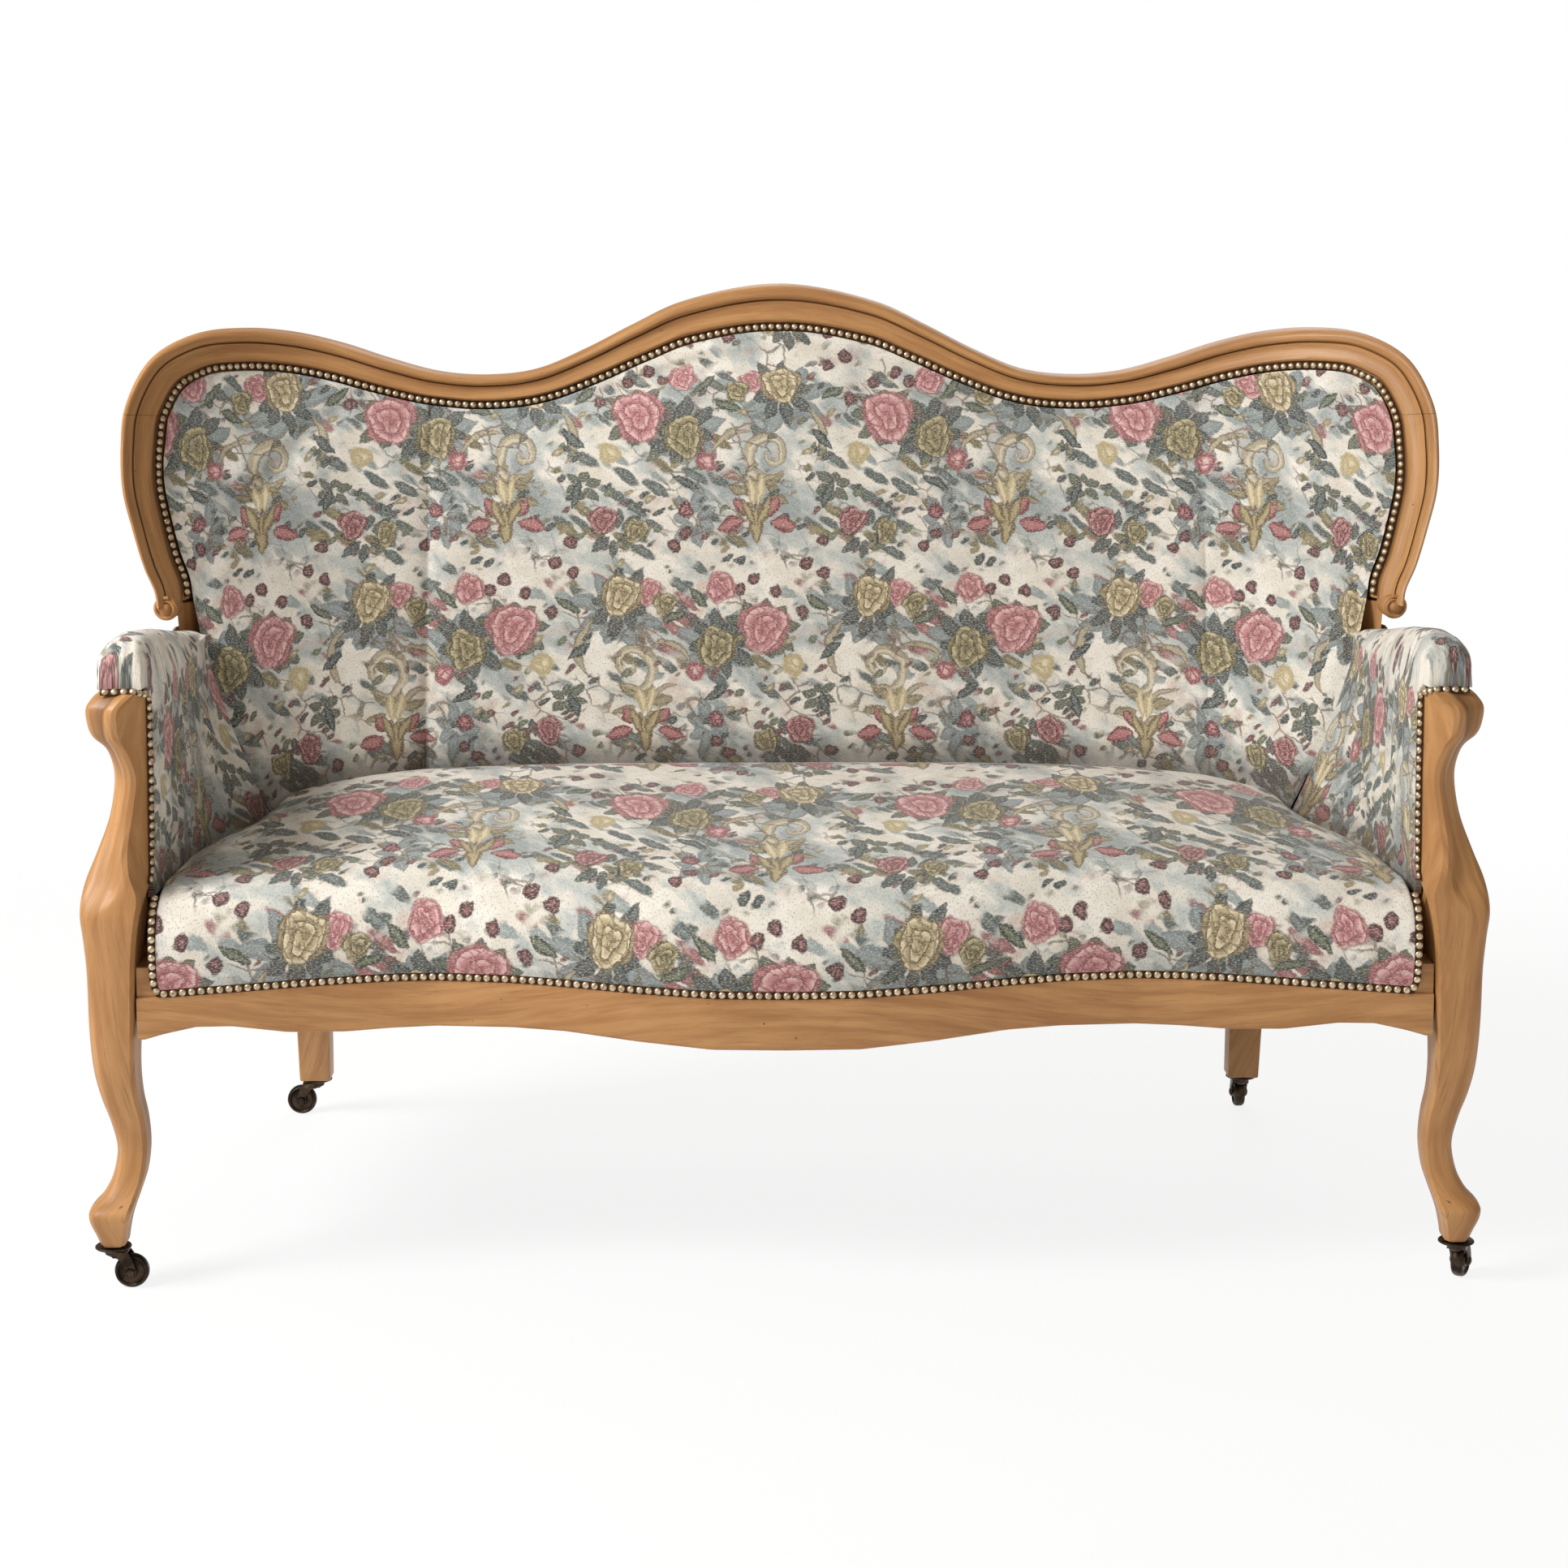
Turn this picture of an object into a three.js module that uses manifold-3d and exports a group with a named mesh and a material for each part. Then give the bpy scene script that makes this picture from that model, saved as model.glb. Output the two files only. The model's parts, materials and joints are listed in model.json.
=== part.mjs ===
// Camelback sofa with a show-wood frame, upholstered in one figured cloth and standing on castors.
// Millimetres, +Z up, +Y to the back, +X to the right as the sitter's front is seen.

import * as THREE from 'three';
import Module from 'manifold-3d';

const wasm = await Module();
wasm.setup();

// Overall sizes of the sofa
const BACK_HEIGHT = 1088;
const BACK_HALF_WIDTH = 808;
const VOLUTE_HEIGHT = 704;
const SEAT_HEIGHT = 470;
const CASTOR_HEIGHT = 48;
const CLEARANCE = 0.3;

// Widths from the middle: the back reaches out past the front legs, and the rest is set from the legs
const BACK_BEYOND_LEG = 113;
const LEG_INNER = BACK_HALF_WIDTH - BACK_BEYOND_LEG;
const RAIL_INTO_LEG = 10;
const FRONT_RAIL_HALF = LEG_INNER + RAIL_INTO_LEG;
const SIDE_BEYOND_LEG = 58;
const SIDE_HALF = LEG_INNER + SIDE_BEYOND_LEG;
const ARM_BEYOND_LEG = 62;
const ARM_HALF = LEG_INNER + ARM_BEYOND_LEG;
const ARM_PROUD_OF_LEG = 1;
const ARM_FRONT_HALF = LEG_INNER - ARM_PROUD_OF_LEG;
const ARM_BEHIND_LEG = 2;
const ARM_SEAT_HALF = LEG_INNER + ARM_BEHIND_LEG;
const SEAT_TO_LEG = 7;
const SEAT_HALF = LEG_INNER - SEAT_TO_LEG;
const CAVITY_TO_LEG = 155;
const CAVITY_HALF_WIDTH = LEG_INNER - CAVITY_TO_LEG;
const BACK_LEG_TO_LEG = 95;
const BACK_LEG_X = LEG_INNER - BACK_LEG_TO_LEG;
const LEFT_WING_WIDTH = 356;
const SEAM_LEFT = BACK_HALF_WIDTH - LEFT_WING_WIDTH;
const RIGHT_WING_WIDTH = 267;
const SEAM_RIGHT = BACK_HALF_WIDTH - RIGHT_WING_WIDTH;

// The back plane: how far back it stands, how it leans and how its wings come forward
const BACK_DEPTH = 622;
const RAKE_SHARE = 0.18;
const WING_REACH = 220;
const WING_POWER = 4.5;
const WING_BEYOND_BACK = 64;
const WING_TOP_HALF = BACK_HALF_WIDTH + WING_BEYOND_BACK;
const WING_SEAT_HALF = FRONT_RAIL_HALF;

// Moulded rail of the back: its outer edge as shares of half width and of the rise above the volute
const CREST_SHARES = [
  [0, 1], [0.157, 0.94], [0.235, 0.865], [0.314, 0.781], [0.392, 0.714], [0.47, 0.695], [0.547, 0.708],
  [0.624, 0.753], [0.699, 0.807], [0.772, 0.846], [0.843, 0.862], [0.91, 0.849], [0.965, 0.779],
  [0.996, 0.635], [1, 0.497], [0.995, 0.367], [0.981, 0.25], [0.963, 0.125], [0.948, 0.047], [0.944, 0],
];
const UPRIGHT_INSIDE_VOLUTE = 14.752;
const UPPER_PLAN_HALF = BACK_HALF_WIDTH * CREST_SHARES.at(-1)[0] - UPRIGHT_INSIDE_VOLUTE;
const FACE_WIDTH = 50;
const FACE_WIDTH_SHARES = [1, 0.91, 0.77, 0.66, 0.64, 0.74, 0.82, 0.86, 0.69, 0.58, 0.5];
const FRAME_DEPTH = 40;
const MOULDING_RISE = 14;
const FACE_PROFILE_SHARES = [
  [0, 0], [0.05, 0.35], [0.28, 0.55], [0.48, 0.5], [0.55, 0.2], [0.62, 0.55], [0.75, 1], [0.88, 0.85],
  [0.97, 0.3],
];
const REAR_PROFILE_SHARES = [[1, 0.2], [1, 0.75], [0.9, 1], [-0.25, 1], [-0.25, 0.16], [0, 0.16]];
const RAIL_STEPS = 56;
const CREST_JOINT_FROM_VOLUTE = 240;
const VOLUTE_RADIUS = 15;
const VOLUTE_BOSS_RADIUS = 7;
const VOLUTE_BOSS_RISE = 5;

// Seat frame
const RAIL_TOP = 366;
const RAIL_THICKNESS = 34;
const RAIL_UNDERSIDE = 300;
const FRONT_RAIL_FACE = 32;
const FRONT_RAIL_BOW = 46;
const NAIL_LINE = 345;
const COVER_REBATE = 4;
const RAIL_SHARES = [0, 0.115, 0.23, 0.345, 0.43, 0.55, 0.62, 0.69, 0.78, 0.865, 0.92, 0.97, 1];
const RAIL_BOW_SHARES = [1, 0.96, 0.76, 0.42, 0.2, 0, 0.02, 0.1, 0.26, 0.44, 0.54, 0.62, 0.65];
const RAIL_NAIL_RISE = 9;
const RAIL_NAIL_SHARES = [-0.4, -0.3, 0.1, 0.55, 0.8, 0.9, 0.8, 0.6, 0.3, 0, -0.2, -0.4, -0.45];
const RAIL_DROP = 25;
const RAIL_DROP_SHARES = [1, 0.98, 0.7, 0.38, 0.3, 0.32, 0.4, 0.52, 0.46, 0.1, 0.08, 0.36, 0.6];
const TENON_LENGTH = 22;
const TENON_HEIGHT = 34;
const TENON_THICKNESS = 12;

// Plan of the outside of the seat frame, from the front post round to the middle of the back
const BACK_RAIL_BEHIND_PLANE = 36.5;
const BACK_RAIL_DEPTH = BACK_DEPTH - RAKE_SHARE * (SEAT_HEIGHT - NAIL_LINE) + BACK_RAIL_BEHIND_PLANE;
const FRAME_PLAN_SHARES = [
  [1, 0.044], [1, 0.236], [0.993, 0.425], [0.98, 0.582], [0.951, 0.715], [0.908, 0.825], [0.837, 0.912],
  [0.728, 0.962], [0.571, 0.987], [0.385, 0.997], [0, 1],
];
const ARM_PLAN_SHARES = [[1, 0.044], [1.001, 0.252], [1.001, 0.472], [0.999, 0.629]];
const UPPER_PLAN_SHARES = [1, 0.936, 0.856, 0.749, 0.602, 0.401, 0];
const UPRIGHT_SHARE = 0.4;

// Front legs: each is one piece with its arm post. Outer and inner side, front, rear and arris of the post,
// as shares of the blank, which is measured out from the inner side and forward from the rear face.
const LEG_REAR = 28;
const LEG_BLANK = 78;
const POST_BELOW_VOLUTE = 36;
const POST_HEIGHT = VOLUTE_HEIGHT - POST_BELOW_VOLUTE;
const LEG_SHARES = [
  [0, 0.86, 0.49, 0.79, 0.33], [0.023, 0.92, 0.46, 0.85, 0.33], [0.048, 0.99, 0.42, 0.92, 0.29],
  [0.065, 1, 0.38, 0.94, 0.24], [0.092, 0.82, 0.31, 0.73, 0.15], [0.132, 0.68, 0.22, 0.58, 0.08],
  [0.173, 0.64, 0.19, 0.53, 0.04], [0.221, 0.72, 0.21, 0.56, 0.05], [0.269, 0.83, 0.27, 0.65, 0.08],
  [0.326, 0.91, 0.29, 0.74, 0.08], [0.406, 0.94, 0.26, 0.82, 0.05], [0.503, 0.94, 0.23, 0.87, 0],
  [0.568, 0.97, 0.18, 0.92, 0], [0.608, 1, 0.13, 0.94, 0], [0.656, 0.95, 0.06, 0.86, 0],
  [0.713, 0.78, 0.03, 0.71, 0], [0.785, 0.59, 0.01, 0.55, 0], [0.844, 0.53, 0.01, 0.51, 0],
  [0.894, 0.6, 0, 0.6, 0], [0.931, 0.82, 0, 0.76, 0], [0.966, 0.86, 0, 0.81, 0], [0.987, 0.79, 0.01, 0.76, 0],
  [1, 0.68, 0.04, 0.64, 0.05],
];
const POST_ARRIS_SHARES = [
  0.14, 0.14, 0.14, 0.14, 0.14, 0.14, 0.14, 0.14, 0.14, 0.14, 0.14, 0.14, 0.14, 0.14, 0.22, 0.29, 0.23, 0.17,
  0.26, 0.36, 0.36, 0.26, 0.14,
];
const FLAT_FACE_FROM_SHARE = 0.6;
const FLAT_FACE_FULL_SHARE = 0.72;
const ARRIS_WIDTH = 12;
const GROOVE_FROM_ARRIS = 16.8;
const GROOVE_DEPTH = 7;
const NAIL_EDGE = 10;
const POST_REBATE = 11;
const EDGE_ROUND = 8;
const LEG_CORNER = 12;
const POST_CORNER = 20;
const LEG_SIDE_SHARE = 0.3;
const LEG_FACE_SHARES = [0.35, 0.6, 0.75];

// Back legs
const BACK_LEG_TO_RAIL = 84;
const BACK_LEG_Y = BACK_RAIL_DEPTH - BACK_LEG_TO_RAIL;
const BACK_LEG_SIZE = 46;
const BACK_LEG_SPLAY = 12;
const BACK_LEG_FOOT_X = BACK_LEG_X + BACK_LEG_SPLAY;
const BACK_LEG_RAKE = 98;
const BACK_LEG_FOOT_Y = BACK_LEG_Y + BACK_LEG_RAKE;
const BACK_LEG_FOOT_SIZE = 40;
const BACK_KNEE_SHARES = [0.55, 0.6];
const STILE_WIDTH = 40;
const STILE_BELOW_CREST = 116;
const STILE_TOP = BACK_HEIGHT - STILE_BELOW_CREST;
const STILE_SETBACK = 5;

// Seat upholstery
const COVER_THICKNESS = 2;
const SHEET_GAP = 2.2;
const SEAT_FRONT_RISE_SHARES = [
  [0, 0], [-0.07, 0.3], [-0.06, 0.62], [0.04, 0.84], [0.22, 0.96], [0.6, 1.05],
];
const SEAT_EDGE_RISE = 104;
const SEAT_BACK_HEIGHT = 481;
const SEAT_ARM_HEIGHT = 449;
const SEAT_CROWN = 11;
const SEAT_EDGE_DEPTH_SHARES = [0, 0.6, 0.8];
const SEAT_COLUMNS = 18;
const SEAT_ROWS = 7;
const SPRING_CAVITY_TOP = 404;
const CAVITY_FRONT = 50;
const CAVITY_BACK = 440;

// Back and arm upholstery
const PUFF = 38;
const PUFF_RUN = 70;
const SEAM_DRAW = 6;
const SEAM_SPREAD = 20;
const PAD_BOTTOM = 450;
const PAD_REAR = 6;
const ARM_TOP = VOLUTE_HEIGHT;
const ARM_STEPS = 8;
const GIMP_WIDTH = 8;
const GIMP_THICKNESS = 1.6;
const GIMP_GAP = 1.2;
const COVER_INSET = 11;

// Arm rail under the roll of the arm
const ARM_RAIL_BEYOND_LEG = 37;
const ARM_RAIL_CENTRE = LEG_INNER + ARM_RAIL_BEYOND_LEG;
const ARM_RAIL_WIDTH = 26;
const ARM_RAIL_HEIGHT = 34;
const ARM_RAIL_HIGH = POST_HEIGHT;
const ARM_RAIL_LOW = ARM_RAIL_HIGH - ARM_RAIL_HEIGHT;

// Webbing, springs and bottom cloth
const STRAP_WIDTH = 50;
const STRAP_THICKNESS = 2;
const STILE_GAP = 3.4;
const STILE_FRONT = PAD_REAR + STRAP_THICKNESS + STILE_GAP;
const CLOTH_THICKNESS = 1.5;
const SPRING_RADIUS = 44;
const SPRING_WAIST_SHARE = 0.62;
const SPRING_WIRE = 3.6;
const SPRING_TURNS = 4;
const SPRING_TO_CAVITY = 170;
const SPRING_X = CAVITY_HALF_WIDTH - SPRING_TO_CAVITY;
const SPRING_FRONT_Y = 165;
const SPRING_BACK_Y = 385;

// Castors
const PLATE_RADIUS = 17;
const PLATE_THICKNESS = 3;
const PIN_RADIUS = 4;
const RIVET_RADIUS = 5.4;
const RIVET_THICKNESS = 2.4;
const HUB_RADIUS = 9.5;
const HUB_HEIGHT = 7;
const RUNNING_GAP = 0.08;
const TRAIL = 20;
const WHEEL_RADIUS = 19;
const WHEEL_WIDTH = 14;
const WHEEL_ROUND = 2.6;
const CHEEK_THICKNESS = 2.6;
const CHEEK_GAP = 1;
const CHEEK_WIDTH = 12;
const BRIDGE_THICKNESS = 3.6;
const AXLE_RADIUS = 2.6;
const AXLE_HEAD_RADIUS = 4.2;
const AXLE_HEAD = 1.4;
const FRONT_PIN_BEYOND_LEG = 53;
const FRONT_PIN_X = LEG_INNER + FRONT_PIN_BEYOND_LEG;
const FRONT_PIN_Y = 18;
const ROUND_SIDES = 14;

// Joints and small parts of the frame
const LEG_RAIL_SHARE = 0.218;
const PLAN_GAP = 1;
const SIDE_RAIL_FROM_SHARE = 0.006;
const SIDE_RAIL_TO_SHARE = 0.595;
const UPRIGHT_DEPTH = 26;
const UPRIGHT_SPAN_SHARE = 0.06;
const VOLUTE_ACROSS_SHARE = 0.62;
const VOLUTE_DEPTH = 32;
const LOWER_RAIL_HEIGHT = 40;
const LOWER_RAIL_BASE = SEAT_HEIGHT;
const LOWER_RAIL_DEPTH = 18;
const LOWER_RAIL_SETBACK = 2;
const BLOCK_LEG = 62;
const BLOCK_HEIGHT = 40;
const TACK_OVERLAP = 18;
const SEAT_STRAP_X_SHARES = [-0.8, -0.48, -0.16, 0.16, 0.48, 0.8];
const SEAT_STRAP_Y_SHARES = [0.28, 0.52, 0.76];

// Rolled arms. Roll shares: across the roll, and up it.
const WING_SWEEP_SHARE = 0.566;
const ARM_WALL_SHARES = [0, 0.36, 0.68, 0.9];
const ROLL_SHARES = [[0.03, 0.62], [0.16, 0.9], [0.42, 1], [0.72, 0.95], [0.93, 0.7], [1, 0.34], [0.98, 0]];
const ROLL_BELOW_ARM_TOP = 64;
const ROLL_LOW = ARM_TOP - ROLL_BELOW_ARM_TOP;
const ARM_PAD_BOTTOM = 436;
const ARM_TOP_DEPTH_SHARES = [-0.016, 0.047, 0.13, 0.3, 0.55, 0.7];
const ARM_TOP_SHARES = [0.987, 1.002, 1.005, 1.004, 0.977, 0.96];
const LIP_RUN = 6;
const WALL_STUFFING = 8;
const ARM_GIMP_FROM_SHARE = 0.65;
const POST_GIMP_GAP = 1.4;

// Spread of the rows and columns of the cloth, and where its outside pieces end
const PAD_ROW_POWER = 1.5;
const SEAT_ROW_POWER = 0.8;
const SEAT_CREASE = 4;
const SEAT_SPREAD_SHARE = 0.55;
const BACK_COVER_BASE = 330;
const OUTSIDE_ACROSS_SHARE = 0.3;
const ARM_COVER_TOP_SHARES = [0.345, 0.375];
const ARM_WAIST = 20;
const WAIST_LOW = 432;
const WAIST_HIGH = 530;
const WAIST_TO_SHARE = 0.1;

// Steps of the lofts and of the searches
const NAIL_SAMPLES = 400;
const SEARCH_STEPS = 40;
const SETTLE_SHARE = 0.6;
const SIDE_RAIL_STEPS = 10;
const STILE_STEPS = 4;
const UPRIGHT_STEPS = 4;
const BOTTOM_CLOTH_STEPS = 8;
const BACK_RAIL_STEPS = 14;
const FRONT_RAIL_STEPS = 34;
const LOWER_RAIL_STEPS = 16;
const SPRING_STEPS_PER_TURN = 8;
const SPRING_SIDES = 5;
const PAD_ROWS = 7;
const MIDDLE_COLUMNS = 18;
const LEFT_COLUMNS = 8;
const RIGHT_COLUMNS = 6;
const WEB_ROWS_EVERY = 2;
const WEB_COLUMNS_EVERY = 3;
const BACK_COVER_COLUMNS = 30;
const BACK_COVER_ROWS = 8;
const ARM_COVER_COLUMNS = 8;
const ARM_COVER_ROWS = 3;
const BACK_GIMP_STEPS = 56;
const SEAT_GIMP_STEPS = 34;

// Finishes
const finish = (color, roughness, metalness = 0) =>
  new THREE.MeshStandardMaterial({ color, roughness, metalness });
const oak = finish(0xb98b5c, 0.55);
const beech = finish(0xc9a97c, 0.75);
const cloth = finish(0xc9c3b8, 0.9);
const horsehair = finish(0x8b7660, 0.95);
const jute = finish(0xa58a5f, 0.95);
const braid = finish(0x4a3226, 0.7);
const bottomCloth = finish(0x2b2a2a, 0.95);
const steel = finish(0x7b7d80, 0.4, 0.9);
const bronze = finish(0x4d3f30, 0.45, 0.85);

const sofa = new THREE.Group();

function addPiece(name, geometry, material, parent = sofa) {
  const mesh = new THREE.Mesh(geometry, material);
  mesh.name = name;
  parent.add(mesh);
  return mesh;
}

// Geometry helpers
const at = (x, y, z) => new THREE.Vector3(x, y, z);
const mix = (a, b, share) => a + (b - a) * share;

function readShares(shares, position) {
  const place = THREE.MathUtils.clamp(position, 0, 1) * (shares.length - 1);
  const low = Math.min(Math.floor(place), shares.length - 2);
  return mix(shares[low], shares[low + 1], place - low);
}

function readTable(keys, values, key) {
  let index = 0;
  while (index < keys.length - 2 && key > keys[index + 1]) index += 1;
  const share = THREE.MathUtils.clamp((key - keys[index]) / (keys[index + 1] - keys[index]), 0, 1);
  return mix(values[index], values[index + 1], share);
}

function closedMesh(points, faces) {
  const positions = new Float32Array(points.flatMap((point) => [point.x, point.y, point.z]));
  let volume = 0;
  for (const [a, b, c] of faces) {
    volume += points[a].dot(points[b].clone().cross(points[c]));
  }
  const ordered = volume < 0 ? faces.map(([a, b, c]) => [a, c, b]) : faces;
  const geometry = new THREE.BufferGeometry();
  geometry.setAttribute('position', new THREE.BufferAttribute(positions, 3));
  geometry.setIndex(ordered.flat());
  return geometry;
}

// Triangles over one ring of points, wound as the ring runs
function capFaces(ring) {
  const normal = at(0, 0, 0);
  ring.forEach((point, index) => {
    normal.add(point.clone().cross(ring[(index + 1) % ring.length]));
  });
  normal.normalize();
  const across = ring[1].clone().sub(ring[0]).projectOnPlane(normal).normalize();
  const up = normal.clone().cross(across);
  const flat = ring.map((point) => new THREE.Vector2(point.dot(across), point.dot(up)));
  return THREE.ShapeUtils.triangulateShape(flat, []).map(([a, b, c]) => {
    const side = flat[b].clone().sub(flat[a]).cross(flat[c].clone().sub(flat[a]));
    return side > 0 ? [a, b, c] : [a, c, b];
  });
}

// A closed body through a row of rings that all have the same number of points
function loft(rings) {
  const count = rings[0].length;
  const faces = [];
  for (let step = 0; step < rings.length - 1; step += 1) {
    for (let side = 0; side < count; side += 1) {
      const next = (side + 1) % count;
      const low = step * count;
      const high = low + count;
      faces.push([low + side, low + next, high + next], [low + side, high + next, high + side]);
    }
  }
  const last = (rings.length - 1) * count;
  capFaces(rings[0]).forEach(([a, b, c]) => faces.push([a, c, b]));
  capFaces(rings.at(-1)).forEach(([a, b, c]) => faces.push([last + a, last + b, last + c]));
  return closedMesh(rings.flat(), faces);
}

// A closed body between two grids of points, joined round their rim
function shell(front, back) {
  const rows = front.length;
  const columns = front[0].length;
  const offset = rows * columns;
  const faces = [];
  const quad = (a, b, c, d) => faces.push([a, b, c], [a, c, d]);
  for (let row = 0; row < rows - 1; row += 1) {
    for (let column = 0; column < columns - 1; column += 1) {
      const corner = row * columns + column;
      quad(corner, corner + 1, corner + columns + 1, corner + columns);
      quad(
        offset + corner, offset + corner + columns, offset + corner + columns + 1, offset + corner + 1,
      );
    }
  }
  const rim = [];
  for (let column = 0; column < columns - 1; column += 1) rim.push(column);
  for (let row = 0; row < rows - 1; row += 1) rim.push(row * columns + columns - 1);
  for (let column = columns - 1; column > 0; column -= 1) rim.push((rows - 1) * columns + column);
  for (let row = rows - 1; row > 0; row -= 1) rim.push(row * columns);
  rim.forEach((corner, index) => {
    const next = rim[(index + 1) % rim.length];
    quad(next, corner, offset + corner, offset + next);
  });
  return closedMesh([...front.flat(), ...back.flat()], faces);
}

const grid = (rows, columns, place) =>
  Array.from({ length: rows + 1 }, (_, row) =>
    Array.from({ length: columns + 1 }, (__, column) => place(row / rows, column / columns)));

function box(low, high) {
  const geometry = new THREE.BoxGeometry(high.x - low.x, high.y - low.y, high.z - low.z);
  geometry.translate((low.x + high.x) / 2, (low.y + high.y) / 2, (low.z + high.z) / 2);
  return geometry;
}

// Solids for cutting and joining
function toSolid(geometry) {
  const index = geometry.index.array;
  const source = geometry.attributes.position;
  const keys = new Map();
  const places = [];
  const remap = [];
  const grain = 1e4;
  for (let vertex = 0; vertex < source.count; vertex += 1) {
    const spot = [source.getX(vertex), source.getY(vertex), source.getZ(vertex)];
    const key = spot.map((value) => Math.round(value * grain)).join();
    if (!keys.has(key)) {
      keys.set(key, places.length / 3);
      places.push(...spot);
    }
    remap.push(keys.get(key));
  }
  const triVerts = new Uint32Array(Array.from(index, (vertex) => remap[vertex]));
  const vertProperties = new Float32Array(places);
  return new wasm.Manifold(new wasm.Mesh({ numProp: 3, vertProperties, triVerts }));
}

function toGeometry(solid) {
  const mesh = solid.getMesh();
  const geometry = new THREE.BufferGeometry();
  geometry.setAttribute('position', new THREE.BufferAttribute(mesh.vertProperties.slice(), 3));
  geometry.setIndex(Array.from(mesh.triVerts));
  return geometry;
}

const join = (...pieces) => toGeometry(pieces.map(toSolid).reduce((sum, piece) => sum.add(piece)));
const cut = (body, ...tools) =>
  toGeometry(tools.map(toSolid).reduce((rest, tool) => rest.subtract(tool), toSolid(body)));

// A block on a line: its length along one direction, its width across it in plan, and its height
function block(start, end, width, height) {
  const along = end.clone().sub(start).setZ(0).normalize();
  const side = at(-along.y, along.x, 0).multiplyScalar(width / 2);
  const lift = at(0, 0, height / 2);
  const ring = (centre) => [
    centre.clone().add(side).add(lift), centre.clone().sub(side).add(lift),
    centre.clone().sub(side).sub(lift), centre.clone().add(side).sub(lift),
  ];
  return loft([ring(start), ring(end)]);
}

// A tenon and the wider mortise that takes it
function tenonAndMortise(start, end, width = TENON_THICKNESS, height = TENON_HEIGHT) {
  const along = end.clone().sub(start).normalize();
  const deep = end.clone().addScaledVector(along, CLEARANCE);
  const inside = start.clone().addScaledVector(along, -TENON_LENGTH / 2);
  return {
    tenon: block(inside, end, width, height),
    mortise: block(inside, deep, width + 2 * CLEARANCE, height + 2 * CLEARANCE),
  };
}

// Mirror a point to the left or right side
const onSide = (side, x, y, z) => at(side * x, y, z);

// The back plane and its rails
function halfWidthAt(height) {
  const share = (BACK_HEIGHT - height) / (BACK_HEIGHT - SEAT_HEIGHT);
  return WING_TOP_HALF - (WING_TOP_HALF - WING_SEAT_HALF) * share ** 2;
}

function planeY(x, z) {
  const reach = (Math.abs(x) * WING_TOP_HALF) / (halfWidthAt(z) * BACK_HALF_WIDTH);
  return BACK_DEPTH + RAKE_SHARE * (z - SEAT_HEIGHT) - WING_REACH * reach ** WING_POWER;
}

const crestPoint = ([x, z], side) =>
  at(side * x * BACK_HALF_WIDTH, 0, mix(VOLUTE_HEIGHT, BACK_HEIGHT, z));
const crestCurve = new THREE.CatmullRomCurve3([
  ...CREST_SHARES.slice(1).reverse().map((share) => crestPoint(share, -1)),
  ...CREST_SHARES.map((share) => crestPoint(share, 1)),
]);
crestCurve.arcLengthDivisions = 2000;
const CREST_LENGTH = crestCurve.getLength();

// A point of the moulded rail: across runs from its inner edge to its outer one, beyond is a length past that
function railPoint(position, across, depth, beyond = 0) {
  const point = crestCurve.getPointAt(position);
  const tangent = crestCurve.getTangentAt(position);
  const width = FACE_WIDTH * readShares(FACE_WIDTH_SHARES, Math.abs(2 * position - 1));
  const inward = width * (1 - across) + beyond;
  const x = point.x + tangent.z * inward;
  const z = point.z - tangent.x * inward;
  return at(x, planeY(x, z) + depth, z);
}

const railRing = (position) => [
  ...FACE_PROFILE_SHARES.map(([across, rise]) => railPoint(position, across, -rise * MOULDING_RISE)),
  ...REAR_PROFILE_SHARES.map(([across, depth]) => railPoint(position, across, depth * FRAME_DEPTH)),
];

function railSweep(from, to) {
  const steps = Math.max(2, Math.round((to - from) * RAIL_STEPS));
  return loft(Array.from({ length: steps + 1 }, (_, step) => railRing(mix(from, to, step / steps))));
}

// Edge of the upholstery inside the rail: its upper run as height over x, its side run as x over height
const nailLine = Array.from({ length: NAIL_SAMPLES + 1 }, (_, step) =>
  railPoint(mix(0.5, 1, step / NAIL_SAMPLES), 0, 0, COVER_INSET));
const widest = nailLine.reduce((best, point, index) => (point.x > nailLine[best].x ? index : best), 0);
const upperRun = nailLine.slice(0, widest + 1);
const sideRun = nailLine.slice(widest).reverse();
const upperX = upperRun.map((point) => point.x);
const upperZ = upperRun.map((point) => point.z);
const sideX = sideRun.map((point) => point.x);
const sideZ = sideRun.map((point) => point.z);
const nailHeight = (x) => readTable(upperX, upperZ, Math.abs(x));

function nailHalfWidth(z) {
  if (z > sideZ.at(-1)) return (sideX.at(-1) * halfWidthAt(z)) / halfWidthAt(sideZ.at(-1));
  if (z < sideZ[0]) return (sideX[0] * halfWidthAt(z)) / halfWidthAt(sideZ[0]);
  return readTable(sideZ, sideX, z);
}

function distanceToNails(x, z) {
  return Math.min(...nailLine.map((point) => Math.hypot(point.x - Math.abs(x), point.z - z)));
}

// Front face of the back's cover
function padFront(x, z) {
  const seam = x < 0 ? SEAM_LEFT : SEAM_RIGHT;
  const draw = SEAM_DRAW * Math.exp(-(((Math.abs(x) - seam) / SEAM_SPREAD) ** 2));
  const fullness = 1 - Math.exp(-distanceToNails(x, z) / PUFF_RUN);
  return planeY(x, z) - (PUFF - draw) * fullness;
}

// Height of the seat where it meets the back or an arm, by how far back it is
function seatEdgeHeight(y) {
  const depths = SEAT_EDGE_DEPTH_SHARES.map((share) => share * BACK_DEPTH);
  return readTable(depths, [SEAT_ARM_HEIGHT - SEAT_CROWN, SEAT_ARM_HEIGHT, SEAT_BACK_HEIGHT], y);
}

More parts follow.
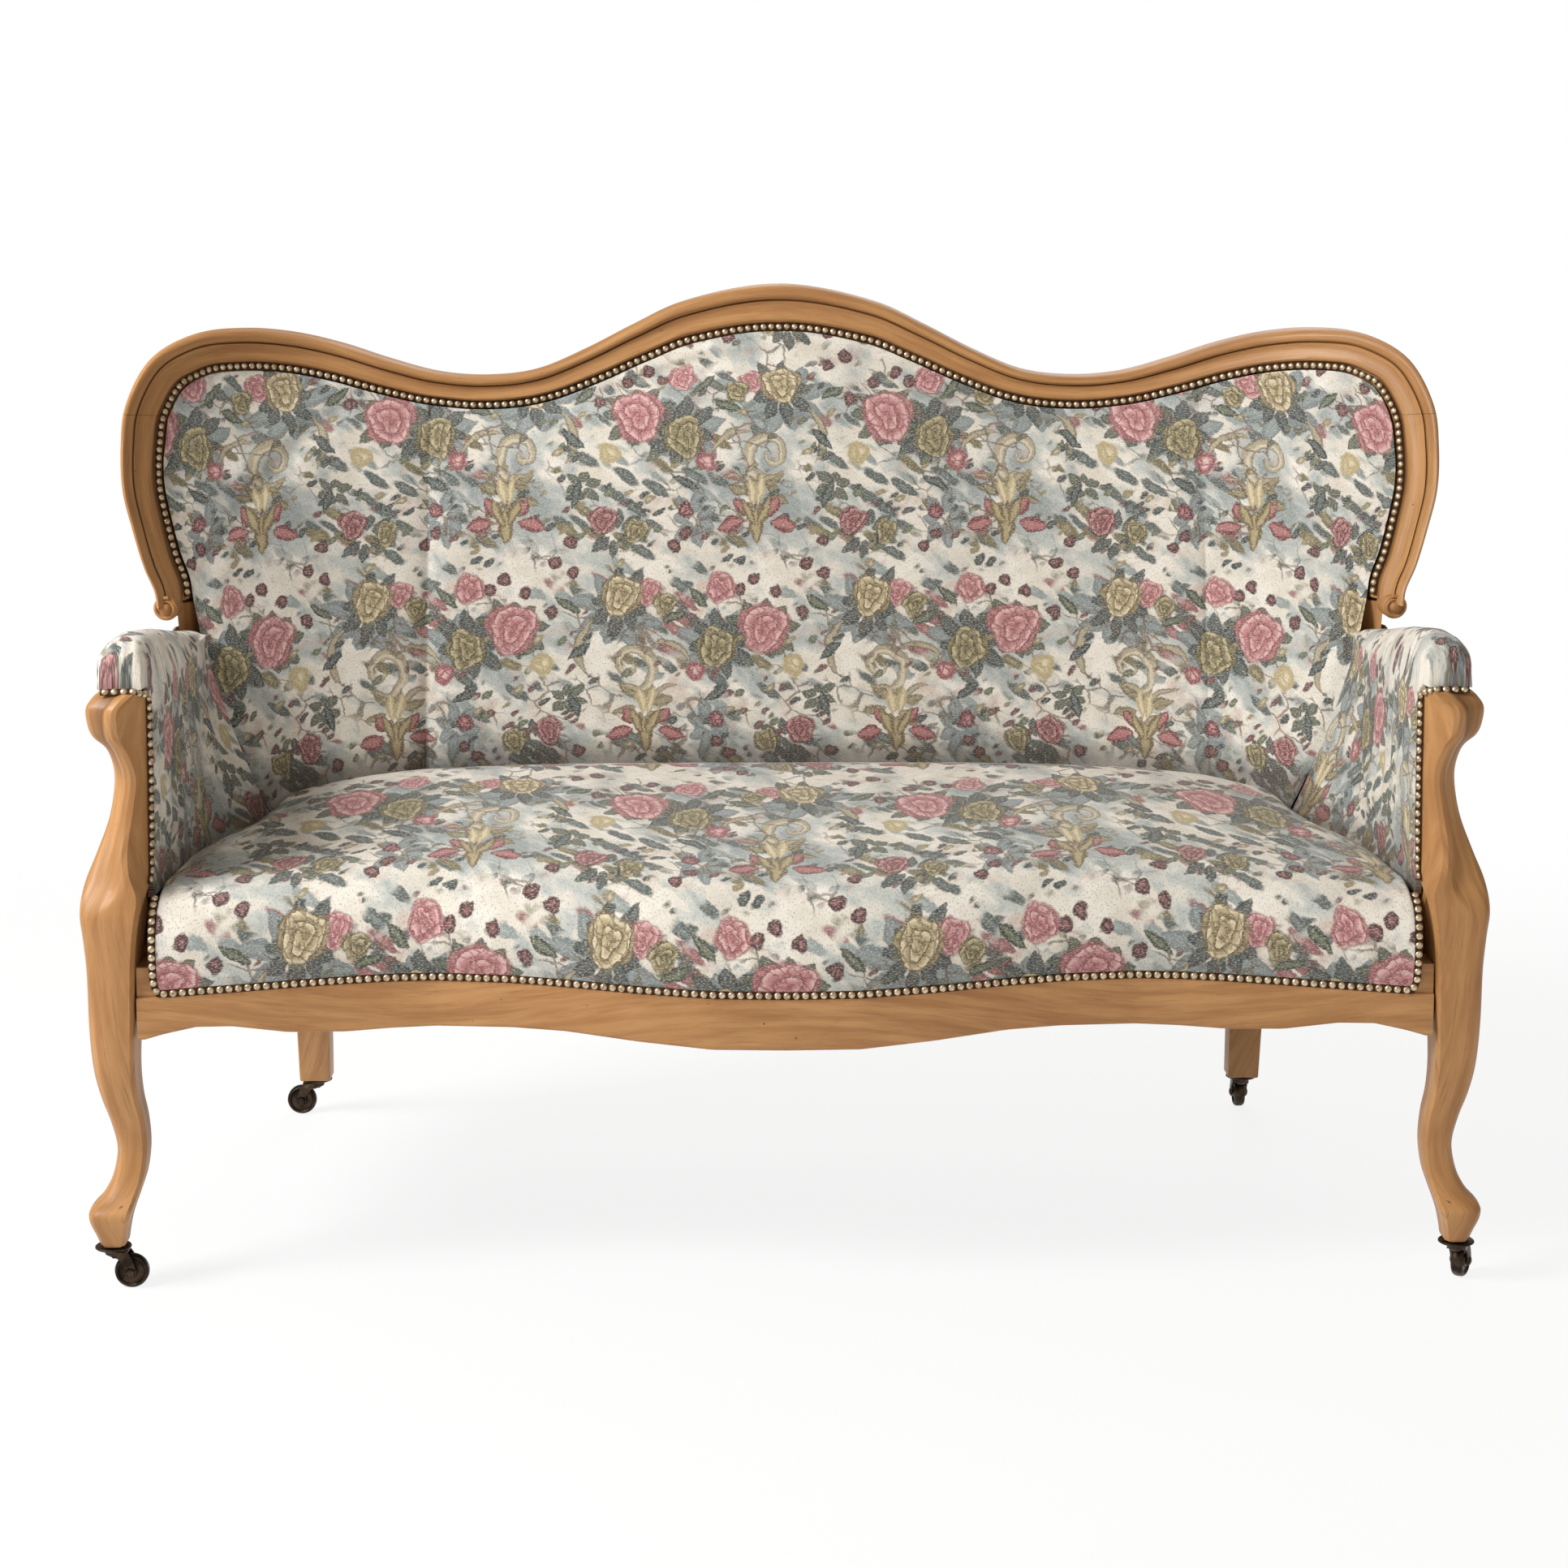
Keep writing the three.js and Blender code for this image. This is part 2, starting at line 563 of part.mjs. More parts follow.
// Front seat rail
const onRail = (shares, x) => readTable(RAIL_SHARES, shares, Math.abs(x) / FRONT_RAIL_HALF);
const RAIL_END_FACE = FRONT_RAIL_FACE - FRONT_RAIL_BOW * RAIL_BOW_SHARES.at(-1);
const railFace = (x) => -RAIL_END_FACE - FRONT_RAIL_BOW * onRail(RAIL_BOW_SHARES, x);
const railNails = (x) => NAIL_LINE + RAIL_NAIL_RISE * onRail(RAIL_NAIL_SHARES, x);
const railBottom = (x) => RAIL_UNDERSIDE - RAIL_DROP * onRail(RAIL_DROP_SHARES, x);

// Front legs with their arm posts
const legAcross = (share) => LEG_INNER + LEG_BLANK * share;
const legForward = (share) => LEG_REAR - LEG_BLANK * share;

function legRing(side, [height, outShare, inShare, frontShare, rearShare], arrisShare) {
  const z = mix(CASTOR_HEIGHT + CLEARANCE, POST_HEIGHT, height);
  const out = legAcross(outShare);
  const inner = legAcross(inShare);
  const front = legForward(frontShare);
  const rear = legForward(rearShare);
  const post = THREE.MathUtils.smoothstep(height, FLAT_FACE_FROM_SHARE, FLAT_FACE_FULL_SHARE);
  const arris = mix(inner + EDGE_ROUND / 2, legAcross(arrisShare), post);
  const [near, middle, far] = LEG_FACE_SHARES.map((share) => mix(inner, out, share));
  const legPoints = [
    [inner, rear], [inner, mix(front, rear, LEG_SIDE_SHARE)], [inner, front + EDGE_ROUND],
    [inner + EDGE_ROUND / 2, front + EDGE_ROUND / 8],
    [near, front], [middle, front], [far, front + EDGE_ROUND / 8],
    [out - EDGE_ROUND, front + EDGE_ROUND / 4], [out, front + LEG_CORNER],
    [out, rear - EDGE_ROUND], [out - EDGE_ROUND, rear],
  ];
  const postPoints = [
    [inner + POST_REBATE, rear], [inner + POST_REBATE, NAIL_EDGE + 2 * CLEARANCE], [inner, NAIL_EDGE],
    [arris, front + EDGE_ROUND / 4],
    [arris + ARRIS_WIDTH / 2, front - EDGE_ROUND / 4], [arris + ARRIS_WIDTH, front],
    [Math.min(arris + GROOVE_FROM_ARRIS, out - EDGE_ROUND), front + GROOVE_DEPTH],
    [out - EDGE_ROUND / 2, front + LEG_CORNER], [out, front + POST_CORNER],
    [out, rear - EDGE_ROUND], [out - EDGE_ROUND, rear],
  ];
  return legPoints.map(([x, y], index) =>
    onSide(side, mix(x, postPoints[index][0], post), mix(y, postPoints[index][1], post), z));
}

const legBody = (side) =>
  loft(LEG_SHARES.map((shares, index) => legRing(side, shares, POST_ARRIS_SHARES[index])));

const RAIL_MIDDLE = (RAIL_UNDERSIDE + RAIL_TOP) / 2;
const LEG_RAIL_FACE = legAcross(LEG_RAIL_SHARE);
const LEG_MIDDLE_Y = LEG_REAR - LEG_BLANK / 2;

function frontRailJoint(side) {
  const y = railFace(FRONT_RAIL_HALF) + RAIL_THICKNESS / 2;
  const shoulder = LEG_RAIL_FACE - CLEARANCE;
  return tenonAndMortise(
    onSide(side, shoulder, y, RAIL_MIDDLE), onSide(side, shoulder + TENON_LENGTH, y, RAIL_MIDDLE),
  );
}

// Outside of the seat frame in plan, and the same line higher up
const framePlan = new THREE.CatmullRomCurve3(
  FRAME_PLAN_SHARES.map(([x, y]) => at(x * SIDE_HALF, y * BACK_RAIL_DEPTH, NAIL_LINE)));
const upperPlan = new THREE.CatmullRomCurve3([
  ...ARM_PLAN_SHARES.map(([x, y]) => at(x * ARM_HALF, y * BACK_RAIL_DEPTH, VOLUTE_HEIGHT)),
  ...UPPER_PLAN_SHARES.map((share) => {
    const x = share * UPPER_PLAN_HALF;
    return at(x, planeY(x, VOLUTE_HEIGHT) + FRAME_DEPTH + SHEET_GAP + COVER_THICKNESS, VOLUTE_HEIGHT);
  }),
]);

// A point of the outside: the frame's plan below, the upper plan at the volutes, the back plane above
function outsidePoint(position, z) {
  const low = framePlan.getPoint(position);
  const high = upperPlan.getPoint(position);
  if (z <= VOLUTE_HEIGHT) {
    const rise = Math.max(0, (z - NAIL_LINE) / (VOLUTE_HEIGHT - NAIL_LINE));
    return low.clone().lerp(high, rise).setZ(z);
  }
  const x = (high.x * halfWidthAt(z)) / halfWidthAt(VOLUTE_HEIGHT);
  return at(x, planeY(x, z) + FRAME_DEPTH + SHEET_GAP + COVER_THICKNESS, z);
}

function inward(curve, position, distance) {
  const point = curve.getPoint(position);
  const tangent = curve.getTangent(position);
  return at(point.x - tangent.y * distance, point.y + tangent.x * distance, point.z);
}

// A rail that follows the frame's plan
function planRail(side, from, to, outer, inner, low, high, steps) {
  const ring = (position) => {
    const out = inward(framePlan, position, outer);
    const inn = inward(framePlan, position, inner);
    return [
      onSide(side, out.x, out.y, low), onSide(side, out.x, out.y, high),
      onSide(side, inn.x, inn.y, high), onSide(side, inn.x, inn.y, low),
    ];
  };
  return loft(Array.from({ length: steps + 1 }, (_, step) => ring(mix(from, to, step / steps))));
}

function sideRailJoint(side) {
  const rear = LEG_REAR + CLEARANCE;
  const x = SIDE_HALF - COVER_THICKNESS - RAIL_THICKNESS / 2;
  return tenonAndMortise(
    onSide(side, x, rear, RAIL_MIDDLE), onSide(side, x, rear - TENON_LENGTH, RAIL_MIDDLE),
  );
}

// Front legs, mortised for the rails
function buildFrontLegs() {
  for (const [name, side] of [['left', -1], ['right', 1]]) {
    const mortises = [frontRailJoint, sideRailJoint, armRailJoint].map((joint) => joint(side).mortise);
    addPiece(`front_leg_${name}`, cut(legBody(side), ...mortises), oak);
  }
}

function armRailJoint(side) {
  const z = (ARM_RAIL_LOW + ARM_RAIL_HIGH) / 2;
  const rear = LEG_REAR + CLEARANCE;
  return tenonAndMortise(
    onSide(side, ARM_RAIL_CENTRE, rear, z), onSide(side, ARM_RAIL_CENTRE, rear - TENON_LENGTH, z),
    TENON_THICKNESS, TENON_HEIGHT / 2,
  );
}

// Back legs, which run on upwards as the stiles of the back
function backLegRing(side, x, y, size, z) {
  const half = size / 2;
  return [
    onSide(side, x - half, y - half, z), onSide(side, x + half, y - half, z),
    onSide(side, x + half, y + half, z), onSide(side, x - half, y + half, z),
  ];
}

function stileRing(side, z) {
  const x = (BACK_LEG_X * halfWidthAt(z)) / halfWidthAt(VOLUTE_HEIGHT) + STILE_WIDTH / 4;
  const half = STILE_WIDTH / 2;
  const corner = (place, depth) => onSide(side, place, planeY(place, z) + depth, z);
  return [
    corner(x - half, STILE_FRONT), corner(x + half, STILE_FRONT),
    corner(x + half, FRAME_DEPTH - STILE_SETBACK), corner(x - half, FRAME_DEPTH - STILE_SETBACK),
  ];
}

function backLegBody(side) {
  const [kneeX, kneeY] = BACK_KNEE_SHARES;
  const rings = [
    backLegRing(side, BACK_LEG_FOOT_X, BACK_LEG_FOOT_Y, BACK_LEG_FOOT_SIZE, CASTOR_HEIGHT + CLEARANCE),
    backLegRing(side, mix(BACK_LEG_FOOT_X, BACK_LEG_X, kneeX), mix(BACK_LEG_FOOT_Y, BACK_LEG_Y, kneeY),
      (BACK_LEG_FOOT_SIZE + BACK_LEG_SIZE) / 2, (CASTOR_HEIGHT + RAIL_UNDERSIDE) / 2),
    backLegRing(side, BACK_LEG_X, BACK_LEG_Y, BACK_LEG_SIZE, RAIL_UNDERSIDE),
    backLegRing(side, BACK_LEG_X, BACK_LEG_Y, BACK_LEG_SIZE, RAIL_TOP),
  ];
  for (let step = 0; step <= STILE_STEPS; step += 1) {
    rings.push(stileRing(side, mix(VOLUTE_HEIGHT, STILE_TOP, step / STILE_STEPS)));
  }
  return loft(rings);
}

const BACK_RAIL_Y = BACK_LEG_Y;
const BACK_RAIL_FRONT = BACK_RAIL_Y - RAIL_THICKNESS / 2;

function backRailJoint(side) {
  const shoulder = BACK_LEG_X - BACK_LEG_SIZE / 2 - CLEARANCE;
  return tenonAndMortise(
    onSide(side, shoulder, BACK_RAIL_Y, RAIL_MIDDLE),
    onSide(side, shoulder + TENON_LENGTH, BACK_RAIL_Y, RAIL_MIDDLE),
  );
}

function buildBackLegs() {
  for (const [name, side] of [['left', -1], ['right', 1]]) {
    addPiece(`back_leg_${name}`, cut(backLegBody(side), backRailJoint(side).mortise), oak);
  }
}

// Seat rails
const FRONT_RAIL_REAR = -FRONT_RAIL_FACE + FRONT_RAIL_BOW + RAIL_THICKNESS / 2;

function frontRailBody() {
  const half = LEG_RAIL_FACE - CLEARANCE;
  const rings = Array.from({ length: FRONT_RAIL_STEPS + 1 }, (_, step) => {
    const x = mix(-half, half, step / FRONT_RAIL_STEPS);
    const face = railFace(x);
    const rear = FRONT_RAIL_REAR;
    return [
      at(x, face + EDGE_ROUND / 4, railBottom(x)), at(x, face, railBottom(x) + EDGE_ROUND / 2),
      at(x, face, railNails(x) - GIMP_WIDTH), at(x, face + COVER_REBATE, railNails(x) - GIMP_WIDTH),
      at(x, face + COVER_REBATE, RAIL_TOP), at(x, rear, RAIL_TOP),
      at(x, rear, RAIL_UNDERSIDE), at(x, face + RAIL_THICKNESS / 2, RAIL_UNDERSIDE),
      at(x, face + RAIL_THICKNESS / 2, railBottom(x)),
    ];
  });
  return loft(rings);
}

function buildSeatRails() {
  addPiece('front_seat_rail', join(frontRailBody(), frontRailJoint(-1).tenon, frontRailJoint(1).tenon), oak);
  addPiece('back_seat_rail', join(backRailBody(), backRailJoint(-1).tenon, backRailJoint(1).tenon), beech);
  for (const [name, side] of [['left', -1], ['right', 1]]) {
    const body = planRail(
      side, SIDE_RAIL_FROM_SHARE, SIDE_RAIL_TO_SHARE,
      COVER_THICKNESS + PLAN_GAP, COVER_THICKNESS + RAIL_THICKNESS,
      RAIL_UNDERSIDE, RAIL_TOP, SIDE_RAIL_STEPS,
    );
    const legSize = BACK_LEG_SIZE + 2 * CLEARANCE;
    const corner = loft([RAIL_UNDERSIDE - EDGE_ROUND, RAIL_TOP + EDGE_ROUND].map((z) =>
      backLegRing(side, BACK_LEG_X, BACK_LEG_Y, legSize, z)));
    addPiece(`side_seat_rail_${name}`, join(cut(body, corner), sideRailJoint(side).tenon), oak);
  }
}

// The back rail is straight inside and follows the frame's plan outside, with a rebate for webbing and cloth
const BACK_RAIL_LOW = RAIL_UNDERSIDE - STRAP_THICKNESS - CLOTH_THICKNESS - 4 * CLEARANCE;

function backRailBody() {
  const half = BACK_LEG_X - BACK_LEG_SIZE / 2 - CLEARANCE;
  const rebate = BACK_RAIL_FRONT + TACK_OVERLAP + CLEARANCE;
  const rings = Array.from({ length: BACK_RAIL_STEPS + 1 }, (_, step) => {
    const x = mix(-half, half, step / BACK_RAIL_STEPS);
    const rear = planDepth(Math.abs(x)) - COVER_THICKNESS - 2 * CLEARANCE;
    return [
      at(x, BACK_RAIL_FRONT, RAIL_UNDERSIDE), at(x, rebate, RAIL_UNDERSIDE),
      at(x, rebate, BACK_RAIL_LOW), at(x, rear, BACK_RAIL_LOW),
      at(x, rear, RAIL_TOP), at(x, BACK_RAIL_FRONT, RAIL_TOP),
    ];
  });
  return loft(rings);
}

// Side pieces of the back: moulding, volute and the upright that stands on the side rail
const UPRIGHT_INSET = COVER_THICKNESS + PLAN_GAP;

function voluteBody(side) {
  const end = railPoint(1, VOLUTE_ACROSS_SHARE, 0);
  const drum = (radius, front) => {
    const geometry = new THREE.CylinderGeometry(radius, radius, VOLUTE_DEPTH - front, ROUND_SIDES);
    geometry.rotateX(Math.PI / 2);
    geometry.translate(side * end.x, end.y + (VOLUTE_DEPTH + front) / 2, end.z - VOLUTE_RADIUS / 4);
    return geometry;
  };
  const front = -MOULDING_RISE / 2;
  return [drum(VOLUTE_RADIUS, front), drum(VOLUTE_BOSS_RADIUS, front - VOLUTE_BOSS_RISE)];
}

function uprightBody(side) {
  const rings = Array.from({ length: UPRIGHT_STEPS + 1 }, (_, step) => {
    const z = mix(RAIL_TOP + CLEARANCE, VOLUTE_HEIGHT, step / UPRIGHT_STEPS);
    const near = outsidePoint(UPRIGHT_SHARE, z);
    const far = outsidePoint(UPRIGHT_SHARE + UPRIGHT_SPAN_SHARE, z);
    return [
      onSide(side, near.x - UPRIGHT_INSET, near.y - UPRIGHT_INSET - UPRIGHT_DEPTH, z),
      onSide(side, near.x - UPRIGHT_INSET, near.y - UPRIGHT_INSET, z),
      onSide(side, far.x - UPRIGHT_INSET, far.y - UPRIGHT_INSET, z),
      onSide(side, far.x - UPRIGHT_INSET, far.y - UPRIGHT_INSET - UPRIGHT_DEPTH, z),
    ];
  });
  return loft(rings);
}

const uprightFront = (z) => outsidePoint(UPRIGHT_SHARE, z).y - UPRIGHT_INSET - UPRIGHT_DEPTH;

function armRailRearJoint(side) {
  const z = (ARM_RAIL_LOW + ARM_RAIL_HIGH) / 2;
  const y = uprightFront(ARM_RAIL_HIGH) - CLEARANCE;
  const x = ARM_RAIL_CENTRE;
  return tenonAndMortise(
    onSide(side, x, y, z), onSide(side, x, y + TENON_LENGTH / 2, z), TENON_THICKNESS, TENON_HEIGHT / 2,
  );
}

function buildBackFrame() {
  const joint = CREST_JOINT_FROM_VOLUTE / CREST_LENGTH;
  const gap = CLEARANCE / CREST_LENGTH;
  addPiece('crest_rail', railSweep(joint, 1 - joint), oak);
  for (const [name, side] of [['left', -1], ['right', 1]]) {
    const sweep = side < 0 ? railSweep(0, joint - gap) : railSweep(1 - joint + gap, 1);
    const body = join(sweep, ...voluteBody(side), uprightBody(side));
    addPiece(`back_side_${name}`, cut(body, armRailRearJoint(side).mortise), oak);
  }
  buildLowerRail();
}

// Rail across the stiles behind the foot of the back, where its cloth is tacked

function stileAt(z) {
  const share = THREE.MathUtils.clamp((z - RAIL_TOP) / (VOLUTE_HEIGHT - RAIL_TOP), 0, 1);
  const top = stileRing(1, VOLUTE_HEIGHT);
  const low = backLegRing(1, BACK_LEG_X, BACK_LEG_Y, BACK_LEG_SIZE, RAIL_TOP);
  return low.map((point, index) => point.clone().lerp(top[index], share));
}

function buildLowerRail() {
  const heights = [LOWER_RAIL_BASE, LOWER_RAIL_BASE + LOWER_RAIL_HEIGHT];
  const section = (share) => {
    const [low, high] = heights.map((z) => {
      const stile = stileAt(z);
      const reach = stile[0].x - 2 * CLEARANCE;
      const x = mix(-reach, reach, share);
      const shoulder = stile[0].y + CLEARANCE;
      const front = Math.max(planeY(x, z) + STILE_FRONT + LOWER_RAIL_SETBACK, shoulder);
      return [at(x, front, z), at(x, front + LOWER_RAIL_DEPTH, z)];
    });
    return [low[0], low[1], high[1], high[0]];
  };
  addPiece('back_lower_rail', loft(Array.from({ length: LOWER_RAIL_STEPS + 1 }, (_, step) =>
    section(step / LOWER_RAIL_STEPS))), beech);
}

function buildArmRails() {
  for (const [name, side] of [['left', -1], ['right', 1]]) {
    const rail = box(
      at(side * ARM_RAIL_CENTRE - ARM_RAIL_WIDTH / 2, LEG_REAR + CLEARANCE, ARM_RAIL_LOW),
      at(side * ARM_RAIL_CENTRE + ARM_RAIL_WIDTH / 2, uprightFront(ARM_RAIL_LOW) - CLEARANCE, ARM_RAIL_HIGH),
    );
    addPiece(`arm_rail_${name}`, join(rail, armRailJoint(side).tenon, armRailRearJoint(side).tenon), beech);
  }
}

// Blocks glued and screwed into the corners of the seat frame

function buildCornerBlocks() {
  const low = RAIL_UNDERSIDE + EDGE_ROUND;
  const prism = (corners) => loft([low, low + BLOCK_HEIGHT].map((z) => corners.map(([x, y]) => at(x, y, z))));
  const frontX = LEG_INNER;
  const frontY = Math.max(FRONT_RAIL_REAR, LEG_REAR) + CLEARANCE;
  const backX = BACK_LEG_X - BACK_LEG_SIZE / 2 - CLEARANCE;
  const backY = BACK_RAIL_FRONT - CLEARANCE;
  for (const [name, side] of [['left', -1], ['right', 1]]) {
    addPiece(`corner_block_front_${name}`, prism([
      [side * frontX, frontY], [side * (frontX - BLOCK_LEG), frontY], [side * frontX, frontY + BLOCK_LEG],
    ]), beech);
    addPiece(`corner_block_back_${name}`, prism([
      [side * backX, backY], [side * (backX - BLOCK_LEG), backY], [side * backX, backY - BLOCK_LEG],
    ]), beech);
  }
}

// A lattice of straps: a thin sheet between two grids of points, solid where a row or a column is a strap
function lattice(near, far, isStrap) {
  const rows = near.length;
  const columns = near[0].length;
  const solid = (row, column) =>
    row >= 0 && column >= 0 && row < rows - 1 && column < columns - 1 && isStrap(row, column);
  const index = (row, column, face) => (face * rows + row) * columns + column;
  const faces = [];
  const quad = (a, b, c, d) => faces.push([a, b, c], [a, c, d]);
  for (let row = 0; row < rows - 1; row += 1) {
    for (let column = 0; column < columns - 1; column += 1) {
      if (!solid(row, column)) continue;
      const corners = [[row, column], [row, column + 1], [row + 1, column + 1], [row + 1, column]];
      const front = corners.map(([r, c]) => index(r, c, 0));
      const back = corners.map(([r, c]) => index(r, c, 1));
      quad(...front);
      quad(...back.slice().reverse());
      const beside = [[row - 1, column], [row, column + 1], [row + 1, column], [row, column - 1]];
      beside.forEach(([r, c], edge) => {
        const next = (edge + 1) % 4;
        if (!solid(r, c)) quad(front[next], front[edge], back[edge], back[next]);
      });
    }
  }
  return closedMesh([...near.flat(), ...far.flat()], faces);
}

// Places of the edges of a row of straps, with the ends of the crossing straps outside the first and last
const strapEdges = (centres, from, to) =>
  [from, ...centres.flatMap((centre) => [centre - STRAP_WIDTH / 2, centre + STRAP_WIDTH / 2]), to];

const UNDER_TOP = RAIL_UNDERSIDE - CLEARANCE;

function buildSeatWebbing() {
  const front = FRONT_RAIL_REAR - TACK_OVERLAP / 2;
  const back = BACK_RAIL_FRONT + TACK_OVERLAP;
  const ys = strapEdges(SEAT_STRAP_Y_SHARES.map((share) => mix(front, back, share)), front, back);
  const xs = strapEdges(SEAT_STRAP_X_SHARES.map((share) => share * BACK_LEG_X), -SIDE_HALF, SIDE_HALF);
  const reach = (y) => planHalf(y) - RAIL_THICKNESS + TACK_OVERLAP;
  const net = (z) => ys.map((y) => xs.map((x) => at(THREE.MathUtils.clamp(x, -reach(y), reach(y)), y, z)));
  addPiece('seat_webbing', lattice(net(UNDER_TOP), net(UNDER_TOP - STRAP_THICKNESS),
    (row, column) => row % 2 === 1 || column % 2 === 1), jute);
}

// Half width and depth of the frame's plan
function planHalf(y) {
  let low = 0;
  let high = 1;
  for (let step = 0; step < SEARCH_STEPS; step += 1) {
    const middle = (low + high) / 2;
    if (framePlan.getPoint(middle).y < y) low = middle;
    else high = middle;
  }
  return framePlan.getPoint(low).x;
}

function planDepth(x) {
  let low = 0;
  let high = 1;
  for (let step = 0; step < SEARCH_STEPS; step += 1) {
    const middle = (low + high) / 2;
    if (framePlan.getPoint(middle).x > x) low = middle;
    else high = middle;
  }
  return framePlan.getPoint(low).y;
}

// Black cloth that closes the underside
function buildBottomCloth() {
  const top = UNDER_TOP - STRAP_THICKNESS - CLEARANCE;
  const front = Math.max(LEG_REAR, FRONT_RAIL_REAR - TACK_OVERLAP / 2) + 2 * CLEARANCE;
  const legFront = BACK_LEG_Y - BACK_LEG_SIZE / 2 - 2 * CLEARANCE;
  const sideRun = Array.from({ length: BOTTOM_CLOTH_STEPS + 1 }, (_, step) => {
    const y = mix(front, legFront, step / BOTTOM_CLOTH_STEPS);
    return [planHalf(y) - RAIL_THICKNESS + TACK_OVERLAP, y];
  });
  const legSide = BACK_LEG_X - BACK_LEG_SIZE / 2 - 2 * CLEARANCE;
  const half = [...sideRun, [legSide, legFront], [legSide, BACK_RAIL_FRONT + TACK_OVERLAP]];
  const whole = [...half, ...half.map(([x, y]) => [-x, y]).reverse()];
  addPiece('bottom_cloth', loft([top - CLOTH_THICKNESS, top].map((z) => whole.map(([x, y]) => at(x, y, z)))),
    bottomCloth);
}

// Waisted coil springs between the webbing and the stuffing

function springBody(x, y) {
  const steps = SPRING_TURNS * SPRING_STEPS_PER_TURN;
  const radius = SPRING_WIRE / 2;
  const low = UNDER_TOP + CLEARANCE + radius;
  const high = SPRING_CAVITY_TOP - CLEARANCE - radius;
  const rings = Array.from({ length: steps + 1 }, (_, step) => {
    const share = step / steps;
    const angle = share * SPRING_TURNS * 2 * Math.PI;
    const coil = SPRING_RADIUS * mix(SPRING_WAIST_SHARE, 1, Math.abs(2 * share - 1));
    const out = at(Math.cos(angle), Math.sin(angle), 0);
    const centre = out.clone().multiplyScalar(coil).add(at(x, y, mix(low, high, share)));
    return Array.from({ length: SPRING_SIDES }, (__, side) => {
      const turn = (side / SPRING_SIDES) * 2 * Math.PI;
      const lift = at(0, 0, radius * Math.sin(turn));
      return centre.clone().addScaledVector(out, radius * Math.cos(turn)).add(lift);
    });
  });
  return loft(rings);
}

function buildSprings() {
  let number = 0;
  for (const y of [SPRING_FRONT_Y, SPRING_BACK_Y]) {
    for (const column of [-1, 0, 1]) {
      number += 1;
      addPiece(`seat_spring_${number}`, springBody(column * SPRING_X, y), steel);
    }
  }
}

// Inside of an arm: its rear edge meets the wing, its front edge the post
const wingEdge = (z) => at(nailHalfWidth(z), padFront(nailHalfWidth(z), z), z);

function armX(y, z) {
  const rear = wingEdge(z);
  const rise = THREE.MathUtils.clamp((z - SEAT_HEIGHT) / (ARM_TOP - SEAT_HEIGHT), 0, 1);
  const front = mix(ARM_SEAT_HALF, ARM_FRONT_HALF, rise);
  const turn = THREE.MathUtils.clamp((ROLL_LOW - z) / (ROLL_LOW - PAD_BOTTOM), 0, 1);
  const t = THREE.MathUtils.clamp((rear.y - y) / (rear.y - NAIL_EDGE), 0, 1);
  const pull = WING_SWEEP_SHARE * (rear.y - NAIL_EDGE) * turn;
  const forward = 3 * t ** 2 - 2 * t ** 3;
  return mix(rear.x, front, forward) + (t ** 3 - 2 * t ** 2 + t) * pull;
}

// An arm's cover in sections from the seat up over the roll
const POST_COVER_LOW = POST_HEIGHT + COVER_THICKNESS + 3 * CLEARANCE;
const ARM_COVER_FRONT = -NAIL_EDGE;

function armTop(y) {
  return ARM_TOP * readTable(ARM_TOP_DEPTH_SHARES.map((share) => share * BACK_DEPTH), ARM_TOP_SHARES, y);
}

function armSection(station) {
  const wallTop = POST_HEIGHT + 2 * CLEARANCE;
  const heights = [...ARM_WALL_SHARES.map((share) => mix(ARM_PAD_BOTTOM, ROLL_LOW, share)), wallTop];
  const wall = heights.map((z) => {
    const y = station.depth(wingEdge(Math.min(z, ROLL_LOW)).y);
    return at(armX(y, Math.min(z, ROLL_LOW)), station.wall ?? y, z);
  });
  const y = station.depth(wingEdge(ROLL_LOW).y);
  const inner = armX(y, ROLL_LOW);
  const roll = ROLL_SHARES.map(([across, rise], index) => {
    const place = station.roll ? station.roll(index) : y;
    const z = mix(station.low, armTop(y), rise);
    const floor = index < 2 ? wallTop + COVER_THICKNESS : z;
    return at(mix(inner, station.outer, across), place, Math.max(z, floor));
  });
  return [...wall, ...roll];
}

function armStations() {
  const rear = LEG_REAR + 2 * CLEARANCE;
  const rollFront = (index) => (index === 0 ? NAIL_EDGE + 2 * CLEARANCE : ARM_COVER_FRONT);
  const stations = [
    { wall: NAIL_EDGE + 4 * CLEARANCE, depth: () => ARM_COVER_FRONT, roll: rollFront, low: POST_COVER_LOW,
      outer: legAcross(LEG_SHARES.at(-1)[1]) },
    { depth: () => rear, low: POST_COVER_LOW, outer: ARM_HALF },
  ];
  for (let step = 0; step <= ARM_STEPS; step += 1) {
    const share = step / ARM_STEPS;
    stations.push({
      depth: (edge) => mix(rear + LIP_RUN, edge - 3 * CLEARANCE, share), low: ROLL_LOW, outer: ARM_HALF,
    });
  }
  return stations;
}

// Move each point of an open section inwards, square to it
function insetSection(points, distance) {
  return points.map((point, index) => {
    const before = points[Math.max(0, index - 1)];
    const after = points[Math.min(points.length - 1, index + 1)];
    const along = after.clone().sub(before).setY(0).normalize();
    return at(point.x + along.z * distance, point.y, point.z - along.x * distance);
  });
}

const mirrored = (side, sections) =>
  sections.map((section) => section.map((point) => at(side * point.x, point.y, point.z)));

function armStuffingSection(section) {
  const skin = insetSection(section, COVER_THICKNESS + CLEARANCE);
  const rollFrom = ARM_WALL_SHARES.length;
  const wall = skin.slice(0, rollFrom);
  const back = wall.map((point) => at(point.x + WALL_STUFFING, point.y, point.z)).reverse();
  return [...skin, ...back];
}

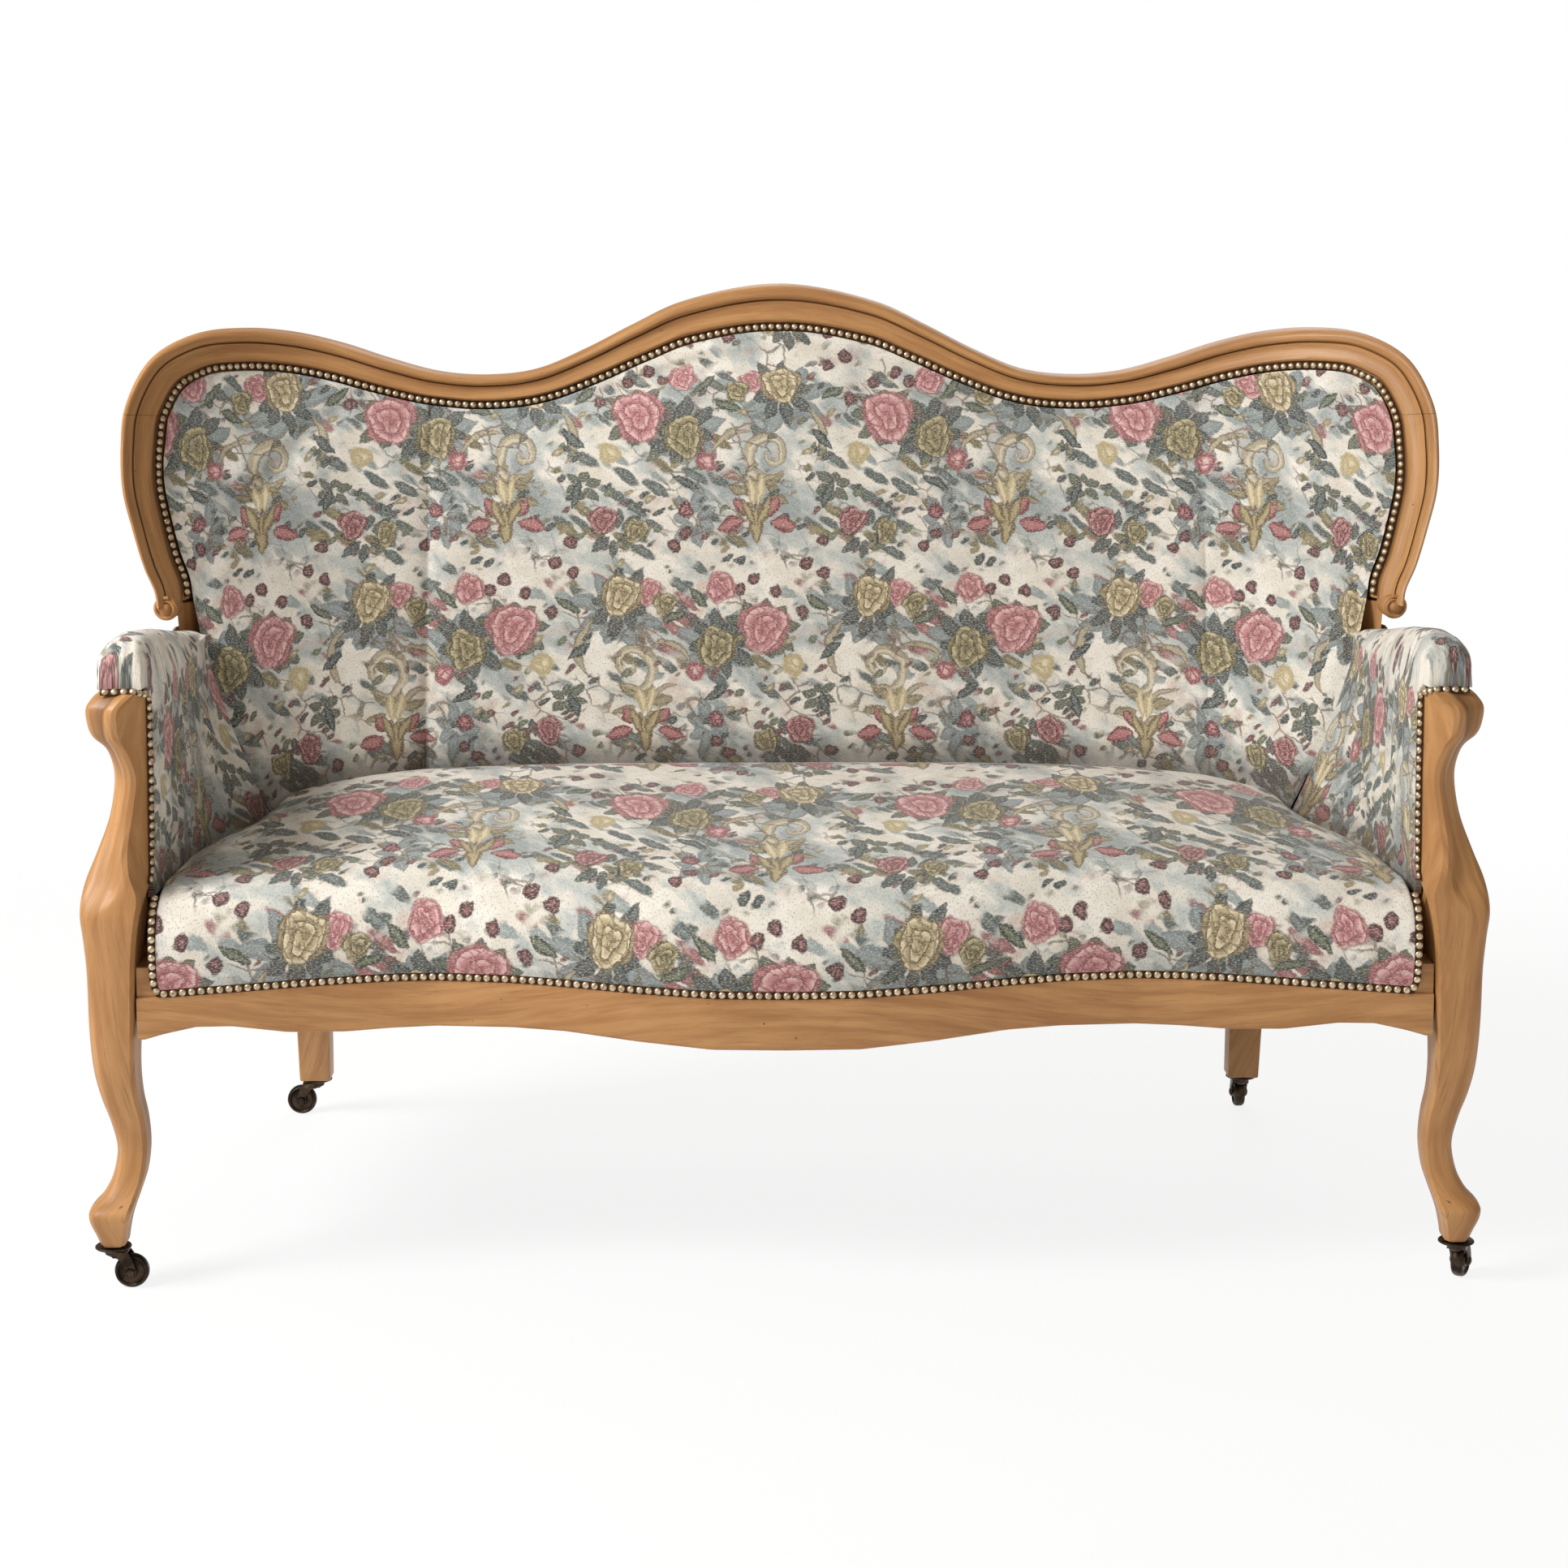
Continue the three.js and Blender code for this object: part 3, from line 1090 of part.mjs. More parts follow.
function buildArms() {
  const stations = armStations().map(armSection);
  const backs = stations.map((section) => insetSection(section, COVER_THICKNESS));
  for (const [name, side] of [['left', -1], ['right', 1]]) {
    addPiece(`arm_cover_${name}`, shell(mirrored(side, stations), mirrored(side, backs)), cloth);
    const stuffing = loft(mirrored(side, stations.slice(1).map(armStuffingSection)));
    const reach = ARM_RAIL_WIDTH / 2 + CLEARANCE;
    const railSpace = box(
      at(side * ARM_RAIL_CENTRE - reach, ARM_COVER_FRONT, ARM_RAIL_LOW - EDGE_ROUND),
      at(side * ARM_RAIL_CENTRE + reach, BACK_DEPTH, ARM_RAIL_HIGH + CLEARANCE),
    );
    addPiece(`arm_stuffing_${name}`, cut(stuffing, railSpace), horsehair);
  }
}

// Back upholstery: stuffing from wing to wing, with a cover for the middle and one for each wing

function backColumn(from, to, share) {
  const x = (z) => mix(from(z), to(z), share);
  let top = BACK_HEIGHT;
  for (let step = 0; step < SEARCH_STEPS; step += 1) top = mix(top, nailHeight(x(top)), SETTLE_SHARE);
  return { x, top };
}

const columnsBetween = (from, to, count) =>
  Array.from({ length: count + 1 }, (_, column) => backColumn(from, to, column / count));

const padGrid = (columns, depthAt) => Array.from({ length: PAD_ROWS + 1 }, (_, row) =>
  columns.map(({ x, top }) => {
    const z = mix(PAD_BOTTOM, top, 1 - (1 - row / PAD_ROWS) ** PAD_ROW_POWER);
    return at(x(z), depthAt(x(z), z), z);
  }));

function buildBackPads() {
  const wingLeft = (z) => -nailHalfWidth(z);
  const wingRight = (z) => nailHalfWidth(z);
  const leftSeam = () => -SEAM_LEFT;
  const rightSeam = () => SEAM_RIGHT;
  const cover = (name, columns) => addPiece(name, shell(
    padGrid(columns, padFront), padGrid(columns, (x, z) => padFront(x, z) + COVER_THICKNESS),
  ), cloth);
  cover('back_cover', columnsBetween(leftSeam, () => SEAM_RIGHT - CLEARANCE, MIDDLE_COLUMNS));
  cover('wing_cover_left', columnsBetween(wingLeft, () => -SEAM_LEFT - CLEARANCE, LEFT_COLUMNS));
  cover('wing_cover_right', columnsBetween(rightSeam, wingRight, RIGHT_COLUMNS));
  const all = [
    ...columnsBetween(wingLeft, leftSeam, LEFT_COLUMNS),
    ...columnsBetween(leftSeam, rightSeam, MIDDLE_COLUMNS).slice(1),
    ...columnsBetween(rightSeam, wingRight, RIGHT_COLUMNS).slice(1),
  ];
  const rear = padGrid(all, (x, z) => planeY(x, z) + PAD_REAR);
  addPiece('back_stuffing', shell(
    padGrid(all, (x, z) => padFront(x, z) + COVER_THICKNESS + CLEARANCE), rear,
  ), horsehair);
  buildBackWebbing(rear);
}

// Webbing behind the stuffing, from stile to stile, along the rows and columns of its rear face
function buildBackWebbing(rear) {
  const columns = rear[0].map((_, column) => column)
    .filter((column) => Math.abs(rear[0][column].x) < BACK_LEG_X);
  const net = (depth) => rear.slice(0, -1).map((line) =>
    columns.map((column) => line[column].clone().add(at(0, depth, 0))));
  addPiece('back_webbing', lattice(net(CLEARANCE), net(CLEARANCE + STRAP_THICKNESS),
    (row, column) => row % WEB_ROWS_EVERY === 1 || column % WEB_COLUMNS_EVERY === 1), jute);
}

// Seat upholstery
const FRONT_ROWS = SEAT_FRONT_RISE_SHARES.length - 1;

function seatRear(x) {
  const half = Math.abs(x);
  const corner = wingEdge(ARM_PAD_BOTTOM);
  if (half <= corner.x - SEAT_CREASE) return padFront(x, PAD_BOTTOM) - SEAT_CREASE;
  let low = NAIL_EDGE;
  let high = corner.y;
  for (let step = 0; step < SEARCH_STEPS; step += 1) {
    const middle = (low + high) / 2;
    if (armX(middle, ARM_PAD_BOTTOM) > half) low = middle;
    else high = middle;
  }
  return low - SEAT_CREASE;
}

function seatPoint(up, across) {
  const spread = mix(2 * across - 1, Math.sin((across - 0.5) * Math.PI), SEAT_SPREAD_SHARE);
  const x = SEAT_HALF * spread;
  const front = railFace(x);
  const place = Math.round(up * (FRONT_ROWS + SEAT_ROWS));
  const [back, rise] = SEAT_FRONT_RISE_SHARES[Math.min(place, FRONT_ROWS)];
  const start = at(x, front + back * SEAT_EDGE_RISE, railNails(x) + rise * SEAT_EDGE_RISE);
  if (place <= FRONT_ROWS) return start;
  const share = (place - FRONT_ROWS) / SEAT_ROWS;
  const rear = Math.max(seatRear(x), start.y + EDGE_ROUND);
  const crown = SEAT_CROWN * Math.sin(Math.PI * share) * (1 - spread ** 4);
  const z = mix(start.z, seatEdgeHeight(rear), share ** SEAT_ROW_POWER);
  return at(x, mix(start.y, rear, share), z + crown);
}

function buildSeat() {
  const rows = FRONT_ROWS + SEAT_ROWS;
  const top = grid(rows, SEAT_COLUMNS, seatPoint);
  const inset = (distance) => top.map((line, row) => line.map((point, column) => {
    const before = top[Math.max(0, row - 1)][column];
    const after = top[Math.min(rows, row + 1)][column];
    const along = after.clone().sub(before).setX(0).normalize();
    const y = row === rows ? point.y : point.y + along.z * distance;
    return at(point.x, y, point.z - along.y * distance);
  }));
  addPiece('seat_cover', shell(top, inset(COVER_THICKNESS)), cloth);
  const base = RAIL_TOP + CLEARANCE;
  const skin = inset(COVER_THICKNESS + CLEARANCE).filter((line) => line.every((point) => point.z > base));
  const lower = inset(COVER_THICKNESS + CLEARANCE)[0];
  const floor = skin.map((line, row) => line.map((point, column) => {
    const share = row ? 0 : (point.z - base) / (point.z - lower[column].z);
    return at(point.x, mix(point.y, lower[column].y + COVER_THICKNESS, share), base);
  }));
  const cavity = box(
    at(-CAVITY_HALF_WIDTH, CAVITY_FRONT, RAIL_UNDERSIDE),
    at(CAVITY_HALF_WIDTH, CAVITY_BACK, SPRING_CAVITY_TOP),
  );
  addPiece('seat_stuffing', cut(shell(skin, floor), cavity), horsehair);
}

// Cloth on the outside of the back and of the arms

function outwardAt(position, z) {
  const step = 1 / NAIL_SAMPLES;
  const from = outsidePoint(Math.max(0, position - step), z);
  const to = outsidePoint(Math.min(1, position + step), z);
  const along = to.sub(from).normalize();
  return at(along.y, -along.x, 0);
}

// The arm's outside cover is drawn in behind the waist of the post
function waistInset(position, z) {
  const up = THREE.MathUtils.smoothstep(z, WAIST_LOW, WAIST_HIGH);
  return ARM_WAIST * up * (1 - THREE.MathUtils.smoothstep(position, SIDE_RAIL_FROM_SHARE, WAIST_TO_SHARE));
}

// A sheet outside the frame: its inner face lies a thickness inside its outer one
function outsideGrid(rows, columns, heightOf, positionOf, depth) {
  return grid(rows, columns, (up, across) => {
    const { side, position } = positionOf(across);
    const z = heightOf(position, up);
    const point = outsidePoint(position, z).addScaledVector(outwardAt(position, z), -depth);
    return onSide(side, point.x - waistInset(position, z), point.y, point.z);
  });
}

// Height of the back's outside cover: it ends on the rear of the moulded rail
function outsideTop(position) {
  const line = Array.from({ length: NAIL_SAMPLES + 1 }, (_, step) =>
    railPoint(mix(0.5, 1, step / NAIL_SAMPLES), OUTSIDE_ACROSS_SHARE, 0));
  const peak = line.reduce((best, point, index) => (point.x > line[best].x ? index : best), 0);
  const run = line.slice(0, peak + 1);
  let z = BACK_HEIGHT;
  for (let step = 0; step < SEARCH_STEPS; step += 1) {
    const reach = Math.min(outsidePoint(position, z).x, run.at(-1).x);
    z = mix(z, readTable(run.map((point) => point.x), run.map((point) => point.z), reach), 0.5);
  }
  return z;
}

function buildOutsideCovers() {
  const gap = CLEARANCE / framePlan.getLength();
  const middle = (across) => ({
    side: across < 0.5 ? -1 : 1,
    position: mix(1, UPRIGHT_SHARE + gap, Math.abs(2 * across - 1)),
  });
  const backHeight = (position, up) => (up < 0.5
    ? mix(BACK_COVER_BASE, VOLUTE_HEIGHT, 2 * up)
    : mix(VOLUTE_HEIGHT, outsideTop(position), 2 * up - 1));
  const backGrid = (depth) => outsideGrid(BACK_COVER_ROWS, BACK_COVER_COLUMNS, backHeight, middle, depth);
  addPiece('outside_back_cover', shell(backGrid(0), backGrid(COVER_THICKNESS)), cloth);
  const armHeight = (position, up) => {
    const rise = THREE.MathUtils.smoothstep(position, ...ARM_COVER_TOP_SHARES);
    return mix(BACK_COVER_BASE, mix(ROLL_LOW - EDGE_ROUND, VOLUTE_HEIGHT - 2 * VOLUTE_RADIUS, rise), up);
  };
  for (const [name, side] of [['left', -1], ['right', 1]]) {
    const along = (across) => ({ side, position: mix(SIDE_RAIL_FROM_SHARE, UPRIGHT_SHARE - gap, across) });
    const armGrid = (depth) =>
      outsideGrid(ARM_COVER_ROWS, ARM_COVER_COLUMNS, armHeight, along, depth);
    addPiece(`outside_arm_cover_${name}`, shell(armGrid(0), armGrid(COVER_THICKNESS)), cloth);
  }
}

// Gimps: woven braid that finishes each edge of the cloth, under the dress nails

function buildGimps() {
  addPiece('back_gimp', loft(Array.from({ length: BACK_GIMP_STEPS + 1 }, (_, step) => {
    const position = step / BACK_GIMP_STEPS;
    const inner = GIMP_GAP;
    const outer = inner + GIMP_WIDTH;
    return [
      railPoint(position, 0, -GIMP_THICKNESS, inner), railPoint(position, 0, -GIMP_THICKNESS, outer),
      railPoint(position, 0, 0, outer), railPoint(position, 0, 0, inner),
    ];
  })), braid);
  addPiece('seat_gimp', seatGimp(), braid);
  for (const [name, side] of [['left', -1], ['right', 1]]) addPiece(`arm_gimp_${name}`, armGimp(side), braid);
}

// The seat's gimp runs along the rail and turns up beside the cover at both ends
function seatGimp() {
  const upright = (side) => SEAT_FRONT_RISE_SHARES.slice(1, FRONT_ROWS).map(([back, rise]) => {
    const x = side * (SEAT_HALF + CLEARANCE);
    const y = railFace(x) + back * SEAT_EDGE_RISE;
    const z = railNails(x) + rise * SEAT_EDGE_RISE;
    const outer = x + side * GIMP_WIDTH;
    return [at(x, y, z), at(outer, y, z), at(outer, y + GIMP_THICKNESS, z), at(x, y + GIMP_THICKNESS, z)];
  });
  const corner = (side) => {
    const x = side * (SEAT_HALF + CLEARANCE);
    const y = railFace(x);
    const high = railNails(x) - CLEARANCE;
    const low = high - GIMP_WIDTH + 2 * CLEARANCE;
    const outer = x + side * GIMP_WIDTH;
    const rear = y + GIMP_THICKNESS;
    return [at(x, y, high), at(outer, y, low), at(outer, rear, low), at(x, rear, high)];
  };
  const along = Array.from({ length: SEAT_GIMP_STEPS - 1 }, (_, step) => {
    const x = mix(-SEAT_HALF, SEAT_HALF, (step + 1) / SEAT_GIMP_STEPS);
    const y = railFace(x);
    const high = railNails(x) - CLEARANCE;
    const low = high - GIMP_WIDTH + 2 * CLEARANCE;
    return [at(x, y, high), at(x, y, low), at(x, y + GIMP_THICKNESS, low), at(x, y + GIMP_THICKNESS, high)];
  });
  return loft([...upright(-1).reverse(), corner(-1), ...along, corner(1), ...upright(1)]);
}

// An arm's gimp climbs the edge of the post and crosses its top
function armGimp(side) {
  const ringAt = (index) => legRing(1, LEG_SHARES[index], POST_ARRIS_SHARES[index]);
  const strip = (edge, next, lift) => {
    const along = next.clone().sub(edge).setZ(0).normalize();
    const out = at(along.y, -along.x, 0);
    return [CLEARANCE, GIMP_WIDTH].map((distance) =>
      edge.clone().addScaledVector(along, distance).addScaledVector(out, lift));
  };
  const rings = [];
  LEG_SHARES.forEach(([height], index) => {
    if (height < ARM_GIMP_FROM_SHARE) return;
    const ring = ringAt(index);
    const near = strip(ring[2], ring[3], POST_GIMP_GAP);
    const far = strip(ring[2], ring[3], POST_GIMP_GAP + GIMP_THICKNESS);
    const last = height === 1;
    if (last) {
      near.forEach((point) => point.setZ(POST_HEIGHT + 2 * CLEARANCE));
      far.forEach((point) => point.setZ(POST_HEIGHT + 2 * CLEARANCE + GIMP_THICKNESS));
    }
    rings.push([far[0], far[1], near[1], near[0]]);
  });
  const low = POST_HEIGHT + 2 * CLEARANCE;
  const rear = ARM_COVER_FRONT - 2 * CLEARANCE;
  const across = [rings.at(-1)[0].x + GIMP_WIDTH, legAcross(LEG_SHARES.at(-1)[1]) - EDGE_ROUND];
  for (const x of across) {
    rings.push([
      at(x, rear, low + GIMP_THICKNESS), at(x, rear - GIMP_WIDTH, low + GIMP_THICKNESS),
      at(x, rear - GIMP_WIDTH, low), at(x, rear, low),
    ]);
  }
  return loft(mirrored(side, rings));
}

// Castors: a plate with its pin, a horn that swivels on the pin, and a wheel on an axle in the horn
function rod(radius, low, high) {
  const geometry = new THREE.CylinderGeometry(radius, radius, high - low, ROUND_SIDES);
  geometry.rotateX(Math.PI / 2);
  geometry.translate(0, 0, (low + high) / 2);
  return geometry;
}

function crossRod(radius, from, to) {
  const geometry = new THREE.CylinderGeometry(radius, radius, to - from, ROUND_SIDES);
  geometry.translate(TRAIL, (from + to) / 2, WHEEL_RADIUS);
  return geometry;
}

const holeRadius = (radius) => (radius + RUNNING_GAP) / Math.cos(Math.PI / ROUND_SIDES);
const PLATE_UNDERSIDE = CASTOR_HEIGHT - PLATE_THICKNESS;
const HUB_TOP = PLATE_UNDERSIDE - CLEARANCE;
const HUB_LOW = HUB_TOP - HUB_HEIGHT;
const CHEEK_INSIDE = WHEEL_WIDTH / 2 + CHEEK_GAP;
const CHEEK_OUTSIDE = CHEEK_INSIDE + CHEEK_THICKNESS;
const AXLE_END = CHEEK_OUTSIDE + CLEARANCE + AXLE_HEAD;

function hornBody() {
  const bridge = box(
    at(-CHEEK_WIDTH / 2, -CHEEK_OUTSIDE, HUB_TOP - BRIDGE_THICKNESS),
    at(TRAIL + CHEEK_WIDTH / 2, CHEEK_OUTSIDE, HUB_TOP),
  );
  const cheeks = [-CHEEK_OUTSIDE, CHEEK_INSIDE].flatMap((y) => [
    box(
      at(TRAIL - CHEEK_WIDTH / 2, y, WHEEL_RADIUS),
      at(TRAIL + CHEEK_WIDTH / 2, y + CHEEK_THICKNESS, HUB_TOP),
    ),
    crossRod(CHEEK_WIDTH / 2, y, y + CHEEK_THICKNESS),
  ]);
  const body = join(rod(HUB_RADIUS, HUB_LOW, HUB_TOP), bridge, ...cheeks);
  return cut(
    body, rod(holeRadius(PIN_RADIUS), 0, CASTOR_HEIGHT),
    crossRod(AXLE_RADIUS + CLEARANCE, -AXLE_END, AXLE_END),
  );
}

function wheelBody() {
  const half = WHEEL_WIDTH / 2;
  const bore = holeRadius(AXLE_RADIUS);
  const rim = WHEEL_RADIUS / Math.cos(Math.PI / ROUND_SIDES);
  const outline = [
    [bore, -half], [rim - WHEEL_ROUND, -half], [rim, -half + WHEEL_ROUND],
    [rim, half - WHEEL_ROUND], [rim - WHEEL_ROUND, half], [bore, half], [bore, -half],
  ];
  const geometry = new THREE.LatheGeometry(outline.map(([x, y]) => new THREE.Vector2(x, y)), ROUND_SIDES);
  geometry.rotateY(Math.PI / ROUND_SIDES);
  geometry.translate(TRAIL, 0, WHEEL_RADIUS);
  return geometry;
}

function socketBody() {
  const pinLow = HUB_LOW - CLEARANCE - RIVET_THICKNESS;
  return join(
    rod(PLATE_RADIUS, PLATE_UNDERSIDE, CASTOR_HEIGHT), rod(PIN_RADIUS, pinLow, CASTOR_HEIGHT),
    rod(RIVET_RADIUS, pinLow, pinLow + RIVET_THICKNESS),
  );
}

function axleBody() {
  return join(
    crossRod(AXLE_RADIUS, -AXLE_END, AXLE_END),
    crossRod(AXLE_HEAD_RADIUS, -AXLE_END, -AXLE_END + AXLE_HEAD),
    crossRod(AXLE_HEAD_RADIUS, AXLE_END - AXLE_HEAD, AXLE_END),
  );
}

const CASTORS = [
  { name: 'front_left', x: -FRONT_PIN_X, y: -FRONT_PIN_Y, heading: 0 },
  { name: 'front_right', x: FRONT_PIN_X, y: -FRONT_PIN_Y, heading: 60 },
  { name: 'back_left', x: -BACK_LEG_FOOT_X, y: BACK_LEG_FOOT_Y, heading: 180 },
  { name: 'back_right', x: BACK_LEG_FOOT_X, y: BACK_LEG_FOOT_Y, heading: 90 },
];

function buildCastors() {
  for (const { name, x, y, heading } of CASTORS) {
    const castor = new THREE.Group();
    castor.position.set(x, y, 0);
    castor.rotation.z = THREE.MathUtils.degToRad(heading);
    sofa.add(castor);
    addPiece(`castor_${name}_socket`, socketBody(), bronze, castor);
    addPiece(`castor_${name}_horn`, hornBody(), bronze, castor);
    addPiece(`castor_${name}_axle`, axleBody(), bronze, castor);
    addPiece(`castor_${name}_wheel`, wheelBody(), bronze, castor);
  }
}

buildFrontLegs();
buildBackLegs();
buildSeatRails();
buildBackFrame();
buildArmRails();
buildCornerBlocks();
buildSeatWebbing();
buildBottomCloth();
buildSprings();
buildArms();
buildBackPads();
buildSeat();
buildOutsideCovers();
buildGimps();
buildCastors();

// The origin is the middle of the bounding box, on the floor
sofa.updateMatrixWorld(true);
const bounds = new THREE.Box3().setFromObject(sofa);
const centre = bounds.getCenter(at(0, 0, 0));
sofa.position.set(-centre.x, -centre.y, -bounds.min.z);

export default sofa;
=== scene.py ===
# Camelback sofa: show-wood frame, figured cloth, dress nails and brass castors.
# Lengths are in metres. Depths start at the arm posts' fronts, and MIDDLE_DEPTH moves them to the frame.

import json
import math

import bmesh
import bpy
import numpy as np
from mathutils import Matrix, Vector

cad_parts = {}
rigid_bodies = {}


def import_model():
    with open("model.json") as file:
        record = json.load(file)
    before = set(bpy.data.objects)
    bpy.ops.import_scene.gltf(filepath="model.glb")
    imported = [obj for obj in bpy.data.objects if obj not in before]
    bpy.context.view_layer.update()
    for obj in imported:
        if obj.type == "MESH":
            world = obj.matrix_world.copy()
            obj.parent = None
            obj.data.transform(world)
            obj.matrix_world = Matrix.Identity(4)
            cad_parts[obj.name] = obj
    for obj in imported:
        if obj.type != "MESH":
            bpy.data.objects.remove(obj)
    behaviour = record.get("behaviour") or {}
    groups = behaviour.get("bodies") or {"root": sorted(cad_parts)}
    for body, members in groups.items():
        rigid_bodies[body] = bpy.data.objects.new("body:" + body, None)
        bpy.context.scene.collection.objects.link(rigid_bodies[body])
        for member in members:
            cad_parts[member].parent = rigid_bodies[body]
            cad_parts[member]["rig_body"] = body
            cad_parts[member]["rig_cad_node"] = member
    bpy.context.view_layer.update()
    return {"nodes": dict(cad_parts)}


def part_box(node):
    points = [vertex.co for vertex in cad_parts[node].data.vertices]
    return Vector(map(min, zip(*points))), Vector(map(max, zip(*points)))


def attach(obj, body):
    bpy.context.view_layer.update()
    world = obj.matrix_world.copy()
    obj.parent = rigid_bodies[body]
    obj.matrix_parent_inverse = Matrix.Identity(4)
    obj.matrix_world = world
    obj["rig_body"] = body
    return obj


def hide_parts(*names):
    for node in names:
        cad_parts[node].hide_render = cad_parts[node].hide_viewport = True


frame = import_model()

MIDDLE_DEPTH = 0.35848
SIDES = (("left", -1), ("right", 1))

# Rows and columns of the soft pieces
BACK_GRID = (46, 150)
SEAT_GRID = (64, 130)
ARM_GRID = (56, 70)
OUTSIDE_BACK_GRID = (40, 120)
OUTSIDE_ARM_GRID = (24, 40)
BOTTOM_GRID = (40, 60)

# Back and its moulded rail
BACK_HEIGHT = 1.088
BACK_HALF_WIDTH = 0.808
VOLUTE_HEIGHT = 0.704
SEAT_HEIGHT = 0.47
BACK_DEPTH = 0.622
RAKE_SHARE = 0.18
WING_REACH = 0.22
WING_POWER = 4.5
WING_TOP_HALF = 0.872
WING_SEAT_HALF = 0.705
CREST_SHARES = (
    (0, 1), (0.157, 0.94), (0.235, 0.865), (0.314, 0.781), (0.392, 0.714), (0.47, 0.695), (0.547, 0.708),
    (0.624, 0.753), (0.699, 0.807), (0.772, 0.846), (0.843, 0.862), (0.91, 0.849), (0.965, 0.779),
    (0.996, 0.635), (1, 0.497), (0.995, 0.367), (0.981, 0.25), (0.963, 0.125), (0.948, 0.047), (0.944, 0),
)
FACE_WIDTH = 0.05
FACE_WIDTH_SHARES = (1, 0.91, 0.77, 0.66, 0.64, 0.74, 0.82, 0.86, 0.69, 0.58, 0.5)
FRAME_DEPTH = 0.04
MOULDING_RISE = 0.014
# Moulding from its inner edge outwards: across it, up from it, and how much painted shade lies there, mostly
# in its groove and at its inner edge
MOULDING_SHARES = (
    (0, 0, 0.8), (0.01, 0.2, 0.6), (0.04, 0.4, 0.3), (0.09, 0.52, 0), (0.18, 0.5, 0), (0.28, 0.44, 0),
    (0.38, 0.42, 0), (0.46, 0.45, 0), (0.52, 0.54, 0), (0.555, 0.62, 0.1), (0.57, 0.55, 0.8),
    (0.585, 0.42, 1), (0.6, 0.46, 0.9), (0.62, 0.66, 0.3), (0.66, 0.84, 0), (0.72, 0.96, 0),
    (0.79, 1, 0), (0.86, 0.93, 0), (0.92, 0.74, 0), (0.965, 0.46, 0), (0.99, 0.12, 0.1),
    (1, -0.25, 0.2),
)
MOULDING_REAR_SHARES = (
    (1, 0.5), (1, 0.72), (0.985, 0.86), (0.95, 0.96), (0.88, 1), (0.4, 1), (-0.2, 1), (-0.25, 0.95),
    (-0.25, 0.2), (-0.2, 0.16), (0, 0.16),
)
RAIL_RINGS = 300
CREST_STEP = 1e-3
CREST_JOINT_FROM_VOLUTE = 0.24
JOINT_GAP = 0.0005
VOLUTE_RADIUS = 0.015
VOLUTE_ACROSS_SHARE = 0.62
VOLUTE_DEPTH = 0.032
VOLUTE_RISE_SHARE = 0.55
DRUM_SHARES = ((0, 1), (0.86, 1), (0.96, 0.8), (1, 0.4))
EYE_SHARES = ((0.46, 0.9), (0.44, 1.4), (0.34, 1.75), (0.18, 1.9), (0, 1.95))
RIDGE_TURNS = 1.35
RIDGE_START = 0.6 * math.pi
RIDGE_COIL_SHARES = (0.9, 0.52)
RIDGE_THICK_SHARES = (0.17, 0.1)
RIDGE_PROUD_SHARE = 1.1
RIDGE_LENGTH = 0.08
RIDGE_GIRTH = 0.003 * math.tau
RIDGE_DARK = 0.12

# Seat frame and legs
RAIL_TOP = 0.366
RAIL_THICKNESS = 0.034
RAIL_UNDERSIDE = 0.3
FRONT_RAIL_HALF = 0.705
FRONT_RAIL_FACE = 0.032
FRONT_RAIL_BOW = 0.046
NAIL_LINE = 0.345
COVER_REBATE = 0.004
RAIL_SHARES = (0, 0.115, 0.23, 0.345, 0.43, 0.55, 0.62, 0.69, 0.78, 0.865, 0.92, 0.97, 1)
RAIL_BOW_SHARES = (1, 0.96, 0.76, 0.42, 0.2, 0, 0.02, 0.1, 0.26, 0.44, 0.54, 0.62, 0.65)
RAIL_NAIL_RISE = 0.009
RAIL_NAIL_SHARES = (-0.4, -0.3, 0.1, 0.55, 0.8, 0.9, 0.8, 0.6, 0.3, 0, -0.2, -0.4, -0.45)
RAIL_DROP = 0.025
RAIL_DROP_SHARES = (1, 0.98, 0.7, 0.38, 0.3, 0.32, 0.4, 0.52, 0.46, 0.1, 0.08, 0.36, 0.6)
LEG_RAIL_SHARE = 0.218
SIDE_HALF = 0.753
BACK_RAIL_DEPTH = 0.636
FRAME_PLAN_SHARES = (
    (1, 0.044), (1, 0.236), (0.993, 0.425), (0.98, 0.582), (0.951, 0.715), (0.908, 0.825), (0.837, 0.912),
    (0.728, 0.962), (0.571, 0.987), (0.385, 0.997), (0, 1),
)
ARM_HALF = 0.757
ARM_PLAN_SHARES = ((1, 0.044), (1.001, 0.252), (1.001, 0.472), (0.999, 0.629))
UPPER_PLAN_HALF = 0.748
UPPER_PLAN_SHARES = (1, 0.936, 0.856, 0.749, 0.602, 0.401, 0)
UPRIGHT_SHARE = 0.4
UPRIGHT_SPAN_SHARE = 0.06
UPRIGHT_DEPTH = 0.026
UPRIGHT_INSET = 0.003
LEG_INNER = 0.695
LEG_REAR = 0.028
LEG_BLANK = 0.078
POST_HEIGHT = 0.668
CASTOR_HEIGHT = 0.048
CLEARANCE = 0.0003
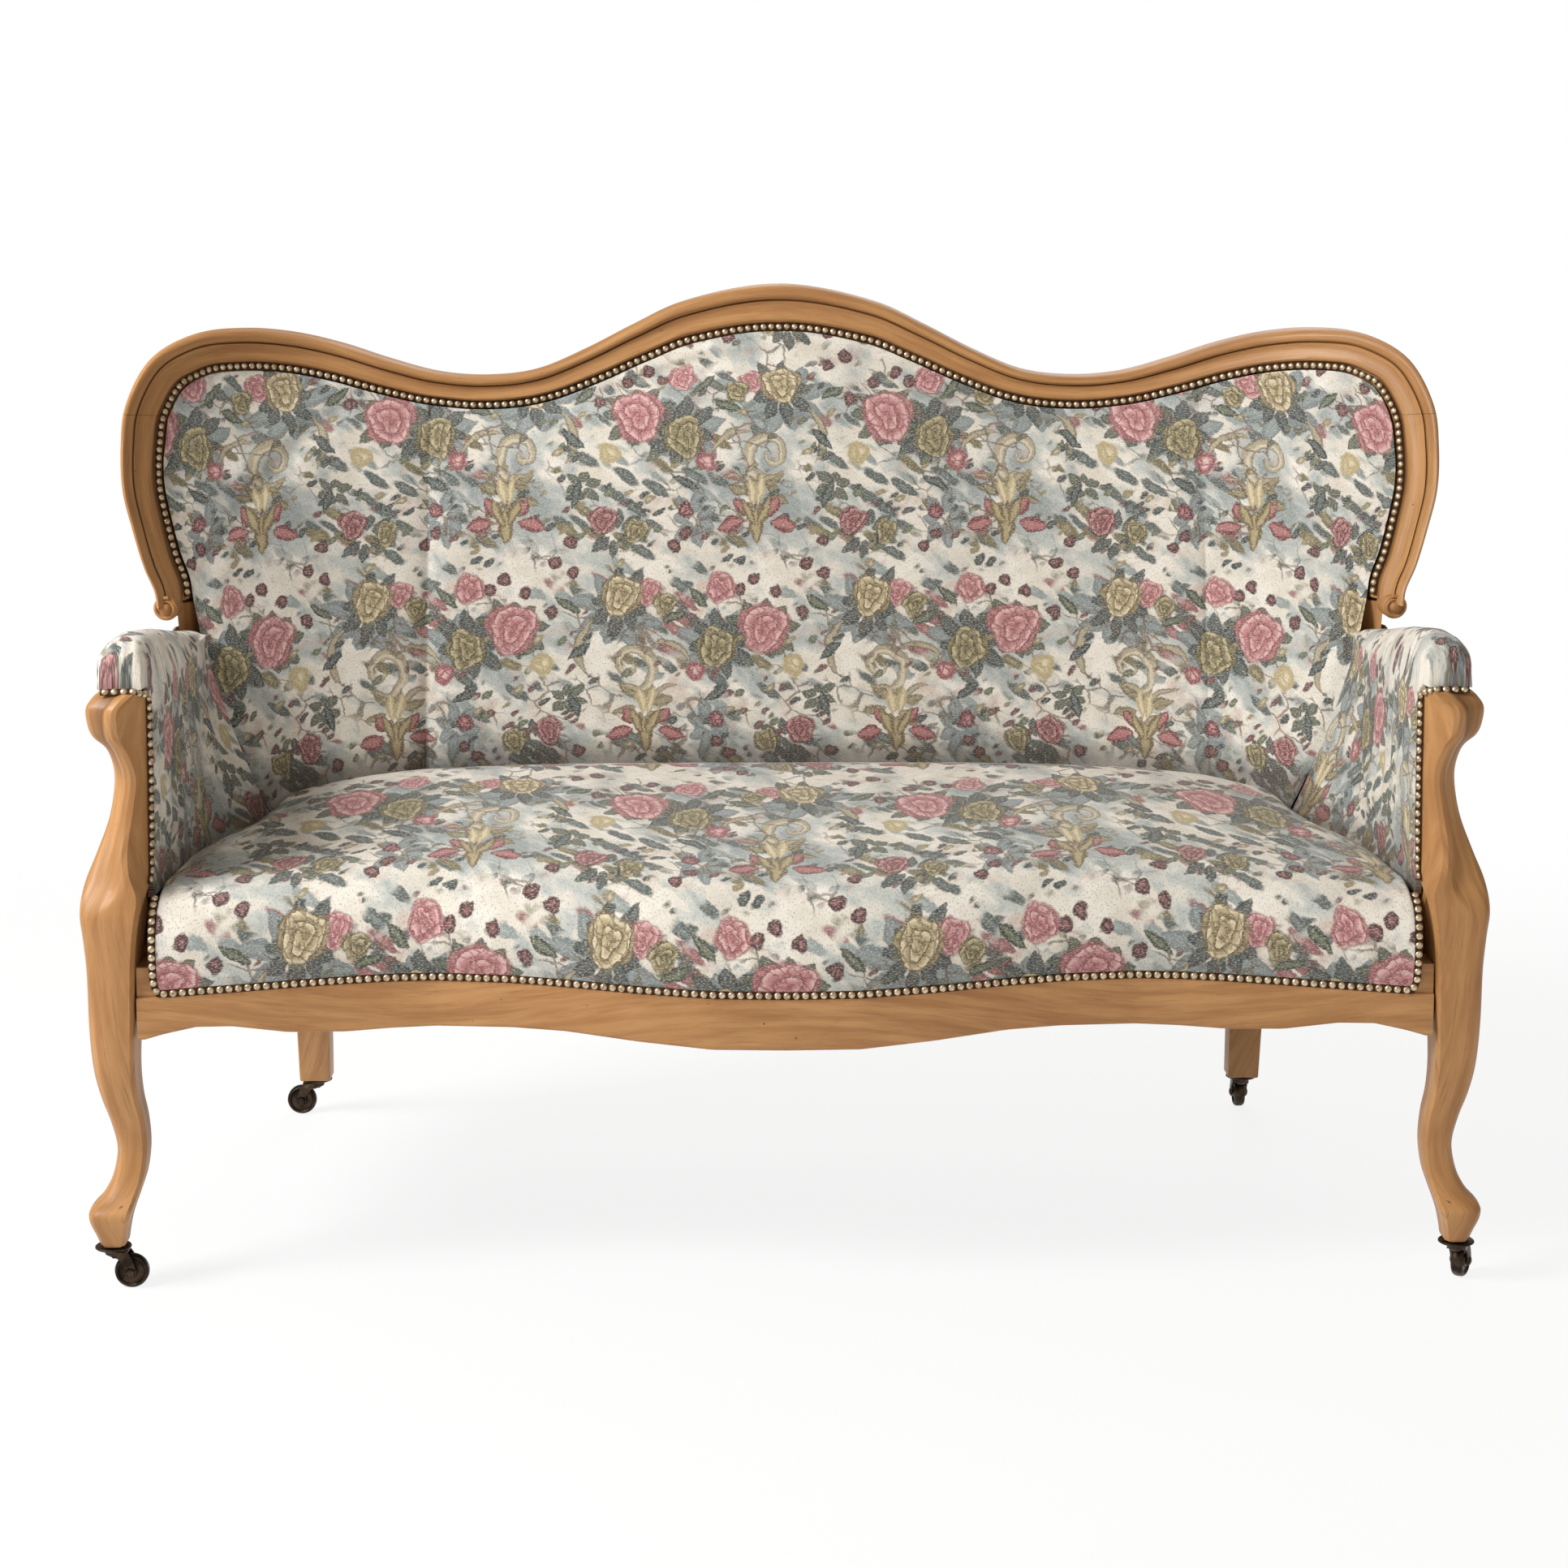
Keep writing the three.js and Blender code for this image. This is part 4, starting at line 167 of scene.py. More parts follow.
# Height of the leg, then its outer and inner side, front and rear as shares of the blank, then its arris
LEG_SHARES = (
    (0, 0.86, 0.49, 0.79, 0.33, 0.14), (0.023, 0.92, 0.46, 0.85, 0.33, 0.14),
    (0.048, 0.99, 0.42, 0.92, 0.29, 0.14), (0.065, 1, 0.38, 0.94, 0.24, 0.14),
    (0.092, 0.82, 0.31, 0.73, 0.15, 0.14), (0.132, 0.68, 0.22, 0.58, 0.08, 0.14),
    (0.173, 0.64, 0.19, 0.53, 0.04, 0.14), (0.221, 0.72, 0.21, 0.56, 0.05, 0.14),
    (0.269, 0.83, 0.27, 0.65, 0.08, 0.14), (0.326, 0.91, 0.29, 0.74, 0.08, 0.14),
    (0.406, 0.94, 0.26, 0.82, 0.05, 0.14), (0.503, 0.94, 0.23, 0.87, 0, 0.14),
    (0.568, 0.97, 0.18, 0.92, 0, 0.14), (0.608, 1, 0.13, 0.94, 0, 0.14),
    (0.656, 0.95, 0.06, 0.86, 0, 0.22), (0.713, 0.78, 0.03, 0.71, 0, 0.29),
    (0.785, 0.59, 0.01, 0.55, 0, 0.23), (0.844, 0.53, 0.01, 0.51, 0, 0.17),
    (0.894, 0.6, 0, 0.6, 0, 0.26), (0.931, 0.82, 0, 0.76, 0, 0.36), (0.966, 0.86, 0, 0.81, 0, 0.36),
    (0.987, 0.79, 0.01, 0.76, 0, 0.26), (1, 0.68, 0.04, 0.64, 0.05, 0.14),
)
LEG_RINGS_BETWEEN = 4
LEG_POINTS = 11
LEG_CREASES = {0: 0.6, 1: 0.9, 2: 1, 3: 1, 4: 0.7, 5: 0.8, 6: 0.8, 9: 0.4, 10: 0.4}
# Painted shade in the groove between each post's arris band and its knob: how dark at each ring point, and
# the shares of the leg's height over which it comes in
LEG_GROOVE_SHADE = {5: 0.15, 6: 0.75, 7: 0.3}
LEG_GROOVE_SHADE_FROM = (0.78, 0.9)
LEG_SMOOTH_ANGLE = 22
FLAT_FACE_SHARES = (0.6, 0.68)
ARRIS_WIDTH = 0.012
GROOVE_DEPTH = 0.007
NAIL_EDGE = 0.01
POST_REBATE = 0.011
EDGE_ROUND = 0.008
SOFT_EDGE = 0.0025
EDGE_ANGLE = 40

# Upholstery
SEAT_FRONT_RISE_SHARES = ((0, 0), (-0.07, 0.3), (-0.06, 0.62), (0.04, 0.84), (0.22, 0.96), (0.6, 1.05))
SEAT_EDGE_RISE = 0.104
SEAT_RISE_SHARES = ((0, 0), (0.56, 0.33), (0.67, 0.9), (0.8, 1.05))
SEAT_BACK_HEIGHT = 0.481
SEAT_ARM_HEIGHT = 0.449
SEAT_CROWN = 0.011
SEAT_HALF = 0.688
SEAT_CREASE = 0.004
CREASE_SHADE = 0.75
CREASE_REACH = 0.045
SEAT_SPREAD_SHARE = 0.55
SEAT_ROW_POWER = 0.8
SEAT_FRONT_ROWS_SHARE = 0.22
SEAT_FILL_DEPTH = 0.02
SPRING_CAVITY_TOP = 0.405
CAVITY_HALF_WIDTH = 0.54
CAVITY_FRONT = 0.05
CAVITY_BACK = 0.44
CAVITY_EDGE = 0.02
PUFF = 0.038
PUFF_RUN = 0.07
SEAM_LEFT = 0.452
SEAM_RIGHT = 0.541
SEAM_COLUMN_SHARES = (0.22, 0.8)
SEAM_DRAW = 0.006
SEAM_SPREAD = 0.02
SEAM_GROOVE = 0.0035
SEAM_GROOVE_SPREAD = 0.004
SEAM_DARK = 0.5
PAD_BOTTOM = 0.45
PAD_REAR = 0.006
PAD_ROW_POWER = 1.5
GIMP_WIDTH = 0.008
GIMP_THICKNESS = 0.0016
GIMP_GAP = 0.0012
COVER_INSET = 0.011
ARM_FRONT_HALF = 0.694
ARM_SEAT_HALF = 0.697
ARM_TOP = 0.704
ROLL_LOW = 0.64
ARM_PAD_BOTTOM = 0.436
POST_COVER_LOW = 0.6709
WING_SWEEP_SHARE = 0.566
ROLL_SHARES = ((0.03, 0.62), (0.16, 0.9), (0.42, 1), (0.72, 0.95), (0.93, 0.7), (1, 0.34), (0.98, 0))
ARM_TOP_DEPTH_SHARES = (-0.016, 0.047, 0.13, 0.3, 0.55, 0.7)
ARM_TOP_SHARES = (1.008, 1.028, 1.028, 1.01, 0.975, 0.958)
ARM_COVER_FRONT = -0.01
ARM_WALL_ROWS_SHARE = 0.5
ARM_FRONT_SHARE = 0.06
ROLL_FRONT = 0.003
ROLL_REAR = LEG_REAR + 0.006
POST_COVER_DEPTHS = (LEG_REAR + 0.004, LEG_REAR)
ARM_WIDENS_DEPTHS = (LEG_REAR + 0.01, ARM_COVER_FRONT)
POST_OUTER = LEG_INNER + LEG_BLANK * LEG_SHARES[-1][1]
ARM_LINING = 0.007
PLEAT_DEPTH = 0.0016
COVER_THICKNESS = 0.002
SHEET_GAP = 0.0022
CUT_SHARE = 0.88
BACK_COVER_BASE = 0.33
ARM_COVER_TOP_SHARES = (0.345, 0.375)
ROLL_GAP = 0.001
SIDE_RAIL_FROM = 0.006
ARM_WAIST = 0.02
WAIST_HEIGHTS = (0.432, 0.53)
WAIST_TO_SHARE = 0.1
OUTSIDE_ACROSS_SHARE = 0.3
BOTTOM_ON_RAIL = 0.018
BOTTOM_SAG = 0.006
BACK_LEG_TOP = (0.6, 0.552)
BACK_LEG_HALF = 0.023
STUFFING = {
    "quality": 4, "mass": 0.4, "tension_stiffness": 25, "compression_stiffness": 25, "shear_stiffness": 10,
    "bending_stiffness": 2, "use_pressure": True, "uniform_pressure_force": 4,
}
STUFFING_FRAMES = 20
BACK_SWELL = 0.008
SEAT_SWELL = 0.009
SEAT_HELD_ABOVE_NAILS = 0.012
SEAT_HELD_AT_REAR = 0.006
SEAT_HELD_AT_SIDE = 0.004
ARM_HELD_AT_WING = 0.012
ARM_HELD_ABOVE_ROLL = 0.01
ARM_FREE_WITHIN = 0.72
ARM_SWELL = 0.004
RIM_CREASE = 0.85
RIM_ANGLE = 50
ARM_TUCK_SHARE = 0.965
ARM_TUCK = 0.008
PULL_DEPTH = 0.0016
PULL_PITCH = 0.034
PULL_LEAN = 9
PLEATS = 26

# Braid and dress nails
BRAID_SHARES = (
    (0, 0), (0, 0.7), (0.14, 1), (0.36, 0.8), (0.5, 0.95), (0.64, 0.8), (0.86, 1), (1, 0.7), (1, 0),
)
POST_BRAID_FROM = 0.65
POST_BRAID_TOP_FROM = (0.004, -0.0165, 0.0015)
POST_BRAID_TOP_TO = (EDGE_ROUND * -0.6, -0.0175, 0.0012)
POST_BRAID_LEVEL = (0, -0.69, -0.72)
POST_BRAID_FACING = (0, -0.72, 0.69)
NAIL_RADIUS = 0.0041
NAIL_PITCH = 0.0101
NAIL_HEIGHT_SHARE = 0.62

# Castors
PLATE_RADIUS = 0.02
PLATE_THICKNESS = 0.003
PIN_RADIUS = 0.004
HUB_RADIUS = 0.0095
HUB_HEIGHT = 0.007
HUB_PLAY = 0.0002
HUB_EDGE = 0.001
TRAIL = 0.02
WHEEL_RADIUS = 0.019
WHEEL_WIDTH = 0.014
CHEEK_THICKNESS = 0.0026
CHEEK_GAP = 0.001
CHEEK_WIDTH = 0.012
CHEEK_LINE = (
    (0.001, 0.0425), (0.008, 0.041), (0.015, 0.034), (0.019, 0.026), (TRAIL, WHEEL_RADIUS - 0.004),
)
CHEEK_HALF_WIDTHS = (0.0068, 0.0052)
CHEEK_EDGE = 0.0006
BRIDGE_THICKNESS = 0.0036
BRIDGE_LENGTH = 0.014
BRIDGE_MIDDLE = 0.0105
BRIDGE_EDGE = 0.0012
AXLE_RADIUS = 0.0026
AXLE_HEAD_RADIUS = 0.0042
AXLE_HEAD = 0.0014
BACK_LEG_FOOT = (0.612, 0.65)
FRONT_LEG_FOOT = (0.748, -0.018)
CASTOR_BODIES = {"socket": "sofa", "horn": "{}_horn", "axle": "{}_horn", "wheel": "{}_wheel"}
CASTORS = (
    ("front_left", -1, FRONT_LEG_FOOT, 0), ("front_right", 1, FRONT_LEG_FOOT, 60),
    ("back_left", -1, BACK_LEG_FOOT, 180), ("back_right", 1, BACK_LEG_FOOT, 90),
)

# Pattern of the cloth: one repeat across and one row up, and where a row of it starts on the back
REPEAT = 0.322
ROW = 0.271
BACK_PATTERN_ORIGIN = (-0.182, 0.93)
# How the pattern lies up the seat, by the length of cloth from the nails, and across it
SEAT_LAY_UP = (0, 0.05, 0.14, 0.2, 0.34, 0.5, 0.8)
SEAT_LAY_V = (-0.045, 0, 0.07, 0.115, 0.2, 0.29, 0.44)
SEAT_PATTERN_STRETCH = 1.05
SEAT_PATTERN_X = -0.147 - 0.183 * SEAT_PATTERN_STRETCH
SEAT_PATTERN_V = -0.228
# Where it starts on the arms, and how much of it goes over their rolls
ARM_PATTERN_ORIGIN = (0.1, 0.6)
ARM_ROLL_CLOTH = 0.13

# Stage, light and camera
CAMERA_PLACE = (-0.045, -3.38273 - MIDDLE_DEPTH, 1.2)
CAMERA_DOWN = 8.36
CAMERA_RIGHT = 0.718
CAMERA_LENS = 72.05
CAMERA_SHIFT = -0.0802
FLOOR_SIZE = 30
FLOOR_COLOUR = (0.95, 0.95, 0.95, 1)
FLOOR_WHITE = 0.86
FLOOR_FADE = (1.2, 2.6)
ROOM_TINT = (1.0, 0.92, 0.82, 1)
ROOM_LIGHT = 0.33
LIT_PLACE = (0, 0, 0.55)
LAMPS = (
    ("window", (-3.1, -1.6, 3.1), 1.5, 190), ("fill", (1.6, -3.6, 1.6), 2.4, 12),
    ("back_light", (0.5, 2.6, 2.6), 2.0, 30),
)


# Shares and lines
def mix(a, b, share):
    return a + (b - a) * share


def within(low, high, value):
    """How far a value is on the way from low to high, held between 0 and 1."""
    return np.clip((value - low) / (high - low), 0, 1)


def ease(low, high, value):
    share = within(low, high, value)
    return share * share * (3 - 2 * share)


def step_at(share, count):
    """Which of a count of steps a share stands on."""
    return np.rint(share * count).astype(int)


def stacked(*columns):
    """Columns side by side, where a single number fills its whole column."""
    return np.stack(np.broadcast_arrays(*columns), -1)


def unit(vectors):
    return vectors / np.linalg.norm(vectors, axis=-1, keepdims=True)


def read_shares(shares, position):
    return np.interp(position, np.linspace(0, 1, len(shares)), shares)


def spline(points, between=40):
    """Places on a smooth line through the points, as many between each pair."""
    knots = np.array(points, float)
    knots = np.vstack([2 * knots[0] - knots[1], knots, 2 * knots[-1] - knots[-2]])
    share = np.linspace(0, 1, between, endpoint=False)[:, None]
    run = []
    for before, start, end, after in zip(knots, knots[1:], knots[2:], knots[3:]):
        first, middle, last = [
            math.sqrt(np.linalg.norm(b - a)) for a, b in ((before, start), (start, end), (end, after))
        ]
        leave = (start - before) / first - (end - before) / (first + middle) + (end - start) / middle
        reach = (end - start) / middle - (after - start) / (middle + last) + (after - end) / last
        leave, reach = leave * middle, reach * middle
        bend = 3 * (end - start) - 2 * leave - reach
        twist = 2 * (start - end) + leave + reach
        run.append(start + leave * share + bend * share**2 + twist * share**3)
    run.append(knots[-2][None])
    return np.vstack(run)


def lengths(run):
    """How far along a run of places each of them is."""
    steps = np.linalg.norm(np.diff(run, axis=0), axis=1)
    return np.concatenate([[0], np.cumsum(steps)])


def read_run(wanted, reached, run):
    return stacked(*[np.interp(wanted, reached, column) for column in run.T])


def along(run, positions):
    """Places at shares of a run's length."""
    reached = lengths(run)
    return read_run(np.asarray(positions, float) * reached[-1], reached, run)


def by_knots(run, positions):
    """Places at shares of a run's knots."""
    return read_run(positions, np.linspace(0, 1, len(run)), run)


# The surface that the back lies on
def half_width_at(z):
    share = (BACK_HEIGHT - z) / (BACK_HEIGHT - SEAT_HEIGHT)
    return WING_TOP_HALF - (WING_TOP_HALF - WING_SEAT_HALF) * share**2


def plane_y(x, z):
    reach = np.abs(x) * WING_TOP_HALF / (half_width_at(z) * BACK_HALF_WIDTH)
    return BACK_DEPTH + RAKE_SHARE * (z - SEAT_HEIGHT) - WING_REACH * reach**WING_POWER


def plane_length(x, z):
    """Length of cloth from the middle of the back out to x, along the back's surface."""
    shares = np.linspace(0, 1, 24)
    places = np.abs(x)[:, None] * shares
    depths = plane_y(places, z[:, None])
    steps = np.hypot(np.diff(places, axis=1), np.diff(depths, axis=1))
    return np.sign(x) * steps.sum(1)


def crest_knots():
    half = [(x * BACK_HALF_WIDTH, mix(VOLUTE_HEIGHT, BACK_HEIGHT, z)) for x, z in CREST_SHARES]
    return [(-x, z) for x, z in reversed(half[1:])] + half


CREST = spline(crest_knots())
CREST_LENGTH = lengths(CREST)[-1]


def rail_point(position, across, depth, beyond=0.0):
    """A place on the moulded rail. across runs from its inner edge outwards, beyond goes past that."""
    position = np.asarray(position, float)
    point = along(CREST, position)
    ahead = along(CREST, np.minimum(position + CREST_STEP, 1))
    behind = along(CREST, np.maximum(position - CREST_STEP, 0))
    tangent = unit(ahead - behind)
    width = FACE_WIDTH * read_shares(FACE_WIDTH_SHARES, np.abs(2 * position - 1))
    inward = width * (1 - across) + beyond
    x = point[..., 0] + tangent[..., 1] * inward
    z = point[..., 1] - tangent[..., 0] * inward
    return stacked(x, plane_y(x, z) + depth, z)


EDGE_LINE = rail_point(np.linspace(0.5, 1, 401), 0, 0, COVER_INSET)
WIDEST = int(np.argmax(EDGE_LINE[:, 0]))
UPPER_RUN = EDGE_LINE[: WIDEST + 1]
SIDE_RUN = EDGE_LINE[WIDEST:][::-1]


def edge_height(x):
    return np.interp(np.abs(x), UPPER_RUN[:, 0], UPPER_RUN[:, 2])


def edge_half_width(z):
    low, high = SIDE_RUN[0], SIDE_RUN[-1]
    inside = np.interp(z, SIDE_RUN[:, 2], SIDE_RUN[:, 0])
    above = high[0] * half_width_at(z) / half_width_at(high[2])
    below = low[0] * half_width_at(z) / half_width_at(low[2])
    return np.where(z > high[2], above, np.where(z < low[2], below, inside))


def pad_front(x, z, puff=PUFF):
    """Front of the back's upholstery: full in the middle, drawn in at the seams and down to the nails."""
    x, z = np.broadcast_arrays(np.asarray(x, float), np.asarray(z, float))
    seam = np.where(x < 0, SEAM_LEFT, SEAM_RIGHT)
    draw = SEAM_DRAW * np.exp(-(((np.abs(x) - seam) / SEAM_SPREAD) ** 2))
    flat = stacked(np.abs(x).ravel(), z.ravel())
    edge = EDGE_LINE[::2][:, [0, 2]]
    distance = np.sqrt(((flat[:, None] - edge[None]) ** 2).sum(-1)).min(1).reshape(x.shape)
    return plane_y(x, z) - (puff - draw) * (1 - np.exp(-distance / PUFF_RUN))


# The front seat rail
def on_rail(shares, x):
    return np.interp(np.abs(x) / FRONT_RAIL_HALF, RAIL_SHARES, shares)


def rail_face(x):
    corner = FRONT_RAIL_FACE - FRONT_RAIL_BOW * RAIL_BOW_SHARES[-1]
    return -corner - FRONT_RAIL_BOW * on_rail(RAIL_BOW_SHARES, x)


def rail_nails(x):
    return NAIL_LINE + RAIL_NAIL_RISE * on_rail(RAIL_NAIL_SHARES, x)


def rail_bottom(x):
    return RAIL_UNDERSIDE - RAIL_DROP * on_rail(RAIL_DROP_SHARES, x)


# Making pieces
def alone(piece):
    bpy.ops.object.select_all(action="DESELECT")
    piece.select_set(True)
    bpy.context.view_layer.objects.active = piece


def places_of(mesh):
    places = np.empty(len(mesh.vertices) * 3)
    mesh.vertices.foreach_get("co", places)
    return places.reshape(-1, 3)


def put_places(mesh, places):
    mesh.vertices.foreach_set("co", np.ascontiguousarray(places, float).ravel())
    mesh.update()


def put_lay(mesh, lay):
    """How the grain or the cloth lies: along, across, and how dark it is painted at each point, mostly
    painted shade in creases and grooves.
    """
    attribute = mesh.attributes.new("lay", "FLOAT_VECTOR", "POINT")
    attribute.data.foreach_set("vector", np.ascontiguousarray(lay, float).ravel())


def laid_grid(name, rows, columns, place):
    """A grid primitive laid on a surface. place turns shares across and up it into places and their lay."""
    bpy.ops.object.select_all(action="DESELECT")
    bpy.ops.mesh.primitive_grid_add(x_subdivisions=columns, y_subdivisions=rows, size=1)
    piece = bpy.context.object
    piece.name = name
    flat = places_of(piece.data)
    places, lay = place(flat[:, 0] + 0.5, flat[:, 1] + 0.5)
    put_places(piece.data, places - np.array([0, MIDDLE_DEPTH, 0]))
    put_lay(piece.data, lay)
    return piece


def edit(piece, *steps):
    """Run edit-mode operators on the whole of a piece."""
    alone(piece)
    bpy.ops.object.mode_set(mode="EDIT")
    bpy.ops.mesh.select_mode(type="VERT")
    for operator, settings in steps:
        operator(**settings)
    bpy.ops.object.mode_set(mode="OBJECT")
    return piece


SELECT_ALL = (bpy.ops.mesh.select_all, {"action": "SELECT"})
MERGE = (bpy.ops.mesh.remove_doubles, {"threshold": 2e-6})
SELECT_RIM = (bpy.ops.mesh.select_non_manifold, {
    "extend": False, "use_wire": False, "use_multi_face": False,
    "use_non_contiguous": False, "use_verts": False,
})
FILL_HOLES = (bpy.ops.mesh.fill_holes, {"sides": 0})
FACE_OUTWARD = (bpy.ops.mesh.normals_make_consistent, {"inside": False})
BRIDGE = (bpy.ops.mesh.bridge_edge_loops, {})


def tube(name, rings, columns, place):
    """A closed body: a grid rolled up across, merged along its seam, and closed at both ends."""
    piece = laid_grid(name, rings, columns, place)
    return edit(piece, SELECT_ALL, MERGE, SELECT_ALL, FILL_HOLES, SELECT_ALL, FACE_OUTWARD)


def join(name, *pieces):
    alone(pieces[0])
    for piece in pieces:
        piece.select_set(True)
    bpy.ops.object.join()
    pieces[0].name = name
    return pieces[0]


def copy_of(piece, name):
    """A copy of a piece, with a mesh of its own."""
    copy = piece.copy()
    copy.data = piece.data.copy()
    copy.name = name
    bpy.context.scene.collection.objects.link(copy)
    return copy


def body_between(name, rows, columns, front, rear):
    """A closed body between two laid grids, bridged round their rims."""
    piece = join(name, laid_grid(name, rows, columns, front), laid_grid(name, rows, columns, rear))
    return edit(piece, SELECT_RIM, BRIDGE, SELECT_ALL, FACE_OUTWARD)


def apply_modifier(piece, kind, **settings):
    alone(piece)
    modifier = piece.modifiers.new(kind.lower(), kind)
    for name, value in settings.items():
        setattr(modifier, name, value)
    bpy.ops.object.modifier_apply(modifier=modifier.name)
    return piece


def hold_rims(piece):
    """Crease a pad's sharp rims, so that its subdivision doesn't draw them in."""
    body = bmesh.new()
    body.from_mesh(piece.data)
    creases = body.edges.layers.float.new("crease_edge")
    for edge in body.edges:
        if edge.is_manifold and edge.calc_face_angle() > math.radians(RIM_ANGLE):
            edge[creases] = RIM_CREASE
    body.to_mesh(piece.data)
    body.free()
    return piece


def subdivide(piece, levels=1):
    return apply_modifier(piece, "SUBSURF", levels=levels, render_levels=levels)


def smooth(piece, angle=None):
    alone(piece)
    if angle is None:
        bpy.ops.object.shade_smooth()
    else:
        bpy.ops.object.shade_smooth_by_angle(angle=math.radians(angle))
    return piece


def stand(piece, finish, nodes, body="sofa"):
    """Finish a piece, and let it ride in place of its nodes."""
    piece.data.materials.clear()
    piece.data.materials.append(finish)
    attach(piece, body)
    if nodes:
        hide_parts(*nodes)
    return piece


def stuff(piece, held, swell):
    """Swell a pad by cloth simulation, with its held points pinned and no point moved past swell."""
    rest = places_of(piece.data)
    group = piece.vertex_groups.new(name="held")
    group.add(np.flatnonzero(held).tolist(), 1.0, "REPLACE")
    alone(piece)
    modifier = piece.modifiers.new("stuffing", "CLOTH")
    for setting, value in STUFFING.items():
        setattr(modifier.settings, setting, value)
    modifier.settings.vertex_group_mass = group.name
    modifier.settings.effector_weights.gravity = 0
    modifier.point_cache.frame_end = STUFFING_FRAMES
    for step in range(1, STUFFING_FRAMES + 1):
        bpy.context.scene.frame_set(step)
    bpy.ops.object.modifier_apply(modifier=modifier.name)
    moved = places_of(piece.data) - rest
    reach = np.linalg.norm(moved, axis=1, keepdims=True)
    put_places(piece.data, rest + moved * np.minimum(1, swell / np.maximum(reach, 1e-9)))
    piece.vertex_groups.clear()
    bpy.context.scene.frame_set(1)
    return piece


# Finishes
def srgb(red, green, blue):
    """A colour as it is seen, 0 to 255, for a shader."""
    shares = [value / 255 for value in (red, green, blue)]
    linear = [share / 12.92 if share <= 0.04045 else ((share + 0.055) / 1.055) ** 2.4 for share in shares]
    return (*linear, 1)


def palette(*colours):
    return tuple(srgb(*colour) for colour in colours)


class Value:
    """A number in a shader, which Python arithmetic turns into Math nodes."""

    def __init__(self, finish, socket):
        self.finish = finish
        self.socket = socket

    def do(self, operation, *others):
        inputs = dict(enumerate((self, *others)))
        return self.finish.value("ShaderNodeMath", {"operation": operation}, inputs)

    def __add__(self, other):
        return self.do("ADD", other)

    def __sub__(self, other):
        return self.do("SUBTRACT", other)

    def __mul__(self, other):
        return self.do("MULTIPLY", other)

    def __truediv__(self, other):
        return self.do("DIVIDE", other)

    def __rsub__(self, other):
        return self.finish.value("ShaderNodeMath", {"operation": "SUBTRACT"}, {0: other, 1: self})

    def __abs__(self):
        return self.do("ABSOLUTE")

    __radd__ = __add__
    __rmul__ = __mul__


class Finish:
    """A material, or the world round it, with the nodes that its pattern needs."""

    def __init__(self, name, world=None):
        self.material = world or bpy.data.materials.new(name)
        self.material.use_nodes = True
        self.tree = self.material.node_tree
        self.tree.nodes.clear()

    def node(self, kind, settings, inputs):
        node = self.tree.nodes.new(kind)
        for name, value in settings.items():
            setattr(node, name, value)
        for key, value in inputs.items():
            if isinstance(value, Value):
                self.tree.links.new(value.socket, node.inputs[key])
            else:
                node.inputs[key].default_value = value
        return node

    def value(self, kind, settings, inputs, output=0):
        return Value(self, self.node(kind, settings, inputs).outputs[output])

    def blend(self, share, low, high):
        return self.value("ShaderNodeMix", {"data_type": "RGBA"}, {0: share, 6: low, 7: high}, 2)

    def wash(self, paint, value, low, high, colour, *amounts):
        """One colour over another, from where a value is at low to where it is at high."""
        mask = self.ramp(value, low, high)
        for amount in amounts:
            mask = mask * amount
        return self.blend(mask, paint, colour)

    def ramp(self, value, low, high):
        """0 below low and 1 above high, or the other way round where low is the larger."""
        settings = {"interpolation_type": "SMOOTHSTEP"}
        inputs = {"Value": value, "From Min": low, "From Max": high}
        return self.value("ShaderNodeMapRange", settings, inputs)

    def lay(self):
        vector = self.value("ShaderNodeAttribute", {"attribute_name": "lay"}, {}, 1)
        return [self.value("ShaderNodeSeparateXYZ", {}, {0: vector}, axis) for axis in range(3)]

    def object_place(self):
        vector = self.value("ShaderNodeTexCoord", {}, {}, 3)
        return [self.value("ShaderNodeSeparateXYZ", {}, {0: vector}, axis) for axis in range(3)]

    def vector(self, x, y, z):
        return self.value("ShaderNodeCombineXYZ", {}, {0: x, 1: y, 2: z})

    def noise(self, vector, scale, detail=2, roughness=0.5, output=0):
        inputs = {"Vector": vector, "Scale": scale, "Detail": detail, "Roughness": roughness}
        return self.value("ShaderNodeTexNoise", {}, inputs, output)

    def bump(self, height, strength, distance):
        inputs = {"Strength": strength, "Distance": distance, "Height": height}
        return self.value("ShaderNodeBump", {}, inputs)

    def surface(self, colour, roughness, **sockets):
        names = {name.replace("_", " "): value for name, value in sockets.items()}
        inputs = {"Base Color": colour, "Roughness": roughness, **names}
        shader = self.value("ShaderNodeBsdfPrincipled", {}, inputs)
        self.node("ShaderNodeOutputMaterial", {}, {0: shader})
        return self.material


OAK_TONES = palette((192, 143, 91), (166, 117, 70), (131, 87, 47), (80, 50, 26))
BEECH_TONES = palette((216, 190, 150), (196, 166, 124), (170, 138, 96), (110, 84, 56))


